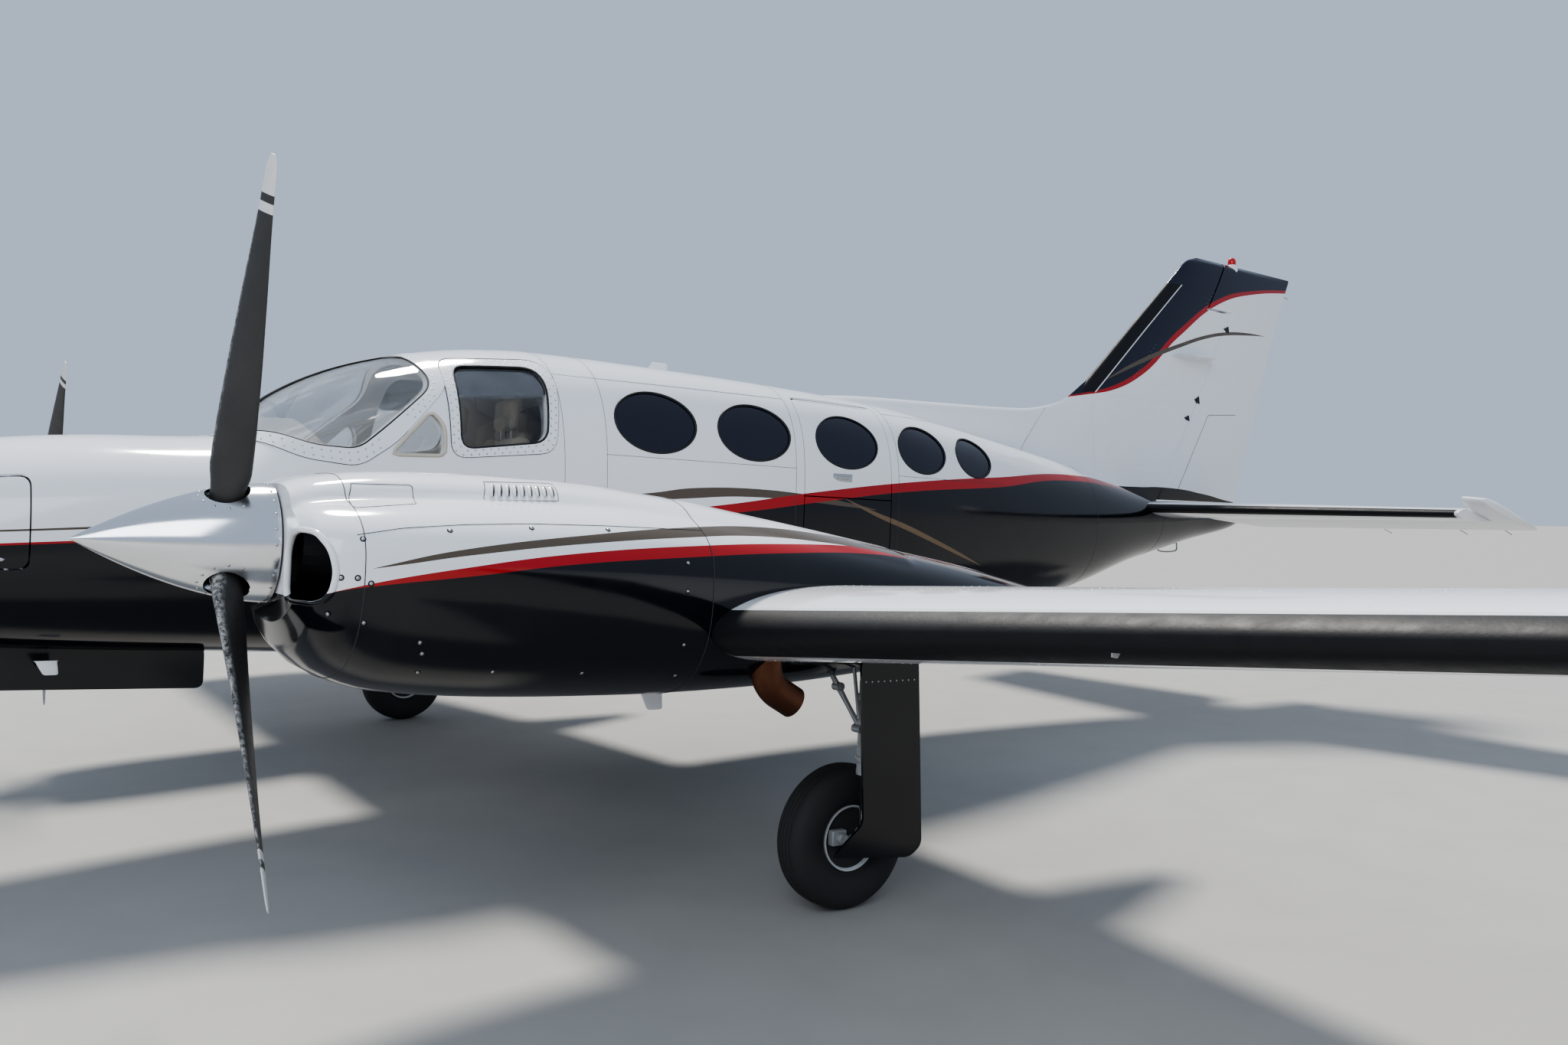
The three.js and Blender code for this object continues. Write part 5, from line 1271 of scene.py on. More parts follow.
def wing_solid(low=900, high=4300):
    stations = steps_between(low, high, 200)
    stations = [*stations, 2371] if low > 2371 else sorted({*stations, 2371.0})
    return foil_body(wing_form, stations, 6200, "cutter")


def intake_outline(sign, grow=0.0):
    return rounded(grown([(ENGINE_X + sign * a, b) for a, b in INTAKE], grow), 30, 6)


nacelle_rear = NACELLE["y"][-1]
nacelle = nacelle_between(FIREWALL, nacelle_rear, extra=[nacelle_rear - d for d in (4, 12, 28)])
nacelle = solve(nacelle, [wing_solid()])
finish_pair(nacelle, "nacelle_skin", "airframe", nacelle_paint, ["nacelle_{}"],
            [NACELLE_FORMS])
cowl = nacelle_between(COWL_FRONT, FIREWALL - 1.2, name="cowl",
                       extra=[COWL_FRONT + d for d in (1, 4, 9, 17, 27, 41)])
cowl_room = nacelle_between(150, FIREWALL + 20, COWL_FORMS[0], "cowl_room")
holes = [rod((ENGINE_X, 80, ENGINE_Z), (ENGINE_X, 220, ENGINE_Z), 70, sides=48)]
holes += [prism(intake_outline(sign), "y", 90, 240) for sign in (1, -1)]
cowl = solve(cowl, [cowl_room, *holes, wing_solid()])
line_with(cowl, COWL_FORMS[0], 1)
finish_pair(cowl, "cowl_skin", "airframe", [nacelle_paint, cowl_black_and_slot_shade], ["cowl_{}"],
            [NACELLE_FORMS, COWL_FORMS])
print("nacelle runs from", COWL_FRONT, "to", nacelle_rear)

# %% [markdown]
# The intake openings have rolled lips, painted as the cowl is: a thin tube bent round each outline, whose
# points are found on the skin by looking back from the front. The engine block shows darkly behind them.

# %% Intake lips
def tube_round(points, radius, squash, name="tube", sides=12):
    """A closed tube that follows an outline in space."""
    points = np.array(points, float)
    ahead = np.roll(points, -1, axis=0) - np.roll(points, 1, axis=0)
    ahead /= np.linalg.norm(ahead, axis=1)[:, None]
    up = np.array([0.0, 1.0, 0.0])
    side = np.cross(ahead, up)
    side /= np.linalg.norm(side, axis=1)[:, None]
    turn = np.arange(sides) * 2 * np.pi / sides
    verts = np.concatenate([p + radius * (np.cos(turn)[:, None] * s + squash * np.sin(turn)[:, None] * up)
                            for p, s in zip(points, side)])
    count = len(points)
    faces = [(i * sides + j, ((i + 1) % count) * sides + j, ((i + 1) % count) * sides + (j + 1) % sides,
              i * sides + (j + 1) % sides) for i in range(count) for j in range(sides)]
    return outward(raw(name, verts, faces))


def skin_front(x, z):
    """How far forward the cowl's skin lies at a place seen from the front."""
    near, far = 60.0, 1200.0
    for _ in range(34):
        y = (near + far) / 2
        inside = engine_form.level(np.array([[x, y, z]]))[0] < 0 and y > COWL_FRONT
        near, far = (near, y) if inside else (y, far)
    return max(near, COWL_FRONT)


lips = []
for sign in (1, -1):
    path = [(x, skin_front(x, z) + LIP * 0.7, z) for x, z in intake_outline(sign, 1)]
    lips.append(tube_round(path, LIP, 1.2))
finish_pair(gather("lips", lips), "intake_lip", "airframe", nacelle_paint)
print("intake lips reach back to", round(max(skin_front(x, z) for x, z in intake_outline(1, 2)), 1))

# %% [markdown]
# ## Propellers
# Three matte dark blades with white tips turn on each engine, both the same way round. A blade is a loft of
# thin rounded sections whose pitch falls from root to tip. Its bands are painted by distance from the shaft.
# The pointed spinner is spun from polished aluminium and cut away round each blade root.

# %% Blade paint
PROP_CENTRES = {"port": (ENGINE_X, 22.7), "starboard": (-ENGINE_X, 40.7)}
SPIN = dict(tip=-396.0, base=128.0, radius=180.0, hole=62.0)
BLADE = columns("r chord thick pitch", [
    [60, 92, 88, 46], [170, 104, 76, 45], [235, 138, 52, 42], [350, 142, 40, 37], [500, 138, 31, 31],
    [740, 112, 20, 25], [1000, 68, 11, 19.5], [1115, 50, 8, 18], [1143, 20, 5, 17],
])


def blade_finish():
    """Matte black with a white tip, a thin white ring inboard of it, and wear from grit along the blade."""
    material, tree, shader = new_material("blade_paint")
    reach, edge = (wire(tree, "ShaderNodeAttribute", attribute_name=name).outputs["Fac"]
                   for name in ("reach", "edge"))
    place = object_place(tree)
    dark = blend_colour(tree, noise(tree, place, 9.0, 6.0, 0.7), (0.020, 0.019, 0.019), (0.048, 0.046, 0.044))
    grit = noise(tree, place, 60.0, 6.0, 0.75)
    worn = maths(tree, "MULTIPLY", spread(tree, edge, 0.86, 1.0), spread(tree, grit, 0.42, 0.62))
    colour = blend_colour(tree, worn, dark, (0.46, 0.46, 0.45))
    tip = maths(tree, "GREATER_THAN", reach, 1.035)
    ring = band(tree, reach, 0.985, 1.012)
    white = blend_colour(tree, grit, (0.74, 0.74, 0.72), (0.60, 0.60, 0.58))
    colour = blend_colour(tree, maths(tree, "MAXIMUM", tip, ring), colour, white)
    feed(tree, shader, Base_Color=colour, Roughness=spread(tree, grit, 0.3, 0.8, 0.42, 0.6))
    bump(tree, shader, grit, 0.0004, 0.5)
    return material


blade_paint = blade_finish()

# %% Blades and spinners
BLADE_COUNT, BLADE_SIDES = 3, 36
BLADE_TIPS = [1112, 1122, 1130, 1136, 1140, 1142.5]


def blade_at(phase):
    """One blade. Attributes tell how far out each point is, in metres, and how near its leading edge."""
    radii = np.concatenate([np.linspace(60, 235, 9), np.linspace(260, 1100, 29), BLADE_TIPS])
    turn = np.arange(BLADE_SIDES) * 2 * np.pi / BLADE_SIDES
    phase = math.radians(phase)
    rings, reach, edge = [], [], []
    for r in radii:
        chord, thick, pitch = (float(fair(BLADE, k, r, key="r")) for k in ("chord", "thick", "pitch"))
        angle = math.radians(pitch)
        along, across = chord / 2 * np.cos(turn), thick / 2 * np.sin(turn)
        x = -along * math.cos(angle) + across * math.sin(angle)
        y = -along * math.sin(angle) - across * math.cos(angle)
        rings.append(np.stack([x * math.cos(phase) + r * math.sin(phase), y,
                               -x * math.sin(phase) + r * math.cos(phase)], axis=1))
        reach += [r * MM] * BLADE_SIDES
        edge += (0.5 + 0.5 * np.cos(turn)).tolist()
    blade = loft("blade", rings)
    for name, values in (("reach", reach + [0.06, 1.143]), ("edge", edge + [0, 0])):
        blade.data.attributes.new(name, "FLOAT", "POINT").data.foreach_set("value", values)
    return blade


def spinner_radius(y):
    t = min(1.0, (y - SPIN["tip"]) / (SPIN["base"] - SPIN["tip"]))
    return SPIN["radius"] * (1 - (1 - t) ** 1.75)


def blade_phases(phase):
    return [phase + k * 360 / BLADE_COUNT for k in range(BLADE_COUNT)]


def spinner_piece(phase):
    places = SPIN["tip"] + np.linspace(0, 1, 40) ** 1.3 * (SPIN["base"] - SPIN["tip"])
    outer = [(spinner_radius(y), y) for y in places]
    inner = [(max(0.0, spinner_radius(y) - 7), y + 3) for y in np.linspace(SPIN["base"], -380, 24)]
    dome = turned(outer + inner, "y", (0, 0, 0), 96)
    cutters = [rod((0, 0, 0), (300 * math.sin(t), 0, 300 * math.cos(t)), SPIN["hole"], sides=48)
               for t in np.radians(blade_phases(phase))]
    return solve(dome, cutters)


HUB = [(0, -150), (60, -150), (78, -110), (78, 106), (160, 106), (160, 117), (48, 117), (48, 204.5),
       (0, 204.5)]
for side, (x, phase) in PROP_CENTRES.items():
    hub = turned(HUB, "y", (0, 0, 0), 64)
    propeller = gather("propeller", [blade_at(turn) for turn in blade_phases(phase)] + [hub])
    spinner = spinner_piece(phase)
    for piece in (propeller, spinner):
        piece.data.transform(Matrix.Translation((x, 0, ENGINE_Z)))
        shade(piece)
    finish_piece(propeller, f"propeller_blades_{side}", f"propeller_{side}", blade_paint,
                 [f"propeller_{side}"])
    finish_piece(spinner, f"spinner_dome_{side}", f"propeller_{side}", polished,
                 [f"spinner_{side}"])

# %% [markdown]
# ## Tail surfaces
# The stabilizer runs through the tail cone in one piece. Behind it hang the two halves of the elevator, on
# one tube, with horns that reach round the stabilizer's tips and carry their balance weights. With the
# controls unlocked they droop, so the elevator is drawn level and then turned down about its hinge.

# %% Stabilizer and elevator
ELEVATOR = dict(y=7620, z=1720, inner=250, tip=2440, droop=13, tube=22)
STAB_SLICE = (1500, 1900)
STAB_TIPS = [2500, 2540, 2560, 2570, 2578, 2584, 2588, 2589.6]
STAB_SPANS = steps_between(0, 2440, 140) + STAB_TIPS


def tail_half_thickness(span):
    lead, chord, _, _ = (float(v) for v in stabilizer_form.rib(span))
    return hinge_point(stabilizer_form, span, (ELEVATOR["y"] - lead) / chord)[1]


def elevator_nose(low, high, grow):
    return rod((low, ELEVATOR["y"], ELEVATOR["z"]), (high, ELEVATOR["y"], ELEVATOR["z"]),
               tail_half_thickness(low) + grow, tail_half_thickness(high) + grow, 40)


def half_stabilizer(name):
    return foil_body(stabilizer_form, STAB_SPANS, 2560, name, 40)


hinge_y, tip_x = ELEVATOR["y"], ELEVATOR["tip"]
stabilizer = half_stabilizer("stabilizer")
stabilizer = solve(stabilizer, [slab(-50, 2700, hinge_y, 8400, *STAB_SLICE),
                                slab(tip_x - 4, 2700, 7000, 8400, *STAB_SLICE),
                                elevator_nose(-20, tip_x + 4, RUN)])
twin = mirrored(stabilizer, "twin")
stabilizer = shade(gather("stabilizer", [stabilizer, twin]), stabilizer_form)
finish_piece(darken_below(stabilizer), "stabilizer_skin", "airframe", WHITE_UP_BLACK_DOWN,
             ["stabilizer"])

reach_plan = [(ELEVATOR["inner"], hinge_y), (tip_x + 4, hinge_y), (tip_x + 4, 7000), (2700, 7000),
              (2700, 8300), (640, 8300), (520, 8080)]
elevator = solve(half_stabilizer("elevator"), [prism(reach_plan, "z", *STAB_SLICE)], "INTERSECT")
elevator = solve(elevator, [elevator_nose(ELEVATOR["inner"], tip_x - 5, 0)], "UNION")
tube = rod((-5, hinge_y, ELEVATOR["z"]), (tip_x + 30, hinge_y, ELEVATOR["z"]), ELEVATOR["tube"], sides=24)
half = darken_below(solve(elevator, [tube], "UNION"))
shade(half, stabilizer_form)
twin = mirrored(half, "twin")
shade(twin, stabilizer_form)
to_hinge = Matrix.Translation((0, hinge_y, ELEVATOR["z"]))
DROOPED = to_hinge @ Matrix.Rotation(-math.radians(ELEVATOR["droop"]), 4, "X") @ to_hinge.inverted()
for piece, side in ((half, "port"), (twin, "starboard")):
    piece.data.transform(DROOPED)
    finish_piece(piece, f"elevator_skin_{side}", "elevator", WHITE_UP_BLACK_DOWN, ["elevator"])
tail_boot = edge_strip("boot", stabilizer_form, steps_between(300, 2410, 160), 40, 46, 1.2, count=10)
finish_pair(tail_boot, "stabilizer_boot", "airframe", boot_rubber)
print("elevator droops", ELEVATOR["droop"], "degrees on its stop")

# %% [markdown]
# The swept fin grows out of a long dorsal fillet, and the two are joined to one skin. The rudder's horn
# overlaps the fin's tip. Boot, stripes and navy top are one paint, drawn through both of them.

# %% Fin and rudder
RUDDER = dict(foot=(7290, 1780), slope=0.553, step=3355, horn=(7840, 8160), gap=(9, 7, 20), bottom=1800)
FIN_TIPS = [3650, 3700, 3725, 3740, 3750, 3758, 3764, 3769, 3772, 3774]
FIN_SPANS = (steps_between(1705, 2570, 96) + steps_between(2570, 3100, 88)[1:]
             + steps_between(3100, 3600, 83)[1:] + FIN_TIPS)
ABOVE = 3900


def rudder_axis(z):
    foot_y, foot_z = RUDDER["foot"]
    return (0, foot_y + RUDDER["slope"] * (z - foot_z), z)


def rudder_nose(low, high, grow):
    thick = []
    for z in (low, high):
        lead, chord, _, share = (float(v) for v in fin_form.rib(max(z, 1700)))
        thick.append(float(fin_form.half((rudder_axis(z)[1] - lead) / chord, share, chord)))
    return rod(rudder_axis(low), rudder_axis(high), thick[0] + grow, thick[1] + grow, 40)


def horn_line(z, shift):
    low, high = RUDDER["horn"]
    return (low + (high - low) * (z - RUDDER["step"]) / (ABOVE - RUDDER["step"]) + shift, z)


ahead, behind, below = RUDDER["gap"]
step = RUDDER["step"]
behind_fin = [rudder_axis(1600)[1:], rudder_axis(step)[1:], horn_line(step, -ahead), horn_line(ABOVE, -ahead),
              (9300, ABOVE), (9300, 1600)]
rudder_side = [rudder_axis(RUDDER["bottom"])[1:], rudder_axis(step + below)[1:],
               horn_line(step + below, behind), horn_line(ABOVE, behind), (9300, ABOVE),
               (9300, RUDDER["bottom"] + 34)]
dorsal_form = Body(DORSAL)
fin = foil_body(fin_form, FIN_SPANS, 3725, "fin", 40)
dorsal = loft("dorsal", [dorsal_form.ring(y, 48) for y in steps_between(3870, 6500, 55)])
fin = solve(fin, [dorsal], "UNION")
fin = solve(fin, [prism(behind_fin, "x", -300, 300), rudder_nose(1600, step + 1, RUN),
                  hull_between(3700, FUSELAGE["y"][-1])[0]])
shade(fin, fin_form, dorsal_form)
finish_piece(fin, "fin_skin", "airframe", fin_paint, ["fin"])
rudder = solve(foil_body(fin_form, FIN_SPANS, 3725, "rudder", 40),
               [prism(rudder_side, "x", -300, 300)], "INTERSECT")
nose_of_rudder = solve(rudder_nose(1770, step + 10, 0),
                       [slab(-300, 300, 7000, 9300, 1500, RUDDER["bottom"] + 8)])
rudder = solve(rudder, [nose_of_rudder], "UNION")
pin = rod(rudder_axis(1830), rudder_axis(1796), 10, sides=16)
shade(rudder, fin_form)
finish_piece(gather("rudder", [rudder, pin]), "rudder_skin", "rudder", fin_paint, ["rudder"])
print("fin and rudder triangles", made_pieces["fin_skin"], made_pieces["rudder_skin"])

# %% Beacon and fin boot
BEACON_AT = (0, 8235, 3755)
BEACON_BASE = [(0, -30), (48, -30), (48, 14), (44, 19), (37, 22), (34, 26), (34, 32), (0, 32)]
BEACON_LENS = [(0, 31), (31, 31), (33, 36), (33, 60), (30, 74), (22, 86), (10, 91.5), (0, 92)]
base, lens = (turned(profile, "z", BEACON_AT, 48) for profile in (BEACON_BASE, BEACON_LENS))
finish_piece(shade(base), "beacon_base", "rudder", white_gloss)
finish_piece(shade(lens), "beacon_lens", "rudder", lamp_red)
FIN_BOOT_SPANS = steps_between(2570, 3100, 88) + steps_between(3100, 3517, 83)[1:]
fin_boot = edge_strip("boot", fin_form, FIN_BOOT_SPANS, 118, 118, 1.3, count=12)
finish_piece(shade(fin_boot), "fin_boot", "airframe", boot_rubber)
fin_edges = [skin_strip("strip", fin_form, FIN_BOOT_SPANS, 120, 11, side) for side in (1, -1)]
finish_piece(gather("edges", fin_edges), "fin_boot_edge", "airframe", trim_paint)
print("beacon top", BEACON_AT[2] + BEACON_LENS[-1][1])

# %% [markdown]
# ## Main gear
# An oleo strut stands outboard of each wheel, with a bright piston under a grey barrel, torque links behind,
# a folding brace to the wing and a black door bolted to its outside. The wheel has a machined rim, a brake
# disc and a caliper. Turned profiles make the round parts and rounded blocks the forged ones.

# %% Struts, links and doors
LEG = dict(x=2668, y=2272, wheel_z=279.5, door_x=2728)
BARREL = [(0, 1090), (40, 1090), (40, 900), (42, 896), (42, 566), (44, 560), (44, 542), (38, 540), (0, 540)]
COLLAR = [(0, -12), (46, -12), (48, -8), (48, 8), (46, 12), (0, 12)]
FOOT = [(0, 336), (33, 336), (38, 328), (40, 300), (40, 262), (34, 246), (0, 244)]
MAIN_AXLE = [(0, -150), (24, -150), (24, -60), (40, -56), (42, -20), (42, 30), (30, 36), (30, 48), (0, 48)]
ARMS = [((-14, 40, 578), (-8, 118, 470), 18, 9), ((14, 40, 578), (8, 118, 470), 18, 9),
        ((0, 118, 468), (0, 36, 330), 22, 9), ((-14, -28, 712), (-78, -96, 872), 13, 9),
        ((-78, -96, 872), (-128, -156, 1010), 13, 9), ((-14, -34, 722), (-40, -62, 1010), 9, 7)]
EYES = [((0, 118, 469), 15, 26), ((0, 40, 576), 14, 30), ((0, 38, 330), 14, 26), ((-78, -96, 872), 17, 20),
        ((-16, -40, 716), 16, 24)]
LEG_DOOR = [(2165, 985), (2450, 985), (2500, 262), (2440, 222), (2060, 262), (2205, 372)]
strut_paint = brushed("strut_paint", (0.42, 0.43, 0.44), 0.35, 0.55, 30.0, metallic=0.35, ripple=0.0004)


def eye(centre, radius, half):
    """A forged lug across the aircraft, with a bolt head at each end."""
    side = [(0, half + 5), (radius * 0.45, half + 5), (radius * 0.5, half), (radius, half)]
    return turned([(r, -d) for r, d in side] + side[::-1], "x", centre, 24)


def link(start, end, wide, thick):
    """A forged arm between two places, waisted in the middle."""
    start, end = Vector(start), Vector(end)
    way = (end - start).normalized()
    side = Vector((1, 0, 0))
    out = way.cross(side).normalized()
    rings = []
    for t in np.linspace(0, 1, 9):
        half = wide * (1 - 0.35 * math.sin(math.pi * t))
        middle = start.lerp(end, t)
        corners = rounded([(-half, -thick), (half, -thick), (half, thick), (-half, thick)], 6, 4)
        rings.append(np.array([middle + float(a) * side + float(b) * out for a, b in corners]))
    return loft("link", rings)


leg_x, leg_y = LEG["x"], LEG["y"]


def by_leg(x, y, z):
    return (leg_x + x, leg_y + y, z)


barrel = turned(BARREL, "z", by_leg(0, 0, 0), 48)
collars = [turned(COLLAR, "z", by_leg(0, 0, z), 48) for z in (600, 742, 836)]
piston = turned([(0, 545), (27, 545), (27, 330), (0, 330)], "z", by_leg(0, 0, 0), 48)
foot = turned(FOOT, "z", by_leg(0, 0, 0), 40)
axle = turned(MAIN_AXLE, "x", by_leg(0, 0, LEG["wheel_z"]), 40)
arms = [link(by_leg(*start), by_leg(*end), wide, thick) for start, end, wide, thick in ARMS]
eyes = [eye(by_leg(*centre), radius, half) for centre, radius, half in EYES]
brackets = [box_round(leg_x + 30, LEG["door_x"] - 0.3, leg_y - 22, leg_y + 22, 780, 830, 4),
            box_round(leg_x + 30, LEG["door_x"] - 0.3, leg_y - 18, leg_y + 18, 400, 440, 4)]
leg = gather("leg", [barrel, *collars, foot, *arms, *eyes, *brackets])
finish_pair(leg, "main_strut", "airframe", strut_paint, ["main_leg_{}"])
finish_pair(gather("piston", [piston, axle]), "main_piston", "airframe", chrome)
door = prism(rounded(LEG_DOOR, 30), "x", LEG["door_x"], LEG["door_x"] + 11, "leg_door")
door = solve(door, [wing_solid(2400, 3100)])
finish_pair(door, "leg_door_panel", "airframe", black_gloss, ["leg_door_{}"])
DOOR_RIVETS = [(LEG["door_x"] + 11, y, 905) for y in steps_between(2190, 2430, 30)]
print("main strut reaches from 244 to 1090 mm")

# %% [markdown]
# ## Wheels
# A tyre is a turned section, fuller than the CAD's, with circumferential tread grooves and a small bead rib.
# Rim, hub, brake disc and caliper are turned or bevelled pieces. Round pockets between its webs lighten a rim.

# %% Tyres and rims
MAIN_WHEEL = dict(x=2527, y=2272, z=279.5, radius=279.5, width=165, rim=127)
nose_centre = PARKED.inverted() @ Vector(joints["nose_wheel_spin"]["pos_m"])
NOSE_WHEEL = dict(x=0, y=nose_centre.y, z=nose_centre.z, radius=222.5, width=150, rim=76)
TYRE_SIDE = [(0, 0.60), (0.03, 0.68), (0.08, 0.72), (0.1, 0.78), (0.2, 0.9), (0.34, 0.975), (0.46, 0.995),
             (0.58, 0.99), (0.7, 0.955), (0.8, 0.895), (0.88, 0.80), (0.93, 0.70), (0.965, 0.60)]


def tyre_piece(wheel):
    """A tyre's outer skin with four tread grooves, closed at the bead."""
    seat, radius, half = wheel["rim"] + 0.5, wheel["radius"] - 0.6, wheel["width"] / 2
    rows = [(seat + up * (radius - seat), out * half) for up, out in TYRE_SIDE]
    crown = []
    for d in np.linspace(0.52, 0, 27):
        groove = any(abs(d - g) < 0.022 for g in (0.13, 0.38))
        crown.append((radius - 4.5 * (d / 0.6) ** 2 - (4.0 if groove else 0), d * half))
    rows += crown
    rows += [(r, -d) for r, d in rows[::-1][1:]]
    return turned(rows, "x", (wheel["x"], wheel["y"], wheel["z"]), 128, "tyre")


def rim_piece(wheel, bore, webs):
    """A rim with its flange, a dished disc, a hub, and round pockets between its webs."""
    seat, half = wheel["rim"], wheel["width"] / 2
    inner = [(bore, -0.62), (bore + 14, -0.62), (bore + 22, -0.5), (bore + 26, -0.22), (seat - 26, -0.18),
             (seat - 16, -0.34), (seat - 10, -0.66), (seat - 4, -0.735), (seat, -0.735)]
    outer = [(seat, 0.735), (seat - 4, 0.735), (seat - 10, 0.66), (seat - 16, 0.30), (seat - 26, 0.12),
             (bore + 26, 0.16), (bore + 20, 0.34), (bore + 12, 0.40), (bore, 0.40)]
    profile = [(radius, share * half) for radius, share in inner + outer]
    disc = turned(profile, "x", (wheel["x"], wheel["y"], wheel["z"]), 96, "rim")
    middle = (bore + seat) / 2 + 3
    hole = (seat - bore) * 0.17
    cutters = []
    for k in range(webs):
        t = k * 2 * math.pi / webs
        y, z = wheel["y"] + middle * math.cos(t), wheel["z"] + middle * math.sin(t)
        cutters.append(rod((wheel["x"] - half, y, z), (wheel["x"] + half, y, z), hole, sides=24))
    return solve(disc, [gather("holes", cutters)])


rim_paint = plain_gloss("rim_paint", (0.62, 0.63, 0.64), 0.4)
brake_metal = brushed("brake_metal", (0.55, 0.55, 0.56), 0.28, 0.5, 40.0, 900.0)
finish_pair(tyre_piece(MAIN_WHEEL), "main_tyre_rubber", "main_wheel_{}", tyre_rubber,
            ["main_tyre_{}"])
main_rim = rim_piece(MAIN_WHEEL, 24.9, 9)
finish_pair(main_rim, "main_rim_disc", "main_wheel_{}", rim_paint, ["main_rim_{}"])
wheel_at = (MAIN_WHEEL["x"], MAIN_WHEEL["y"], MAIN_WHEEL["z"])
disc = turned([(62, 34), (96, 34), (98, 36), (98, 44), (96, 46), (62, 46)], "x", wheel_at, 96)
finish_pair(disc, "brake_disc", "main_wheel_{}", brake_metal)
caliper_x = MAIN_WHEEL["x"]
caliper = [box_round(caliper_x + 47.5, caliper_x + 82, leg_y - 108, leg_y - 38, 262, 322, 7),
           turned([(0, 0), (20, 0), (22, 4), (22, 20), (18, 26), (0, 26)], "x",
                 (caliper_x + 78, leg_y - 70, 292), 32),
           box_round(caliper_x + 60, caliper_x + 82, leg_y - 60, leg_y - 30, 268, 300, 5)]
finish_pair(gather("caliper", caliper), "brake_caliper", "airframe", strut_paint)
RIM_BOLTS = dict(count=9, radius=105)
BOLT = [(0, 12), (6, 12), (6, 30), (4.8, 32), (0, 32)]
bolts = []
for k in range(RIM_BOLTS["count"]):
    turn = (k + 0.5) * 2 * math.pi / RIM_BOLTS["count"]
    y, z = RIM_BOLTS["radius"] * math.cos(turn), RIM_BOLTS["radius"] * math.sin(turn)
    bolts.append(turned(BOLT, "x", (caliper_x, leg_y + y, LEG["wheel_z"] + z), 12))
finish_pair(gather("bolts", bolts), "main_rim_bolts", "main_wheel_{}", steel)
finish_piece(shade(tyre_piece(NOSE_WHEEL)), "nose_tyre_rubber", "nose_wheel", tyre_rubber,
             ["nose_tyre"])
finish_piece(shade(rim_piece(NOSE_WHEEL, 14.7, 6)), "nose_rim_disc", "nose_wheel", rim_paint,
             ["nose_rim"])
print("wheels", [n for n in made_pieces if "rim" in n or "tyre" in n])

# %% [markdown]
# ## Nose gear
# The nose strut hangs in a well with two long black doors. Its lower half steers: a fork of two arms holds
# the wheel, and the strut's bright piston shows above the crown.

# %% Nose strut, fork and doors
FORK_TRAIL = 34
TRUNNION = [(0, -194), (18, -194), (22, -180), (22, -60), (30, -50), (30, 50), (22, 60), (22, 180), (18, 194),
            (0, 194)]
NOSE_DOOR = [(-700, 870), (405, 830), (405, 640), (-700, 672)]
steer_y = NOSE_WHEEL["y"] - FORK_TRAIL
arm_x = NOSE_WHEEL["width"] / 2 + 10
crown_z = NOSE_WHEEL["z"] + NOSE_WHEEL["radius"] + 22
well_top = WHEEL_WELL["top"]
nose_barrel = turned([(0, well_top - 1), (36, well_top - 1), (40, well_top - 30), (40, 700), (44, 694),
                      (44, 660), (40, 655), (40, 640.2), (0, 640.2)], "z", (0, steer_y, 0), 48)
drag_brace = link((0, steer_y + 10, 792), (0, steer_y + 320, well_top - 22), 16, 14)
trunnion = turned(TRUNNION, "x", (0, steer_y, well_top - 68), 32)
nose_leg = gather("nose_leg", [nose_barrel, drag_brace, trunnion])
finish_piece(shade(nose_leg), "nose_strut", "airframe", strut_paint, ["nose_leg"])
crown = box_round(-arm_x - 18, arm_x + 18, steer_y - 30, steer_y + 34, crown_z, crown_z + 36, 9)
wheel_y, wheel_z = NOSE_WHEEL["y"], NOSE_WHEEL["z"]
arm_section = rounded([(-9, -1), (9, -1), (9, 1), (-9, 1)], 3, 3)
arm_stations = [(steer_y + 4, crown_z + 20, 29), (steer_y + 5, crown_z - 30, 27),
                ((steer_y + wheel_y) / 2, (crown_z + wheel_z) / 2, 21), (wheel_y - 2, wheel_z + 24, 20),
                (wheel_y, wheel_z - 18, 15)]
arms = []
for x in (-arm_x - 9, arm_x + 9):
    arms.append(loft("arm", [np.array([(x + a, y + b * wide, z) for a, b in arm_section])
                             for y, z, wide in arm_stations]))
axle_end = [(14, arm_x + 18), (22, arm_x + 18), (22, arm_x + 20), (13, arm_x + 30), (0, arm_x + 30)]
axle = turned([(r, -d) for r, d in axle_end[::-1]] + axle_end, "x", (0, wheel_y, wheel_z), 32)
scissor = [link((0, steer_y - 26, crown_z + 30), (0, steer_y - 96, 596), 16, 8),
           eye((0, steer_y - 96, 600), 13, 18)]
fork = gather("fork", [crown, *arms, axle, *scissor])
fork_piston = turned([(0, 639.6), (27, 639.6), (27, crown_z + 10), (0, crown_z + 10)], "z",
                     (0, steer_y, 0), 40)
finish_piece(shade(fork), "nose_fork_arms", "nose_fork", strut_paint, ["nose_fork"])
finish_piece(shade(fork_piston), "nose_piston", "nose_fork", chrome)
nose_door = prism(rounded(NOSE_DOOR, 40), "x", 185, 195, "nose_door")
nose_door = solve(nose_door, [hull_between(-1000, 600)[0]])
finish_pair(nose_door, "nose_gear_door_panel", "airframe", black_gloss, ["nose_gear_door_{}"])
print("nose wheel at", [round(v) for v in nose_centre])

# %% [markdown]
# ## Exhausts
# A turbocharger outlet leaves the underside of each nacelle and turns aft. Heat has turned the steel a
# copper brown. The pipe is a swept ring with a real wall, so its end is open.

# %% Exhaust pipes
PIPE_BEND = dict(x=2704, start=(1752, 985), radius=125, turn=62, down=90, aft=70)


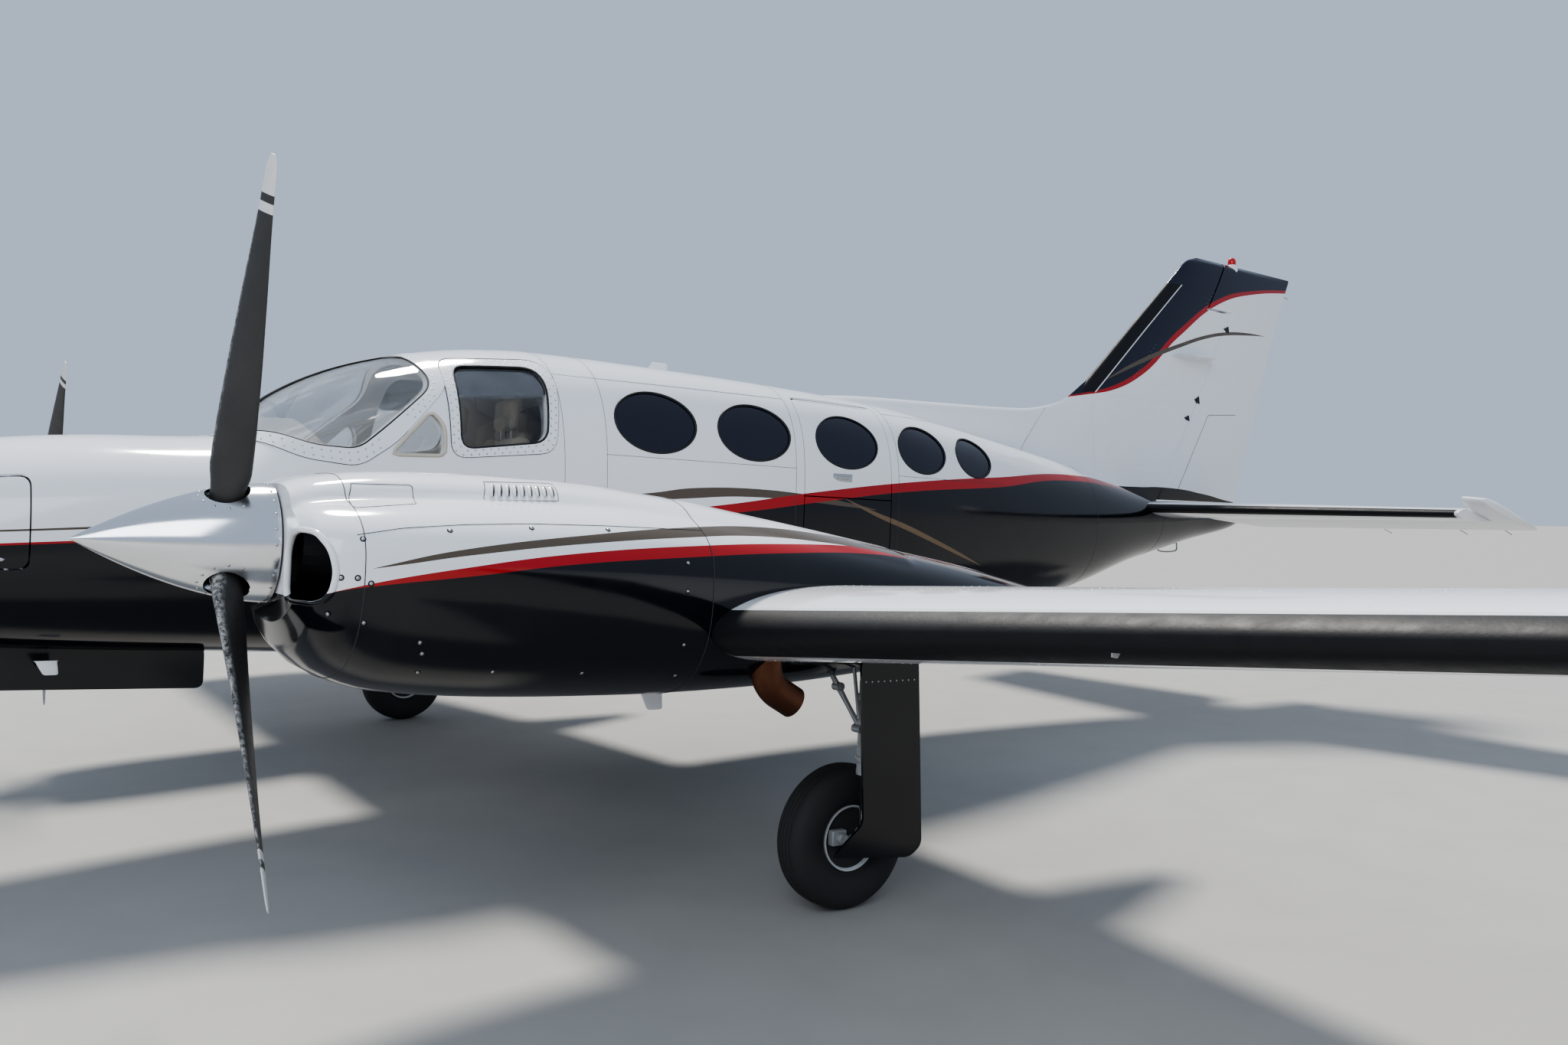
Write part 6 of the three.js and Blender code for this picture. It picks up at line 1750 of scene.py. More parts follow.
def curve_through(points, count):
    """A smooth path through a few places, by a Catmull-Rom curve."""
    points = np.array(points, float)
    padded = np.concatenate([[2 * points[0] - points[1]], points, [2 * points[-1] - points[-2]]])
    path = []
    for t in np.linspace(0, len(points) - 1, count):
        k = min(int(t), len(points) - 2)
        u = t - k
        a, b, c, d = padded[k:k + 4]
        path.append(0.5 * (2 * b + (c - a) * u + (2 * a - 5 * b + 4 * c - d) * u**2
                           + (3 * b - a - 3 * c + d) * u**3))
    return np.array(path)


def pipe_piece(path, radius, wall, sides=48, name="pipe"):
    """An open pipe bent in an upright plane, its outer and inner skins joined at both ends."""
    ways = np.gradient(path, axis=0)
    across_pipe = np.array([1.0, 0, 0])
    turn = np.arange(sides) * 2 * np.pi / sides
    rings = []
    for size, order in ((radius, 1), (radius - wall, -1)):
        for place, way in zip(path[::order], ways[::order]):
            up = np.cross(way / np.linalg.norm(way), across_pipe)
            rings.append(place + size * (np.cos(turn)[:, None] * across_pipe + np.sin(turn)[:, None] * up))
    points = np.concatenate(rings)
    count = len(rings)
    faces = [(i * sides + j, i * sides + (j + 1) % sides, ((i + 1) % count) * sides + (j + 1) % sides,
              ((i + 1) % count) * sides + j) for i in range(count) for j in range(sides)]
    return outward(raw(name, points, faces))


bend_y, bend_z = PIPE_BEND["start"]
bend_y += PIPE_BEND["radius"]
route = [(PIPE_BEND["x"], PIPE_BEND["start"][0], bend_z + PIPE_BEND["down"] * t)
         for t in np.linspace(1, 0.1, 6)]
for turn in np.radians(np.linspace(0, PIPE_BEND["turn"], 24)):
    route.append((PIPE_BEND["x"], bend_y - PIPE_BEND["radius"] * math.cos(turn),
                  bend_z - PIPE_BEND["radius"] * math.sin(turn)))
last = Vector(route[-1])
aft = (last - Vector(route[-2])).normalized()
route += [tuple(last + aft * PIPE_BEND["aft"] * t) for t in np.linspace(0.2, 1, 5)]
exhaust = pipe_piece(np.array(route), 58, 3)
exhaust = solve(exhaust, [nacelle_between(1600, 2300)])
finish_pair(exhaust, "exhaust_pipe", "airframe", exhaust_metal, ["exhaust_{}"])
print("exhaust pipe", made_pieces["exhaust_pipe_port"], "triangles")

# %% [markdown]
# ## Repeated details with Geometry Nodes
# Rivets, screws, fasteners and louvres are one shape many times over, so one tree of nodes places them all.
# Mesh code only works out where they go: points on a skin, each with the way out and the way along stored as
# attributes. A second tree turns drawn lines into thin tubes, for seams, gaskets, wicks, aerials and cabin
# controls.

# %% Two node trees
def new_tree(name, sockets):
    tree = bpy.data.node_groups.new(name, "GeometryNodeTree")
    tree.interface.new_socket("Geometry", in_out="INPUT", socket_type="NodeSocketGeometry")
    for label, kind in sockets:
        tree.interface.new_socket(label, in_out="INPUT", socket_type=kind)
    tree.interface.new_socket("Geometry", in_out="OUTPUT", socket_type="NodeSocketGeometry")
    return tree, tree.nodes.new("NodeGroupInput").outputs


def close_tree(tree, geometry, finish):
    real = wire(tree, "GeometryNodeRealizeInstances", {"Geometry": geometry})
    painted = wire(tree, "GeometryNodeSetMaterial", {"Geometry": real.outputs[0], "Material": finish})
    wire(tree, "NodeGroupOutput", {"Geometry": painted.outputs[0]})


studs, given = new_tree("rows_of_studs", [("Long", "NodeSocketFloat"), ("Wide", "NodeSocketFloat"),
                                          ("High", "NodeSocketFloat"), ("Sides", "NodeSocketInt"),
                                          ("Finish", "NodeSocketMaterial")])
points = wire(studs, "GeometryNodeMeshToPoints", {"Mesh": given["Geometry"]})
aim_way = wire(studs, "GeometryNodeInputNamedAttribute", {"Name": "aim"}, data_type="FLOAT_VECTOR")
run_way = wire(studs, "GeometryNodeInputNamedAttribute", {"Name": "along"}, data_type="FLOAT_VECTOR")
upright = wire(studs, "FunctionNodeAlignRotationToVector", {"Vector": aim_way.outputs["Attribute"]}, axis="Z")
turned_to = wire(studs, "FunctionNodeAlignRotationToVector",
                 {"Rotation": upright.outputs[0], "Vector": run_way.outputs["Attribute"]}, axis="X", pivot_axis="Z")
ball = wire(studs, "GeometryNodeMeshUVSphere", {"Segments": given["Sides"], "Rings": 4, "Radius": 1.0})
size = wire(studs, "ShaderNodeCombineXYZ", {"X": given["Long"], "Y": given["Wide"], "Z": given["High"]})
shaped = wire(studs, "GeometryNodeTransform", {"Geometry": ball.outputs[0], "Scale": size.outputs[0]})
placed = wire(studs, "GeometryNodeInstanceOnPoints",
              {"Points": points.outputs[0], "Instance": shaped.outputs[0], "Rotation": turned_to.outputs[0]})
close_tree(studs, placed.outputs[0], given["Finish"])

lines, given = new_tree("thin_tubes", [("Radius", "NodeSocketFloat"), ("Sides", "NodeSocketInt"),
                                       ("Finish", "NodeSocketMaterial")])
drawn = wire(lines, "GeometryNodeMeshToCurve", {"Mesh": given["Geometry"]})
round_profile = wire(lines, "GeometryNodeCurvePrimitiveCircle",
                     {"Resolution": given["Sides"], "Radius": given["Radius"]})
swept = wire(lines, "GeometryNodeCurveToMesh", {"Curve": drawn.outputs[0],
                                                "Profile Curve": round_profile.outputs[0],
                                                "Fill Caps": True})
close_tree(lines, swept.outputs[0], given["Finish"])
print("trees", studs.name, lines.name)

# %% Running a tree
def run_tree(base, tree, **inputs):
    """Sets the tree's inputs by identifier, evaluates it once and keeps the result as a plain mesh."""
    step = base.modifiers.new("nodes", "NODES")
    step.node_group = tree
    for label, value in inputs.items():
        step[tree.interface.items_tree[label].identifier] = value
    graph = bpy.context.evaluated_depsgraph_get()
    made = bpy.data.meshes.new_from_object(base.evaluated_get(graph))
    base.modifiers.clear()
    base.data = made
    return base


PARKED_TURN = Matrix.Rotation(-NOSE_UP, 3, "X")


def stud_rows(name, body, points, aims, finish, radius=2.2, high=1.1, long=None, along=None, sides=8):
    """Studs on a skin. Points are level millimetres; the result is parked."""
    mesh = bpy.data.meshes.new(name)
    mesh.from_pydata([PARKED @ Vector(p) for p in points], [], [])
    base = bpy.data.objects.new(name, mesh)
    bpy.context.scene.collection.objects.link(base)
    along = along if along is not None else [(0, 1, 0)] * len(points)
    for label, ways in (("aim", aims), ("along", along)):
        flat = [v for way in ways for v in PARKED_TURN @ Vector(way)]
        mesh.attributes.new(label, "FLOAT_VECTOR", "POINT").data.foreach_set("vector", flat)
    run_tree(base, studs, Long=(long or radius) * MM, Wide=radius * MM, High=high * MM, Sides=sides,
             Finish=finish)
    base.data.shade_smooth()
    return finish_piece(base, name, body, finish, level=False)


def thin_lines(name, body, paths, radius, finish, closed=False, sides=8):
    """Tubes along paths in level millimetres."""
    points, edges = [], []
    for path in paths:
        first, count = len(points), len(path)
        points += [PARKED @ Vector(p) for p in path]
        edges += [(first + k, first + k + 1) for k in range(count - 1)]
        if closed:
            edges.append((first + count - 1, first))
    mesh = bpy.data.meshes.new(name)
    mesh.from_pydata(points, edges, [])
    base = bpy.data.objects.new(name, mesh)
    bpy.context.scene.collection.objects.link(base)
    run_tree(base, lines, Radius=radius * MM, Sides=sides, Finish=finish)
    base.data.shade_smooth()
    return finish_piece(base, name, body, finish, level=False)


def resampled(path, gap, closed=False):
    path = np.array(path, float)
    if closed:
        path = np.concatenate([path, path[:1]])
    length = np.concatenate([[0], np.cumsum(np.linalg.norm(np.diff(path, axis=0), axis=1))])
    even = np.linspace(0, length[-1], max(2, int(round(length[-1] / gap)) + 1))
    even = even[:-1] if closed else even
    return np.stack([np.interp(even, length, path[:, k]) for k in range(3)], axis=1)


def on_form(form, points, out=0.0):
    """Points pulled onto a form's surface, with the way out there."""
    points = np.array(points, float)
    for _ in range(5):
        off, way = measure(form, points)
        points = points - off[:, None] * way
    return points + out * way, way


def on_side(form, places, sign=1):
    """Places given as station and height, set on one side of a form."""
    return np.array([form.side(y, z, sign) for y, z in places])


print("helpers for", studs.name, "and", lines.name)

# %% [markdown]
# ## Seams, rivets and window frames of the hull
# Frame seams ring the hull where its skins lap, with stringer seams above and below the windows. The
# windshield and the pilots' windows have raised frames with rows of screws and black gaskets inside them.

# %% Hull seams and rivets
SEAM_STATIONS = (-1580, 1890, 2120, 3290, 4062, 6120, 7060)
seam_paint = matte("seam_shadow", (0.05, 0.05, 0.055), 0.7)
STRINGER_SEAMS = [(2120, 3290, 1800), (4062, 5040, 1800), (1890, 3290, 2192), (4062, 5040, 2175)]
paths = [hull_form.ring(y, 112) for y in SEAM_STATIONS]
thin_lines("hull_frame_seams", "airframe", [on_form(hull_form, p, -0.6)[0] for p in paths], 1.5, seam_paint,
           closed=True, sides=6)
stringers = [on_side(hull_form, [(y, z) for y in steps_between(front, rear, 40)], sign)
             for front, rear, z in STRINGER_SEAMS for sign in (1, -1)]
thin_lines("hull_stringer_seams", "airframe", [on_form(hull_form, p, -0.6)[0] for p in stringers], 1.3,
           seam_paint, sides=6)
rivet_paths = [p + (0, d, 0) for p in paths for d in (-16, 16)]
rivet_paths += [p + (0, 0, d) for p in stringers for d in (-14, 14)]
spots = np.concatenate([resampled(p, 34, closed=k < 2 * len(paths)) for k, p in enumerate(rivet_paths)])
over_door = (spots > (0, 3335, 1080)).all(axis=1) & (spots[:, 1:] < (4015, 2215)).all(axis=1)
places, aims = on_form(hull_form, spots[~over_door])
stud_rows("hull_rivets", "airframe", places, aims, hull_paint, 2.4, 0.9)
print("hull rivets", len(places))

# %% Raised frames round the windshield and the pilots' windows
FRAME_PROUD = 5.0


def raised_frame(outer, inner, near, front, rear, holes=()):
    """A plate that follows the port hull between two outlines, standing a little proud of it."""
    plate = solve(across(outer, 1, near), [hull_between(front, rear, -FRAME_PROUD)[0]], "INTERSECT")
    return solve(plate, [hull_between(front, rear, 0.6)[0], across(inner, 1, near - 5), *holes])


proud_form = Body(FUSELAGE, inset=-FRAME_PROUD)
holes = [slab(-40, 0, 0, 2000, 1500, 2400), across(rounded(grown(CREW_WINDOW, 66), 80), 1),
         across(rounded(grown(VENT_WINDOW, 14), 40), 1)]
screen_plate = raised_frame(rounded(grown(WINDSHIELD, 78), 60), screen_outline(2), -20, 280, 1480, holes)
finish_pair(screen_plate, "windshield_frame", "airframe", white_gloss, forms=[proud_form])
crew_plate = raised_frame(rounded(grown(CREW_WINDOW, 64), 80), grown(rounded(CREW_WINDOW, 70), 3),
                          300, 1200, 2050)
finish_pair(crew_plate, "pilot_window_frame", "airframe", white_gloss, forms=[proud_form])


def outline_on_hull(outline, sign, out, gap=24.0, form=hull_form):
    flat = np.array([(0, y, z) for y, z in outline])
    flat = resampled(flat, gap, closed=True)
    return on_form(form, [form.side(y, z, sign) for _, y, z in flat], out)


screws, ways, gaskets, cream_rims = [], [], [], []
for sign in (1, -1):
    for outline, grow in ((WINDSHIELD, 26), (WINDSHIELD, 60), (CREW_WINDOW, 18), (CREW_WINDOW, 48)):
        crown = outline is WINDSHIELD
        spots, aims = outline_on_hull(rounded(grown(outline, grow), 60), sign, FRAME_PROUD + 0.1, 38)
        keep = (np.abs(spots[:, 0]) > 25) & (spots[:, 1] > 330)
        if crown:
            near_vent = (spots[:, 1] > 1010) & (spots[:, 2] < 1905)
            near_crew = (spots[:, 1] > 1300) & (spots[:, 2] < 2230)
            keep &= ~near_vent & ~near_crew
        screws.append(spots[keep])
        ways.append(aims[keep])
    gaskets.append(outline_on_hull(grown(rounded(CREW_WINDOW, 70), 1), sign, 0)[0])
    gaskets += [outline_on_hull(oval(*OVALS[k], 0), sign, -1)[0] for k in OVALS if (sign, k) != (1, "third")]
    cream_rims.append(outline_on_hull(grown(rounded(VENT_WINDOW, 35), 2), sign, 0)[0])
stud_rows("window_frame_screws", "airframe", np.concatenate(screws), np.concatenate(ways), steel,
          4.6, 1.2, sides=10)
thin_lines("window_gaskets", "airframe", gaskets, 6.5, gasket, closed=True)
thin_lines("vent_window_rims", "airframe", cream_rims, 9.0, cream_trim, closed=True)
door_pane_edge = outline_on_hull(oval(*OVALS["third"], 0), 1, -1)[0]
thin_lines("door_window_gasket", "cabin_door_upper", [door_pane_edge], 5.0, gasket,
           closed=True)


def longest_run(path, keep):
    """The longest stretch of a closed path whose points are kept."""
    start = int(np.argmin(keep))
    path, keep = np.roll(path, -start, axis=0), np.roll(keep, -start)
    runs = np.split(np.arange(len(keep)), np.flatnonzero(np.diff(keep.astype(int))) + 1)
    return path[max((run for run in runs if keep[run[0]]), key=len)]


crew_edges, screen_edges = [], []
for sign in (1, -1):
    crew_edges.append(outline_on_hull(rounded(grown(CREW_WINDOW, 65), 80), sign, 2)[0])
    edge = outline_on_hull(rounded(grown(WINDSHIELD, 79), 60), sign, 2)[0]
    screen_edges.append(longest_run(edge, (edge[:, 1] > 420) & (edge[:, 1] < 1340) & (edge[:, 2] < 1850)))
thin_lines("window_frame_edges", "airframe", crew_edges, 2.6, seam_paint, closed=True, sides=6)
thin_lines("windshield_frame_edges", "airframe", screen_edges, 2.6, seam_paint, sides=6)
print("window screws", sum(len(s) for s in screws))

# %% [markdown]
# The windshield's gasket runs along the glass edge, over the crown and down the centre post, so its path is
# found where the outline's walls leave the hull, by stepping inward from the side.

# %% Windshield gasket and centre post
screen_paths = []
for sign in (1, -1):
    flat = resampled([(0, y, z) for y, z in screen_outline(0)], 22, closed=True)
    side = np.array([hull_form.side(y, z, sign) for _, y, z in flat])
    side[:, 0] = sign * np.maximum(np.abs(side[:, 0]), POST_HALF)
    sections = [hull_form.section(y) for y in flat[:, 1]]
    below_crown = flat[:, 2] < np.array([float(s[3] + s[1]) for s in sections]) - 2
    path = side[below_crown]
    start = int(np.argmax(np.linalg.norm(np.diff(np.concatenate([path, path[:1]]), axis=0), axis=1))) + 1
    path = np.roll(path, -start, axis=0)
    ends = [np.array([sign * POST_HALF, path[k][1], path[k][2]]) for k in (0, -1)]
    centre = np.linspace(ends[1], ends[0], 40)[1:]
    screen_paths.append(on_form(hull_form, np.concatenate([path, centre]), 0.5)[0])
thin_lines("windshield_gaskets", "airframe", screen_paths, 5.0, gasket, closed=True)
print("windshield gasket points", [len(p) for p in screen_paths])

# %% [markdown]
# ## Cowl panels
# Each cowl has a nose bowl, a top panel held by quarter-turn fasteners, an access door and a raised panel of
# nine louvres on the spine. Their seams are thin dark lines, and the fasteners bright domes in dark rings.

# %% Cowl seams, fasteners and louvres
def both_engines(points):
    """The same places on the port and the starboard engine."""
    points = np.array(points, float)
    return [points, points * (-1, 1, 1)]


def on_engine(places, sign=1):
    return on_form(engine_form, [engine_form.side(y, z, sign) for y, z in places])


SPLIT_LINE = [(264, 1404), (394, 1427), (584, 1443), (789, 1452), (1053, 1454), (1430, 1450)]
FASTENERS = [(278, 1393), (529, 1424), (789, 1439), (1054, 1442), (221, 1284), (264, 1284), (300, 1269),
             (292, 1157), (455, 1098), (469, 1064), (478, 1003), (1327, 1343), (1340, 1072), (1359, 961),
             (1327, 1250), (700, 1000), (1000, 985), (200, 1180)]
DOOR_CORNERS = [(306, 1551), (485, 1556), (478, 1499), (281, 1479)]
LOUVRE_CORNERS = [(723, 1578), (970, 1586), (952, 1527), (698, 1519)]
split_y = np.linspace(SPLIT_LINE[0][0], SPLIT_LINE[-1][0], 40)
split_z = np.interp(split_y, *np.array(SPLIT_LINE).T)
engine_paths = [on_engine(zip(split_y, split_z), sign)[0] for sign in (1, -1)]
rings = [on_form(engine_form, engine_form.ring(y, 112))[0] for y in (283, FIREWALL + 2)]
for corners in (DOOR_CORNERS, LOUVRE_CORNERS):
    around = resampled([(0, *place) for place in corners + corners[:1]], 14)
    engine_paths.append(on_engine(around[:, 1:])[0])
thin = [pair for path in engine_paths for pair in both_engines(path)]
thin_lines("cowl_panel_seams", "airframe", thin, 1.3, seam_paint, sides=6)
rings = [pair for ring in rings for pair in both_engines(ring)]
thin_lines("cowl_ring_seams", "airframe", rings, 1.4, seam_paint, closed=True, sides=6)
heads, collars, turns = [], [], []
for sign in (1, -1):
    spots, aims = on_engine(FASTENERS, sign)
    for flip in (1, -1):
        heads.append((spots + 1.2 * aims) * (flip, 1, 1))
        collars.append(spots * (flip, 1, 1))
        turns.append(aims * (flip, 1, 1))
heads, collars, turns = (np.concatenate(part) for part in (heads, collars, turns))
stud_rows("cowl_fasteners", "airframe", heads, turns, steel, 6.0, 2.2, sides=14)
stud_rows("cowl_fastener_rings", "airframe", collars, turns, gasket, 9.0, 1.3, sides=16)
corner = np.array(LOUVRE_CORNERS, float)
slots, aims = [], []
for k in range(9):
    t = 0.09 + 0.82 * k / 8
    upper, lower = corner[0] + t * (corner[1] - corner[0]), corner[3] + t * (corner[2] - corner[3])
    low, high = lower + 0.2 * (upper - lower), lower + 0.86 * (upper - lower)
    ends, out = on_engine([tuple(low), tuple(high), tuple((low + high) / 2)])
    slots.append(ends)
    aims.append(out[2])
middles, runs = np.array([s[2] for s in slots]), np.array([s[1] - s[0] for s in slots])
half_long = float(np.linalg.norm(runs, axis=1).mean()) / 2
where, out, run = (np.concatenate(both_engines(part)) for part in (middles, aims, runs))
stud_rows("cowl_louvre_lips", "airframe", where + out, out, white_gloss, 8.5, 6.0, half_long,
          run, 14)
# A dark dome in each louvre lip is painted shade standing in for the open slot.
stud_rows("cowl_louvre_slots", "airframe", where + out * 2.2 + (0, 5, 0), out, cowl_black_and_slot_shade,
          4.8, 5.2, half_long * 0.9, run, 14)
print("fasteners", len(FASTENERS) * 4, "louvres", len(where))

# %% Spinner screws and tail rivets
for side, (x, phase) in PROP_CENTRES.items():
    screw_turns = [(math.radians(phase + 15 * k + 7.5), 114, -0.02) for k in range(24)]
    for middle in np.radians(blade_phases(phase)):
        for angle in math.radians(28) * np.arange(-4, 5):
            screw_turns.append((middle + math.asin(0.5 * math.sin(angle)), -80 * math.cos(angle), -0.35))
    spots, aims = [], []
    for turn, y, lean in screw_turns:
        radius = spinner_radius(y)
        spots.append((x + radius * math.sin(turn), y, ENGINE_Z + radius * math.cos(turn)))
        aims.append((math.sin(turn), lean, math.cos(turn)))
    stud_rows(f"spinner_screws_{side}", f"propeller_{side}", spots, aims, steel, 4.6, 2.4,
              sides=12)
fin_rows = []
for low, high, f in ((2000, 3500, 0.34), (2050, 3000, 0.18), (2050, 3300, 0.36)):
    fin_rows.append([(z, f) for z in steps_between(low, high, 30)])
for z in (2000, 2060, 2560):
    fin_rows.append([(z, f) for f in np.arange(0.1, 0.5, 0.014)])
spots = [fin_form.at(z, f, side) for row in fin_rows for z, f in row for side in (1, -1)]
aims = [(side, 0, 0) for row in fin_rows for _ in row for side in (1, -1)]
stud_rows("fin_rivets", "airframe", spots, aims, steel, 2.6, 1.0)
WING_RIBS = (2900, 3500, 4100, 4316, 5000, 5894)
wing_rows = [(x, f, side) for x in WING_RIBS for f in np.arange(0.08, 0.72, 0.022) for side in (1, -1)]
wing_rows += [(x, f, side) for f in (0.22, 0.62) for x in np.arange(2860, 5900, 36) for side in (1, -1)]
wing_rows += [(x, 0.72, side) for x in np.arange(2900, 4300, 36) for side in (1, -1)]
spots = np.array([wing_form.at(x, f, side) for x, f, side in wing_rows])
aims = np.array([(0, 0, side) for _, _, side in wing_rows])
stud_rows("wing_rivets", "airframe", np.concatenate(both_engines(spots)), np.concatenate([aims, aims]),
          white_gloss, 2.4, 1.0)
print("wing rivets", 2 * len(spots))

# %% [markdown]
# ## Lights, aerials and small fittings
# Round these off with what the eye expects on such an aircraft: a whip aerial and a blade aerial, a tie-down
# loop under the tail, static wicks on the trailing edges, trim tab seams, hinge fittings, a stall vane, wing
# tip lights and the air-stair door's handle.

# %% Aerials and tail fittings
def blade_aerial(foot, tip, chord, thick):
    """A swept blade: an oval section that narrows from foot to tip."""
    turn = np.arange(20) * 2 * np.pi / 20
    rings = []
    for t, share in ((0, 1.15), (0.06, 1.0), (0.5, 0.86), (0.92, 0.72), (1.0, 0.55)):
        x, y, z = Vector(foot).lerp(Vector(tip), t)
        rings.append(np.stack([x + thick / 2 * share * np.sin(turn), y + chord / 2 * share * np.cos(turn),
                               0 * turn + z], axis=1))
    return loft("aerial", rings)


aerials = [blade_aerial((0, 5640, 2030), (0, 5660, 2105), 110, 26),
           blade_aerial((ENGINE_X, 1480, 862), (ENGINE_X, 1500, 788), 92, 12),
           blade_aerial((350, -235, 800), (350, -215, 740), 80, 12),
           blade_aerial((0, 2800, 2310), (0, 2830, 2395), 150, 22)]
finish_piece(shade(gather("aerials", aerials)), "blade_aerials", "airframe", white_gloss)
whip = [(200, 5610, 2040), (200, 5640, 2110), (200, 5740, 2250), (200, 5847, 2386)]
thin_lines("whip_aerial", "airframe", [curve_through(whip, 24)], 3.0, steel)
loop = [(0, 7393, 1440), (0, 7430, 1400), (0, 7560, 1396), (0, 7641, 1410), (0, 7645, 1450), (0, 7635, 1510)]
thin_lines("tail_tie_loop", "airframe", [curve_through(loop, 40)], 6.0, strut_paint)
STRAKE = [(7377, 2940), (7470, 2932), (7700, 2934), (7905, 2950), (7700, 2958), (7470, 2956)]
strakes = []
for sign in (1, -1):
    strakes.append(loft("strake", [
        np.array([(sign * x, 7640 + (y - 7640) * long, 2944 + (z - 2944) * tall) for y, z in STRAKE])
        for x, long, tall in ((40, 1, 1), (110, 0.94, 0.9), (210, 0.55, 0.4))]))
finish_piece(shade(gather("strake", strakes)), "fin_strakes", "airframe", white_gloss)
rudder_wick = [(0, 8944, 3628), (0, 9015, 3622), (0, 9048, 3615)]
thin_lines("rudder_wicks", "rudder", [rudder_wick], 2.0, gasket)
for side, sign in (("port", 1), ("starboard", -1)):
    feet = [wing_form.at(x, 0.995, -1) * (sign, 1, 1) for x in (4700, 5300, 5800)]
    wicks = [[tuple(foot), tuple(foot + (0, 120, -6))] for foot in feet]
    thin_lines(f"aileron_wicks_{side}", f"aileron_{side}", wicks, 2.0, gasket)
tail_wicks = [[DROOPED @ Vector((sign * x, y - (x - 700) * 0.05, z)) for y, z in ((8085, 1722), (8190, 1718))]
              for x in (1500, 2050, 2350) for sign in (1, -1)]
thin_lines("elevator_wicks", "elevator", tail_wicks, 2.0, gasket)
TRIM_TAB = [(8321, 2546), (7910, 2512), (7519, 1850)]
tab_lines = []
for side in (1, -1):
    path = resampled([(side * 60, y, z) for y, z in TRIM_TAB], 26)
    path, _ = on_form(fin_form, path, -0.3)
    tab_lines.append(path)
thin_lines("rudder_tab_seams", "rudder", tab_lines, 2.2, seam_paint, sides=6)
print("aerials and wicks done")

# %% Hinge fittings, vane, lights, handle
fittings = []
for y, z, tall in ((7727, 2600, 50), (7600, 2450, 36), (8100, 3215, 44)):
    for side in (1, -1):
        lead, chord, _, thick = (float(v) for v in fin_form.rib(z))
        x = side * (float(fin_form.half((y - lead) / chord, thick, chord)) + 1.5)
        low, high = sorted((x - side * 14, x + side * 2.5))
        outline = [(y - 26, z + tall * 0.4), (y + 34, z + tall), (y + 46, z - tall * 0.2),
                   (y + 4, z - tall * 0.1)]
        fittings.append(prism(outline, "x", low, high, "fitting"))
finish_piece(gather("fittings", fittings), "rudder_hinge_fittings", "airframe", black_gloss)
vane = prism([(1468, 1203), (1486, 1200), (1496, 1211), (1468, 1213)], "x", 4475, 4479, "vane")
finish_piece(shade(vane), "stall_vane", "airframe", steel)
tip_y = wing_form.at(6225, 0.3, 1)[1] - 40
tip_lamp = turned([(0, -26), (12, -22), (17, -8), (17, 8), (12, 22), (0, 26)], "y", (6240, tip_y, 1392), 24)
finish_pair(tip_lamp, "wing_tip_light", "airframe", lamp_clear)
handle_y, handle_z = 3620, 1765
handle_x = hull_form.side(handle_y, handle_z)[0]
handle = [box_round(handle_x - 6, handle_x + 2, handle_y - 70, handle_y + 70, handle_z - 22,
                    handle_z + 22, 2),
          box_round(handle_x + 1, handle_x + 9, handle_y - 58, handle_y + 40, handle_z - 9, handle_z + 9, 3)]
finish_piece(shade(gather("handle", handle)), "door_handle", "cabin_door_upper", steel)
hinge_edge = on_side(hull_form, [(y, 2193) for y in steps_between(3392, 3958, 24)])
thin_lines("door_hinge_upper", "cabin_door_upper", [on_form(hull_form, hinge_edge, -1)[0]], 2.5,
           white_gloss)
for side, sign in (("port", 1), ("starboard", -1)):
    latch = [on_form(hull_form, on_side(hull_form, [(y, 1225)], sign)) for y in (-760, -600, -430)]
    stud_rows(f"hatch_latches_{side}", f"baggage_door_{side}", [p[0][0] for p in latch],
              [p[1][0] for p in latch], steel, 9.0, 2.4, 24.0, sides=16)
door_rivets = np.array(DOOR_RIVETS + [(-x, y, z) for x, y, z in DOOR_RIVETS])
rivet_aims = [(math.copysign(1, x), 0, 0) for x, _, _ in door_rivets]
stud_rows("leg_door_rivets", "airframe", door_rivets, rivet_aims, steel, 4.0, 1.6)
print("small fittings done")

# %% [markdown]
# ## The cabin
# Through the clear windshield and the pilots' windows one sees a cream-lined cabin: an instrument panel under
# a humped glareshield with a compass on it, two control wheels and two seats. Facing seats show darkly
# through the tinted panes.

# %% Panel and controls
FLOOR_TOP = 1045
HOOD_TOPS = ((562, 1664), (620, 1674), (760, 1692), (880, 1694), (905, 1682), (910, 1672))
YOKE = [(-125, 1004, 1540), (-130, 1000, 1475), (-80, 996, 1432), (0, 994, 1440), (80, 996, 1432),
        (130, 1000, 1475), (125, 1004, 1540)]
panel_black = matte("panel_black", (0.022, 0.022, 0.024), 0.55, 240.0)
dial_face = matte("dial_face", (0.006, 0.006, 0.007), 0.35)
board = solve(box_round(-780, 780, 802, 878, 1306, 1690, 10), [hull_between(700, 1000, WALL + 1)[0]],
              "INTERSECT")


def hood_ring(y, top):
    corners = [(-720, 1640), (720, 1640), (690, top), (0, top + 22), (-690, top)]
    return np.array([(x, y, z) for x, z in rounded(corners, 60, 6)])


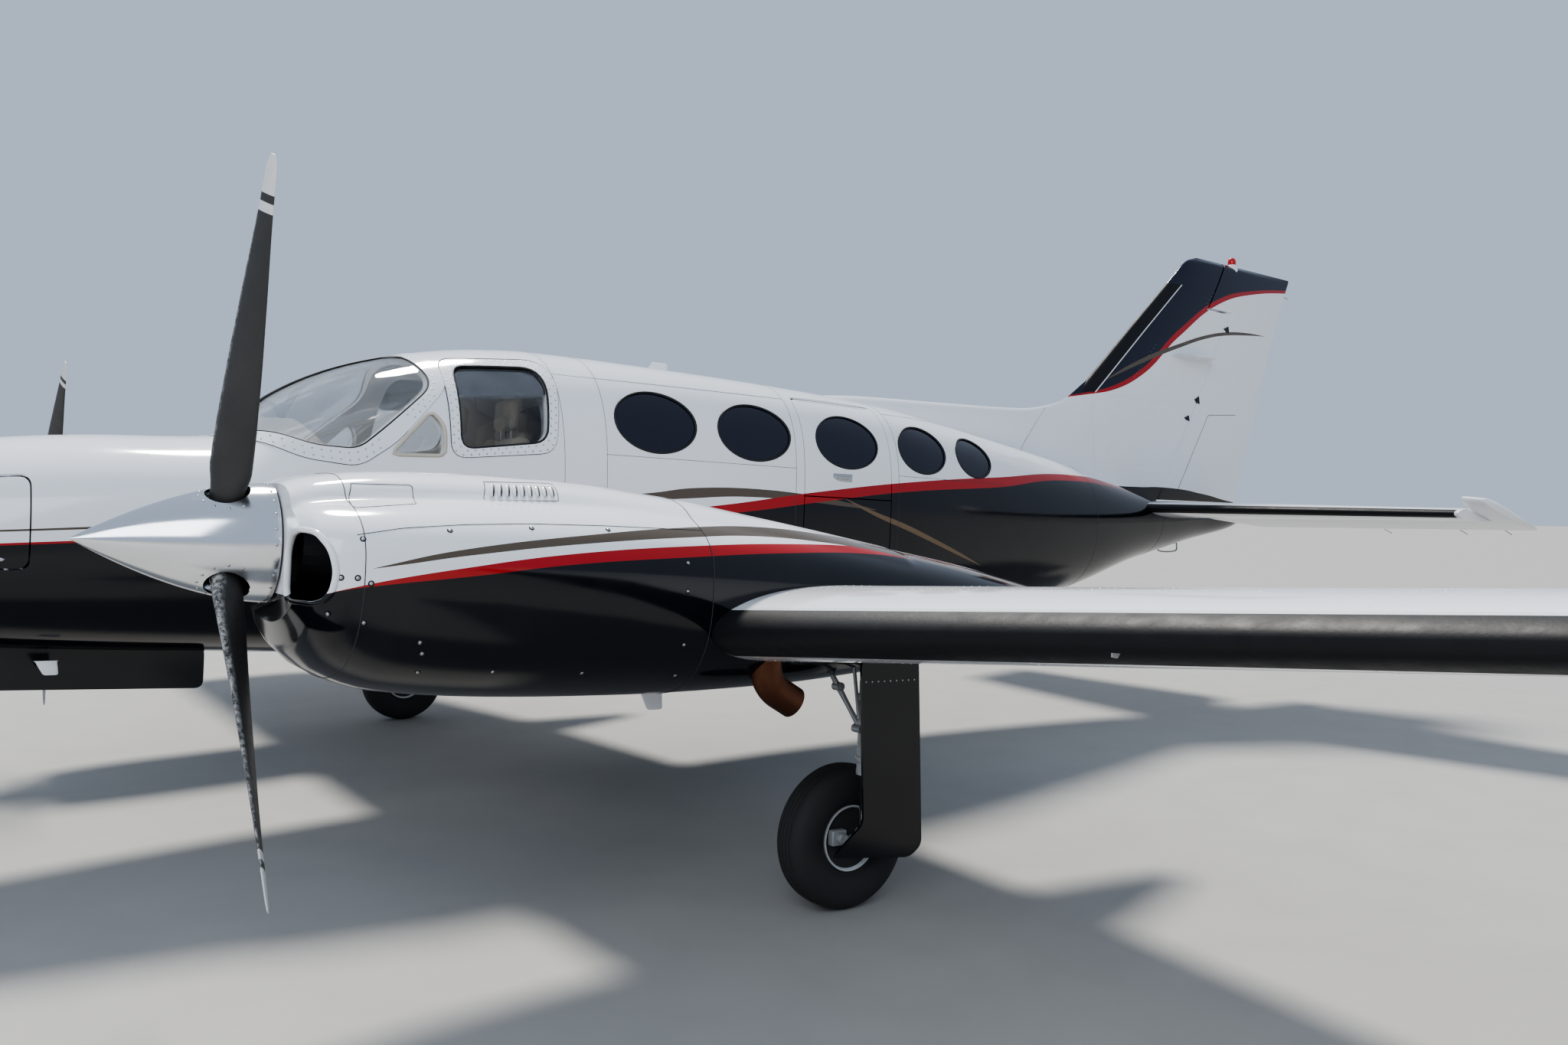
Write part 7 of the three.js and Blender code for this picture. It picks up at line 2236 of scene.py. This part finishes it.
hood = loft("hood", [hood_ring(y, top) for y, top in HOOD_TOPS])
hood = solve(hood, [hull_between(450, 1000, WALL + 1)[0]], "INTERSECT")
pedestal = box_round(-108, 108, 802, 938, FLOOR_TOP + 1, 1344, 12)
finish_piece(shade(gather("panel", [board, pedestal])), "panel_board", "airframe", panel_black,
             ["instrument_panel"])
finish_piece(shade(hood), "glareshield", "airframe", cream_trim)
DIALS = [(x + row, z, 36) for x in (-480, -390, -300, 300, 390, 480) for row, z in ((0, 1608), (0, 1516))]
DIALS += [(x, z, 24) for x in (-150, -90, 90, 150) for z in (1620, 1560, 1500)]
bezels, faces, needles = [], [], []
for k, (x, z, radius) in enumerate(DIALS):
    rim = [(radius - 5, 0), (radius, 0), (radius, 5), (radius - 2, 7), (radius - 5, 5)]
    bezels.append(turned(rim, "y", (x, 877, z), 32))
    faces.append(turned([(0, 0), (radius - 4, 0), (radius - 4, 2.5), (0, 2.5)], "y", (x, 877, z), 32))
    turn = 2.399 * k
    needles.append([(x + reach * math.sin(turn), 881, z + reach * math.cos(turn))
                    for reach in (-4, radius - 10)])
finish_piece(shade(gather("bezels", bezels)), "dial_bezels", "airframe", panel_black)
finish_piece(shade(gather("faces", faces)), "dial_faces", "airframe", dial_face)
thin_lines("dial_needles", "airframe", needles, 1.4, white_gloss, sides=6)
compass = turned([(0, -36), (22, -34), (30, -22), (30, 16), (24, 26), (0, 28)], "y", (0, 700, 1728), 32)
stand = prism([(670, 1688), (730, 1688), (720, 1712), (680, 1712)], "x", -10, 10, "stand")
finish_piece(shade(gather("compass", [compass, stand])), "compass", "airframe", panel_black)
for side, sign in (("port", 1), ("starboard", -1)):
    x = sign * 340
    yoke = curve_through(YOKE, 40) + (x, 0, 0)
    thin_lines(f"control_wheel_{side}", "airframe", [yoke], 11, panel_black, sides=12)
    column = [(x, 876, 1440), (x, 994, 1440)]
    thin_lines(f"control_column_{side}", "airframe", [column], 14, steel, sides=14)
levers = [[(x, 900, 1340), (x, 930, 1400)] for x in (-45, -27, -9, 9, 27, 45)]
thin_lines("power_levers", "airframe", levers, 4, steel)
stud_rows("lever_knobs", "airframe", [lever[1] for lever in levers], [(0, 0.5, 1)] * 6, boot_rubber,
          10, 9, sides=16)
print("dials", len(DIALS))

# %% [markdown]
# ## Seats
# Each seat is a leather cushion, a back and a headrest on a steel frame. A pad starts as a block with rounded
# edges, a little small, and Blender's cloth simulation blows it up until its faces crown and its sides pull in
# between the corners. The three shapes are simulated once and copied to all six seats, each in its own place.

# %% Padded shapes by cloth simulation
PAD_VOXEL, PAD_PRESSURE, PAD_FRAMES, PAD_CAP, PAD_SMALLER = 0.0085, 4.0, 16, 0.016, 0.012


def pad_form(name, x, y, z, channels=()):
    """A pad of that size in metres, centred on the origin, puffed up and sewn across."""
    x, y, z = (size / 2 - PAD_SMALLER for size in (x, y, z))
    made = box_round(-x, x, -y, y, -z, z, 0.026, 4, name)
    remesh = made.modifiers.new("remesh", "REMESH")
    remesh.mode, remesh.voxel_size = "VOXEL", PAD_VOXEL
    graph = bpy.context.evaluated_depsgraph_get()
    flat = bpy.data.meshes.new_from_object(made.evaluated_get(graph))
    made.modifiers.clear()
    made.data = flat
    rest = np.empty(len(flat.vertices) * 3)
    flat.vertices.foreach_get("co", rest)
    cloth = made.modifiers.new("cloth", "CLOTH")
    cloth.settings.use_pressure, cloth.settings.uniform_pressure_force = True, PAD_PRESSURE
    cloth.settings.effector_weights.gravity = 0
    cloth.settings.quality = 4
    cloth.point_cache.frame_start, cloth.point_cache.frame_end = 1, PAD_FRAMES
    for frame_number in range(1, PAD_FRAMES + 1):
        bpy.context.scene.frame_set(frame_number)
    graph = bpy.context.evaluated_depsgraph_get()
    puffed = bpy.data.meshes.new_from_object(made.evaluated_get(graph))
    made.modifiers.clear()
    bpy.context.scene.frame_set(1)
    moved = np.empty(len(puffed.vertices) * 3)
    puffed.vertices.foreach_get("co", moved)
    shift = (moved - rest).reshape(-1, 3)
    size = np.linalg.norm(shift, axis=1)[:, None] + 1e-9
    shift *= np.minimum(size, PAD_CAP) / size
    made.data = puffed
    places = rest.reshape(-1, 3) + shift
    for axis, line in channels:
        pinch = np.exp(-((places[:, axis] - line) / 0.007) ** 2)
        places *= 1 - 0.055 * pinch[:, None] * (np.arange(3) != axis)
    puffed.vertices.foreach_set("co", places.ravel())
    puffed.update()
    made.data.shade_smooth()
    return made


seat_leather = matte("seat_leather", (0.42, 0.37, 0.29), 0.5, 420.0, 0.0005, 0.82, 9.0)
cushion_form = pad_form("cushion", 0.46, 0.42, 0.14, [(0, -0.11), (0, 0.11)])
back_form = pad_form("back", 0.45, 0.11, 0.52, [(0, -0.1), (0, 0.1), (2, 0.12)])
head_form = pad_form("head", 0.24, 0.085, 0.18)
print("pads", [len(p.data.polygons) for p in (cushion_form, back_form, head_form)])

# %% Six seats
SEATS = {"crew": (340, 1330, 1, FLOOR_TOP + 1), "aft_facing": (390, 2560, -1, FLOOR_TOP + 10),
         "rear": (390, 2850, 1, FLOOR_TOP + 10)}


def placed_pad(form, place, tilt):
    """A copy of a pad, in level millimetres."""
    mesh = form.data.copy()
    mesh.transform(Matrix.Translation(place) @ Matrix.Rotation(tilt, 4, "X") @ Matrix.Scale(1000, 4))
    made = bpy.data.objects.new("pad", mesh)
    bpy.context.scene.collection.objects.link(made)
    return made


for row, (x, y, facing, low) in SEATS.items():
    for side, sign in (("port", 1), ("starboard", -1)):
        centre, back_y = sign * x, y + facing * 425
        node = f"crew_seat_{side}" if row == "crew" else f"cabin_seats_{side}"
        pads = {"cushion": placed_pad(cushion_form, (centre, y + facing * 205, 1316), facing * 0.05),
                "back": placed_pad(back_form, (centre, back_y - facing * 8, 1630), -facing * 0.06),
                "headrest": placed_pad(head_form, (centre, back_y, 1982), -facing * 0.04)}
        for part, pad in pads.items():
            piece = finish_piece(pad, f"{row}_{part}_{side}", "airframe", seat_leather,
                                 [node] if part == "cushion" and row != "rear" else ())
        runner, tray = (sorted((y + facing * start, y + facing * 400)) for start in (26, 30))
        frame_parts = [box_round(foot - 12, foot + 12, *runner, low, 1256, 5)
                       for foot in (centre - 175, centre + 175)]
        frame_parts.append(box_round(centre - 190, centre + 190, *tray, 1236, 1262, 6))
        frame_parts += [rod((post, back_y, 1850), (post, back_y, 1930), 6, sides=16)
                        for post in (centre - 60, centre + 60)]
        finish_piece(shade(gather("seat_frame", frame_parts)), f"{row}_seat_frame_{side}", "airframe",
                     strut_paint)
for form in (cushion_form, back_form, head_form):
    bpy.data.objects.remove(form)
print("seats", len(SEATS) * 2)

# %% Sun shades, and finishes for the solids that stay
shade_plastic = glass("shade_plastic", (0.03, 0.03, 0.035), 0.35)
SHADE_OUTLINE = [(1396, 2030), (1828, 2062), (1838, 2135), (1800, 2215), (1400, 2190)]
sun_shade = pane(rounded(SHADE_OUTLINE, 40), 1, 300, 14, 3)
finish_pair(sun_shade, "sun_shade", "airframe", shade_plastic)
KEPT = {"cabin_floor": carpet, "engine_port": casting, "engine_starboard": casting}
for node, finish in KEPT.items():
    held = frame["nodes"][node]
    held.data.materials.clear()
    held.data.materials.append(finish)
print("kept solids", list(KEPT), "all replaced otherwise:", len(frame["nodes"]))

# %% Finish
low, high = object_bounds()
print("triangles", sum(made_pieces.values()), "pieces", len(made_pieces))
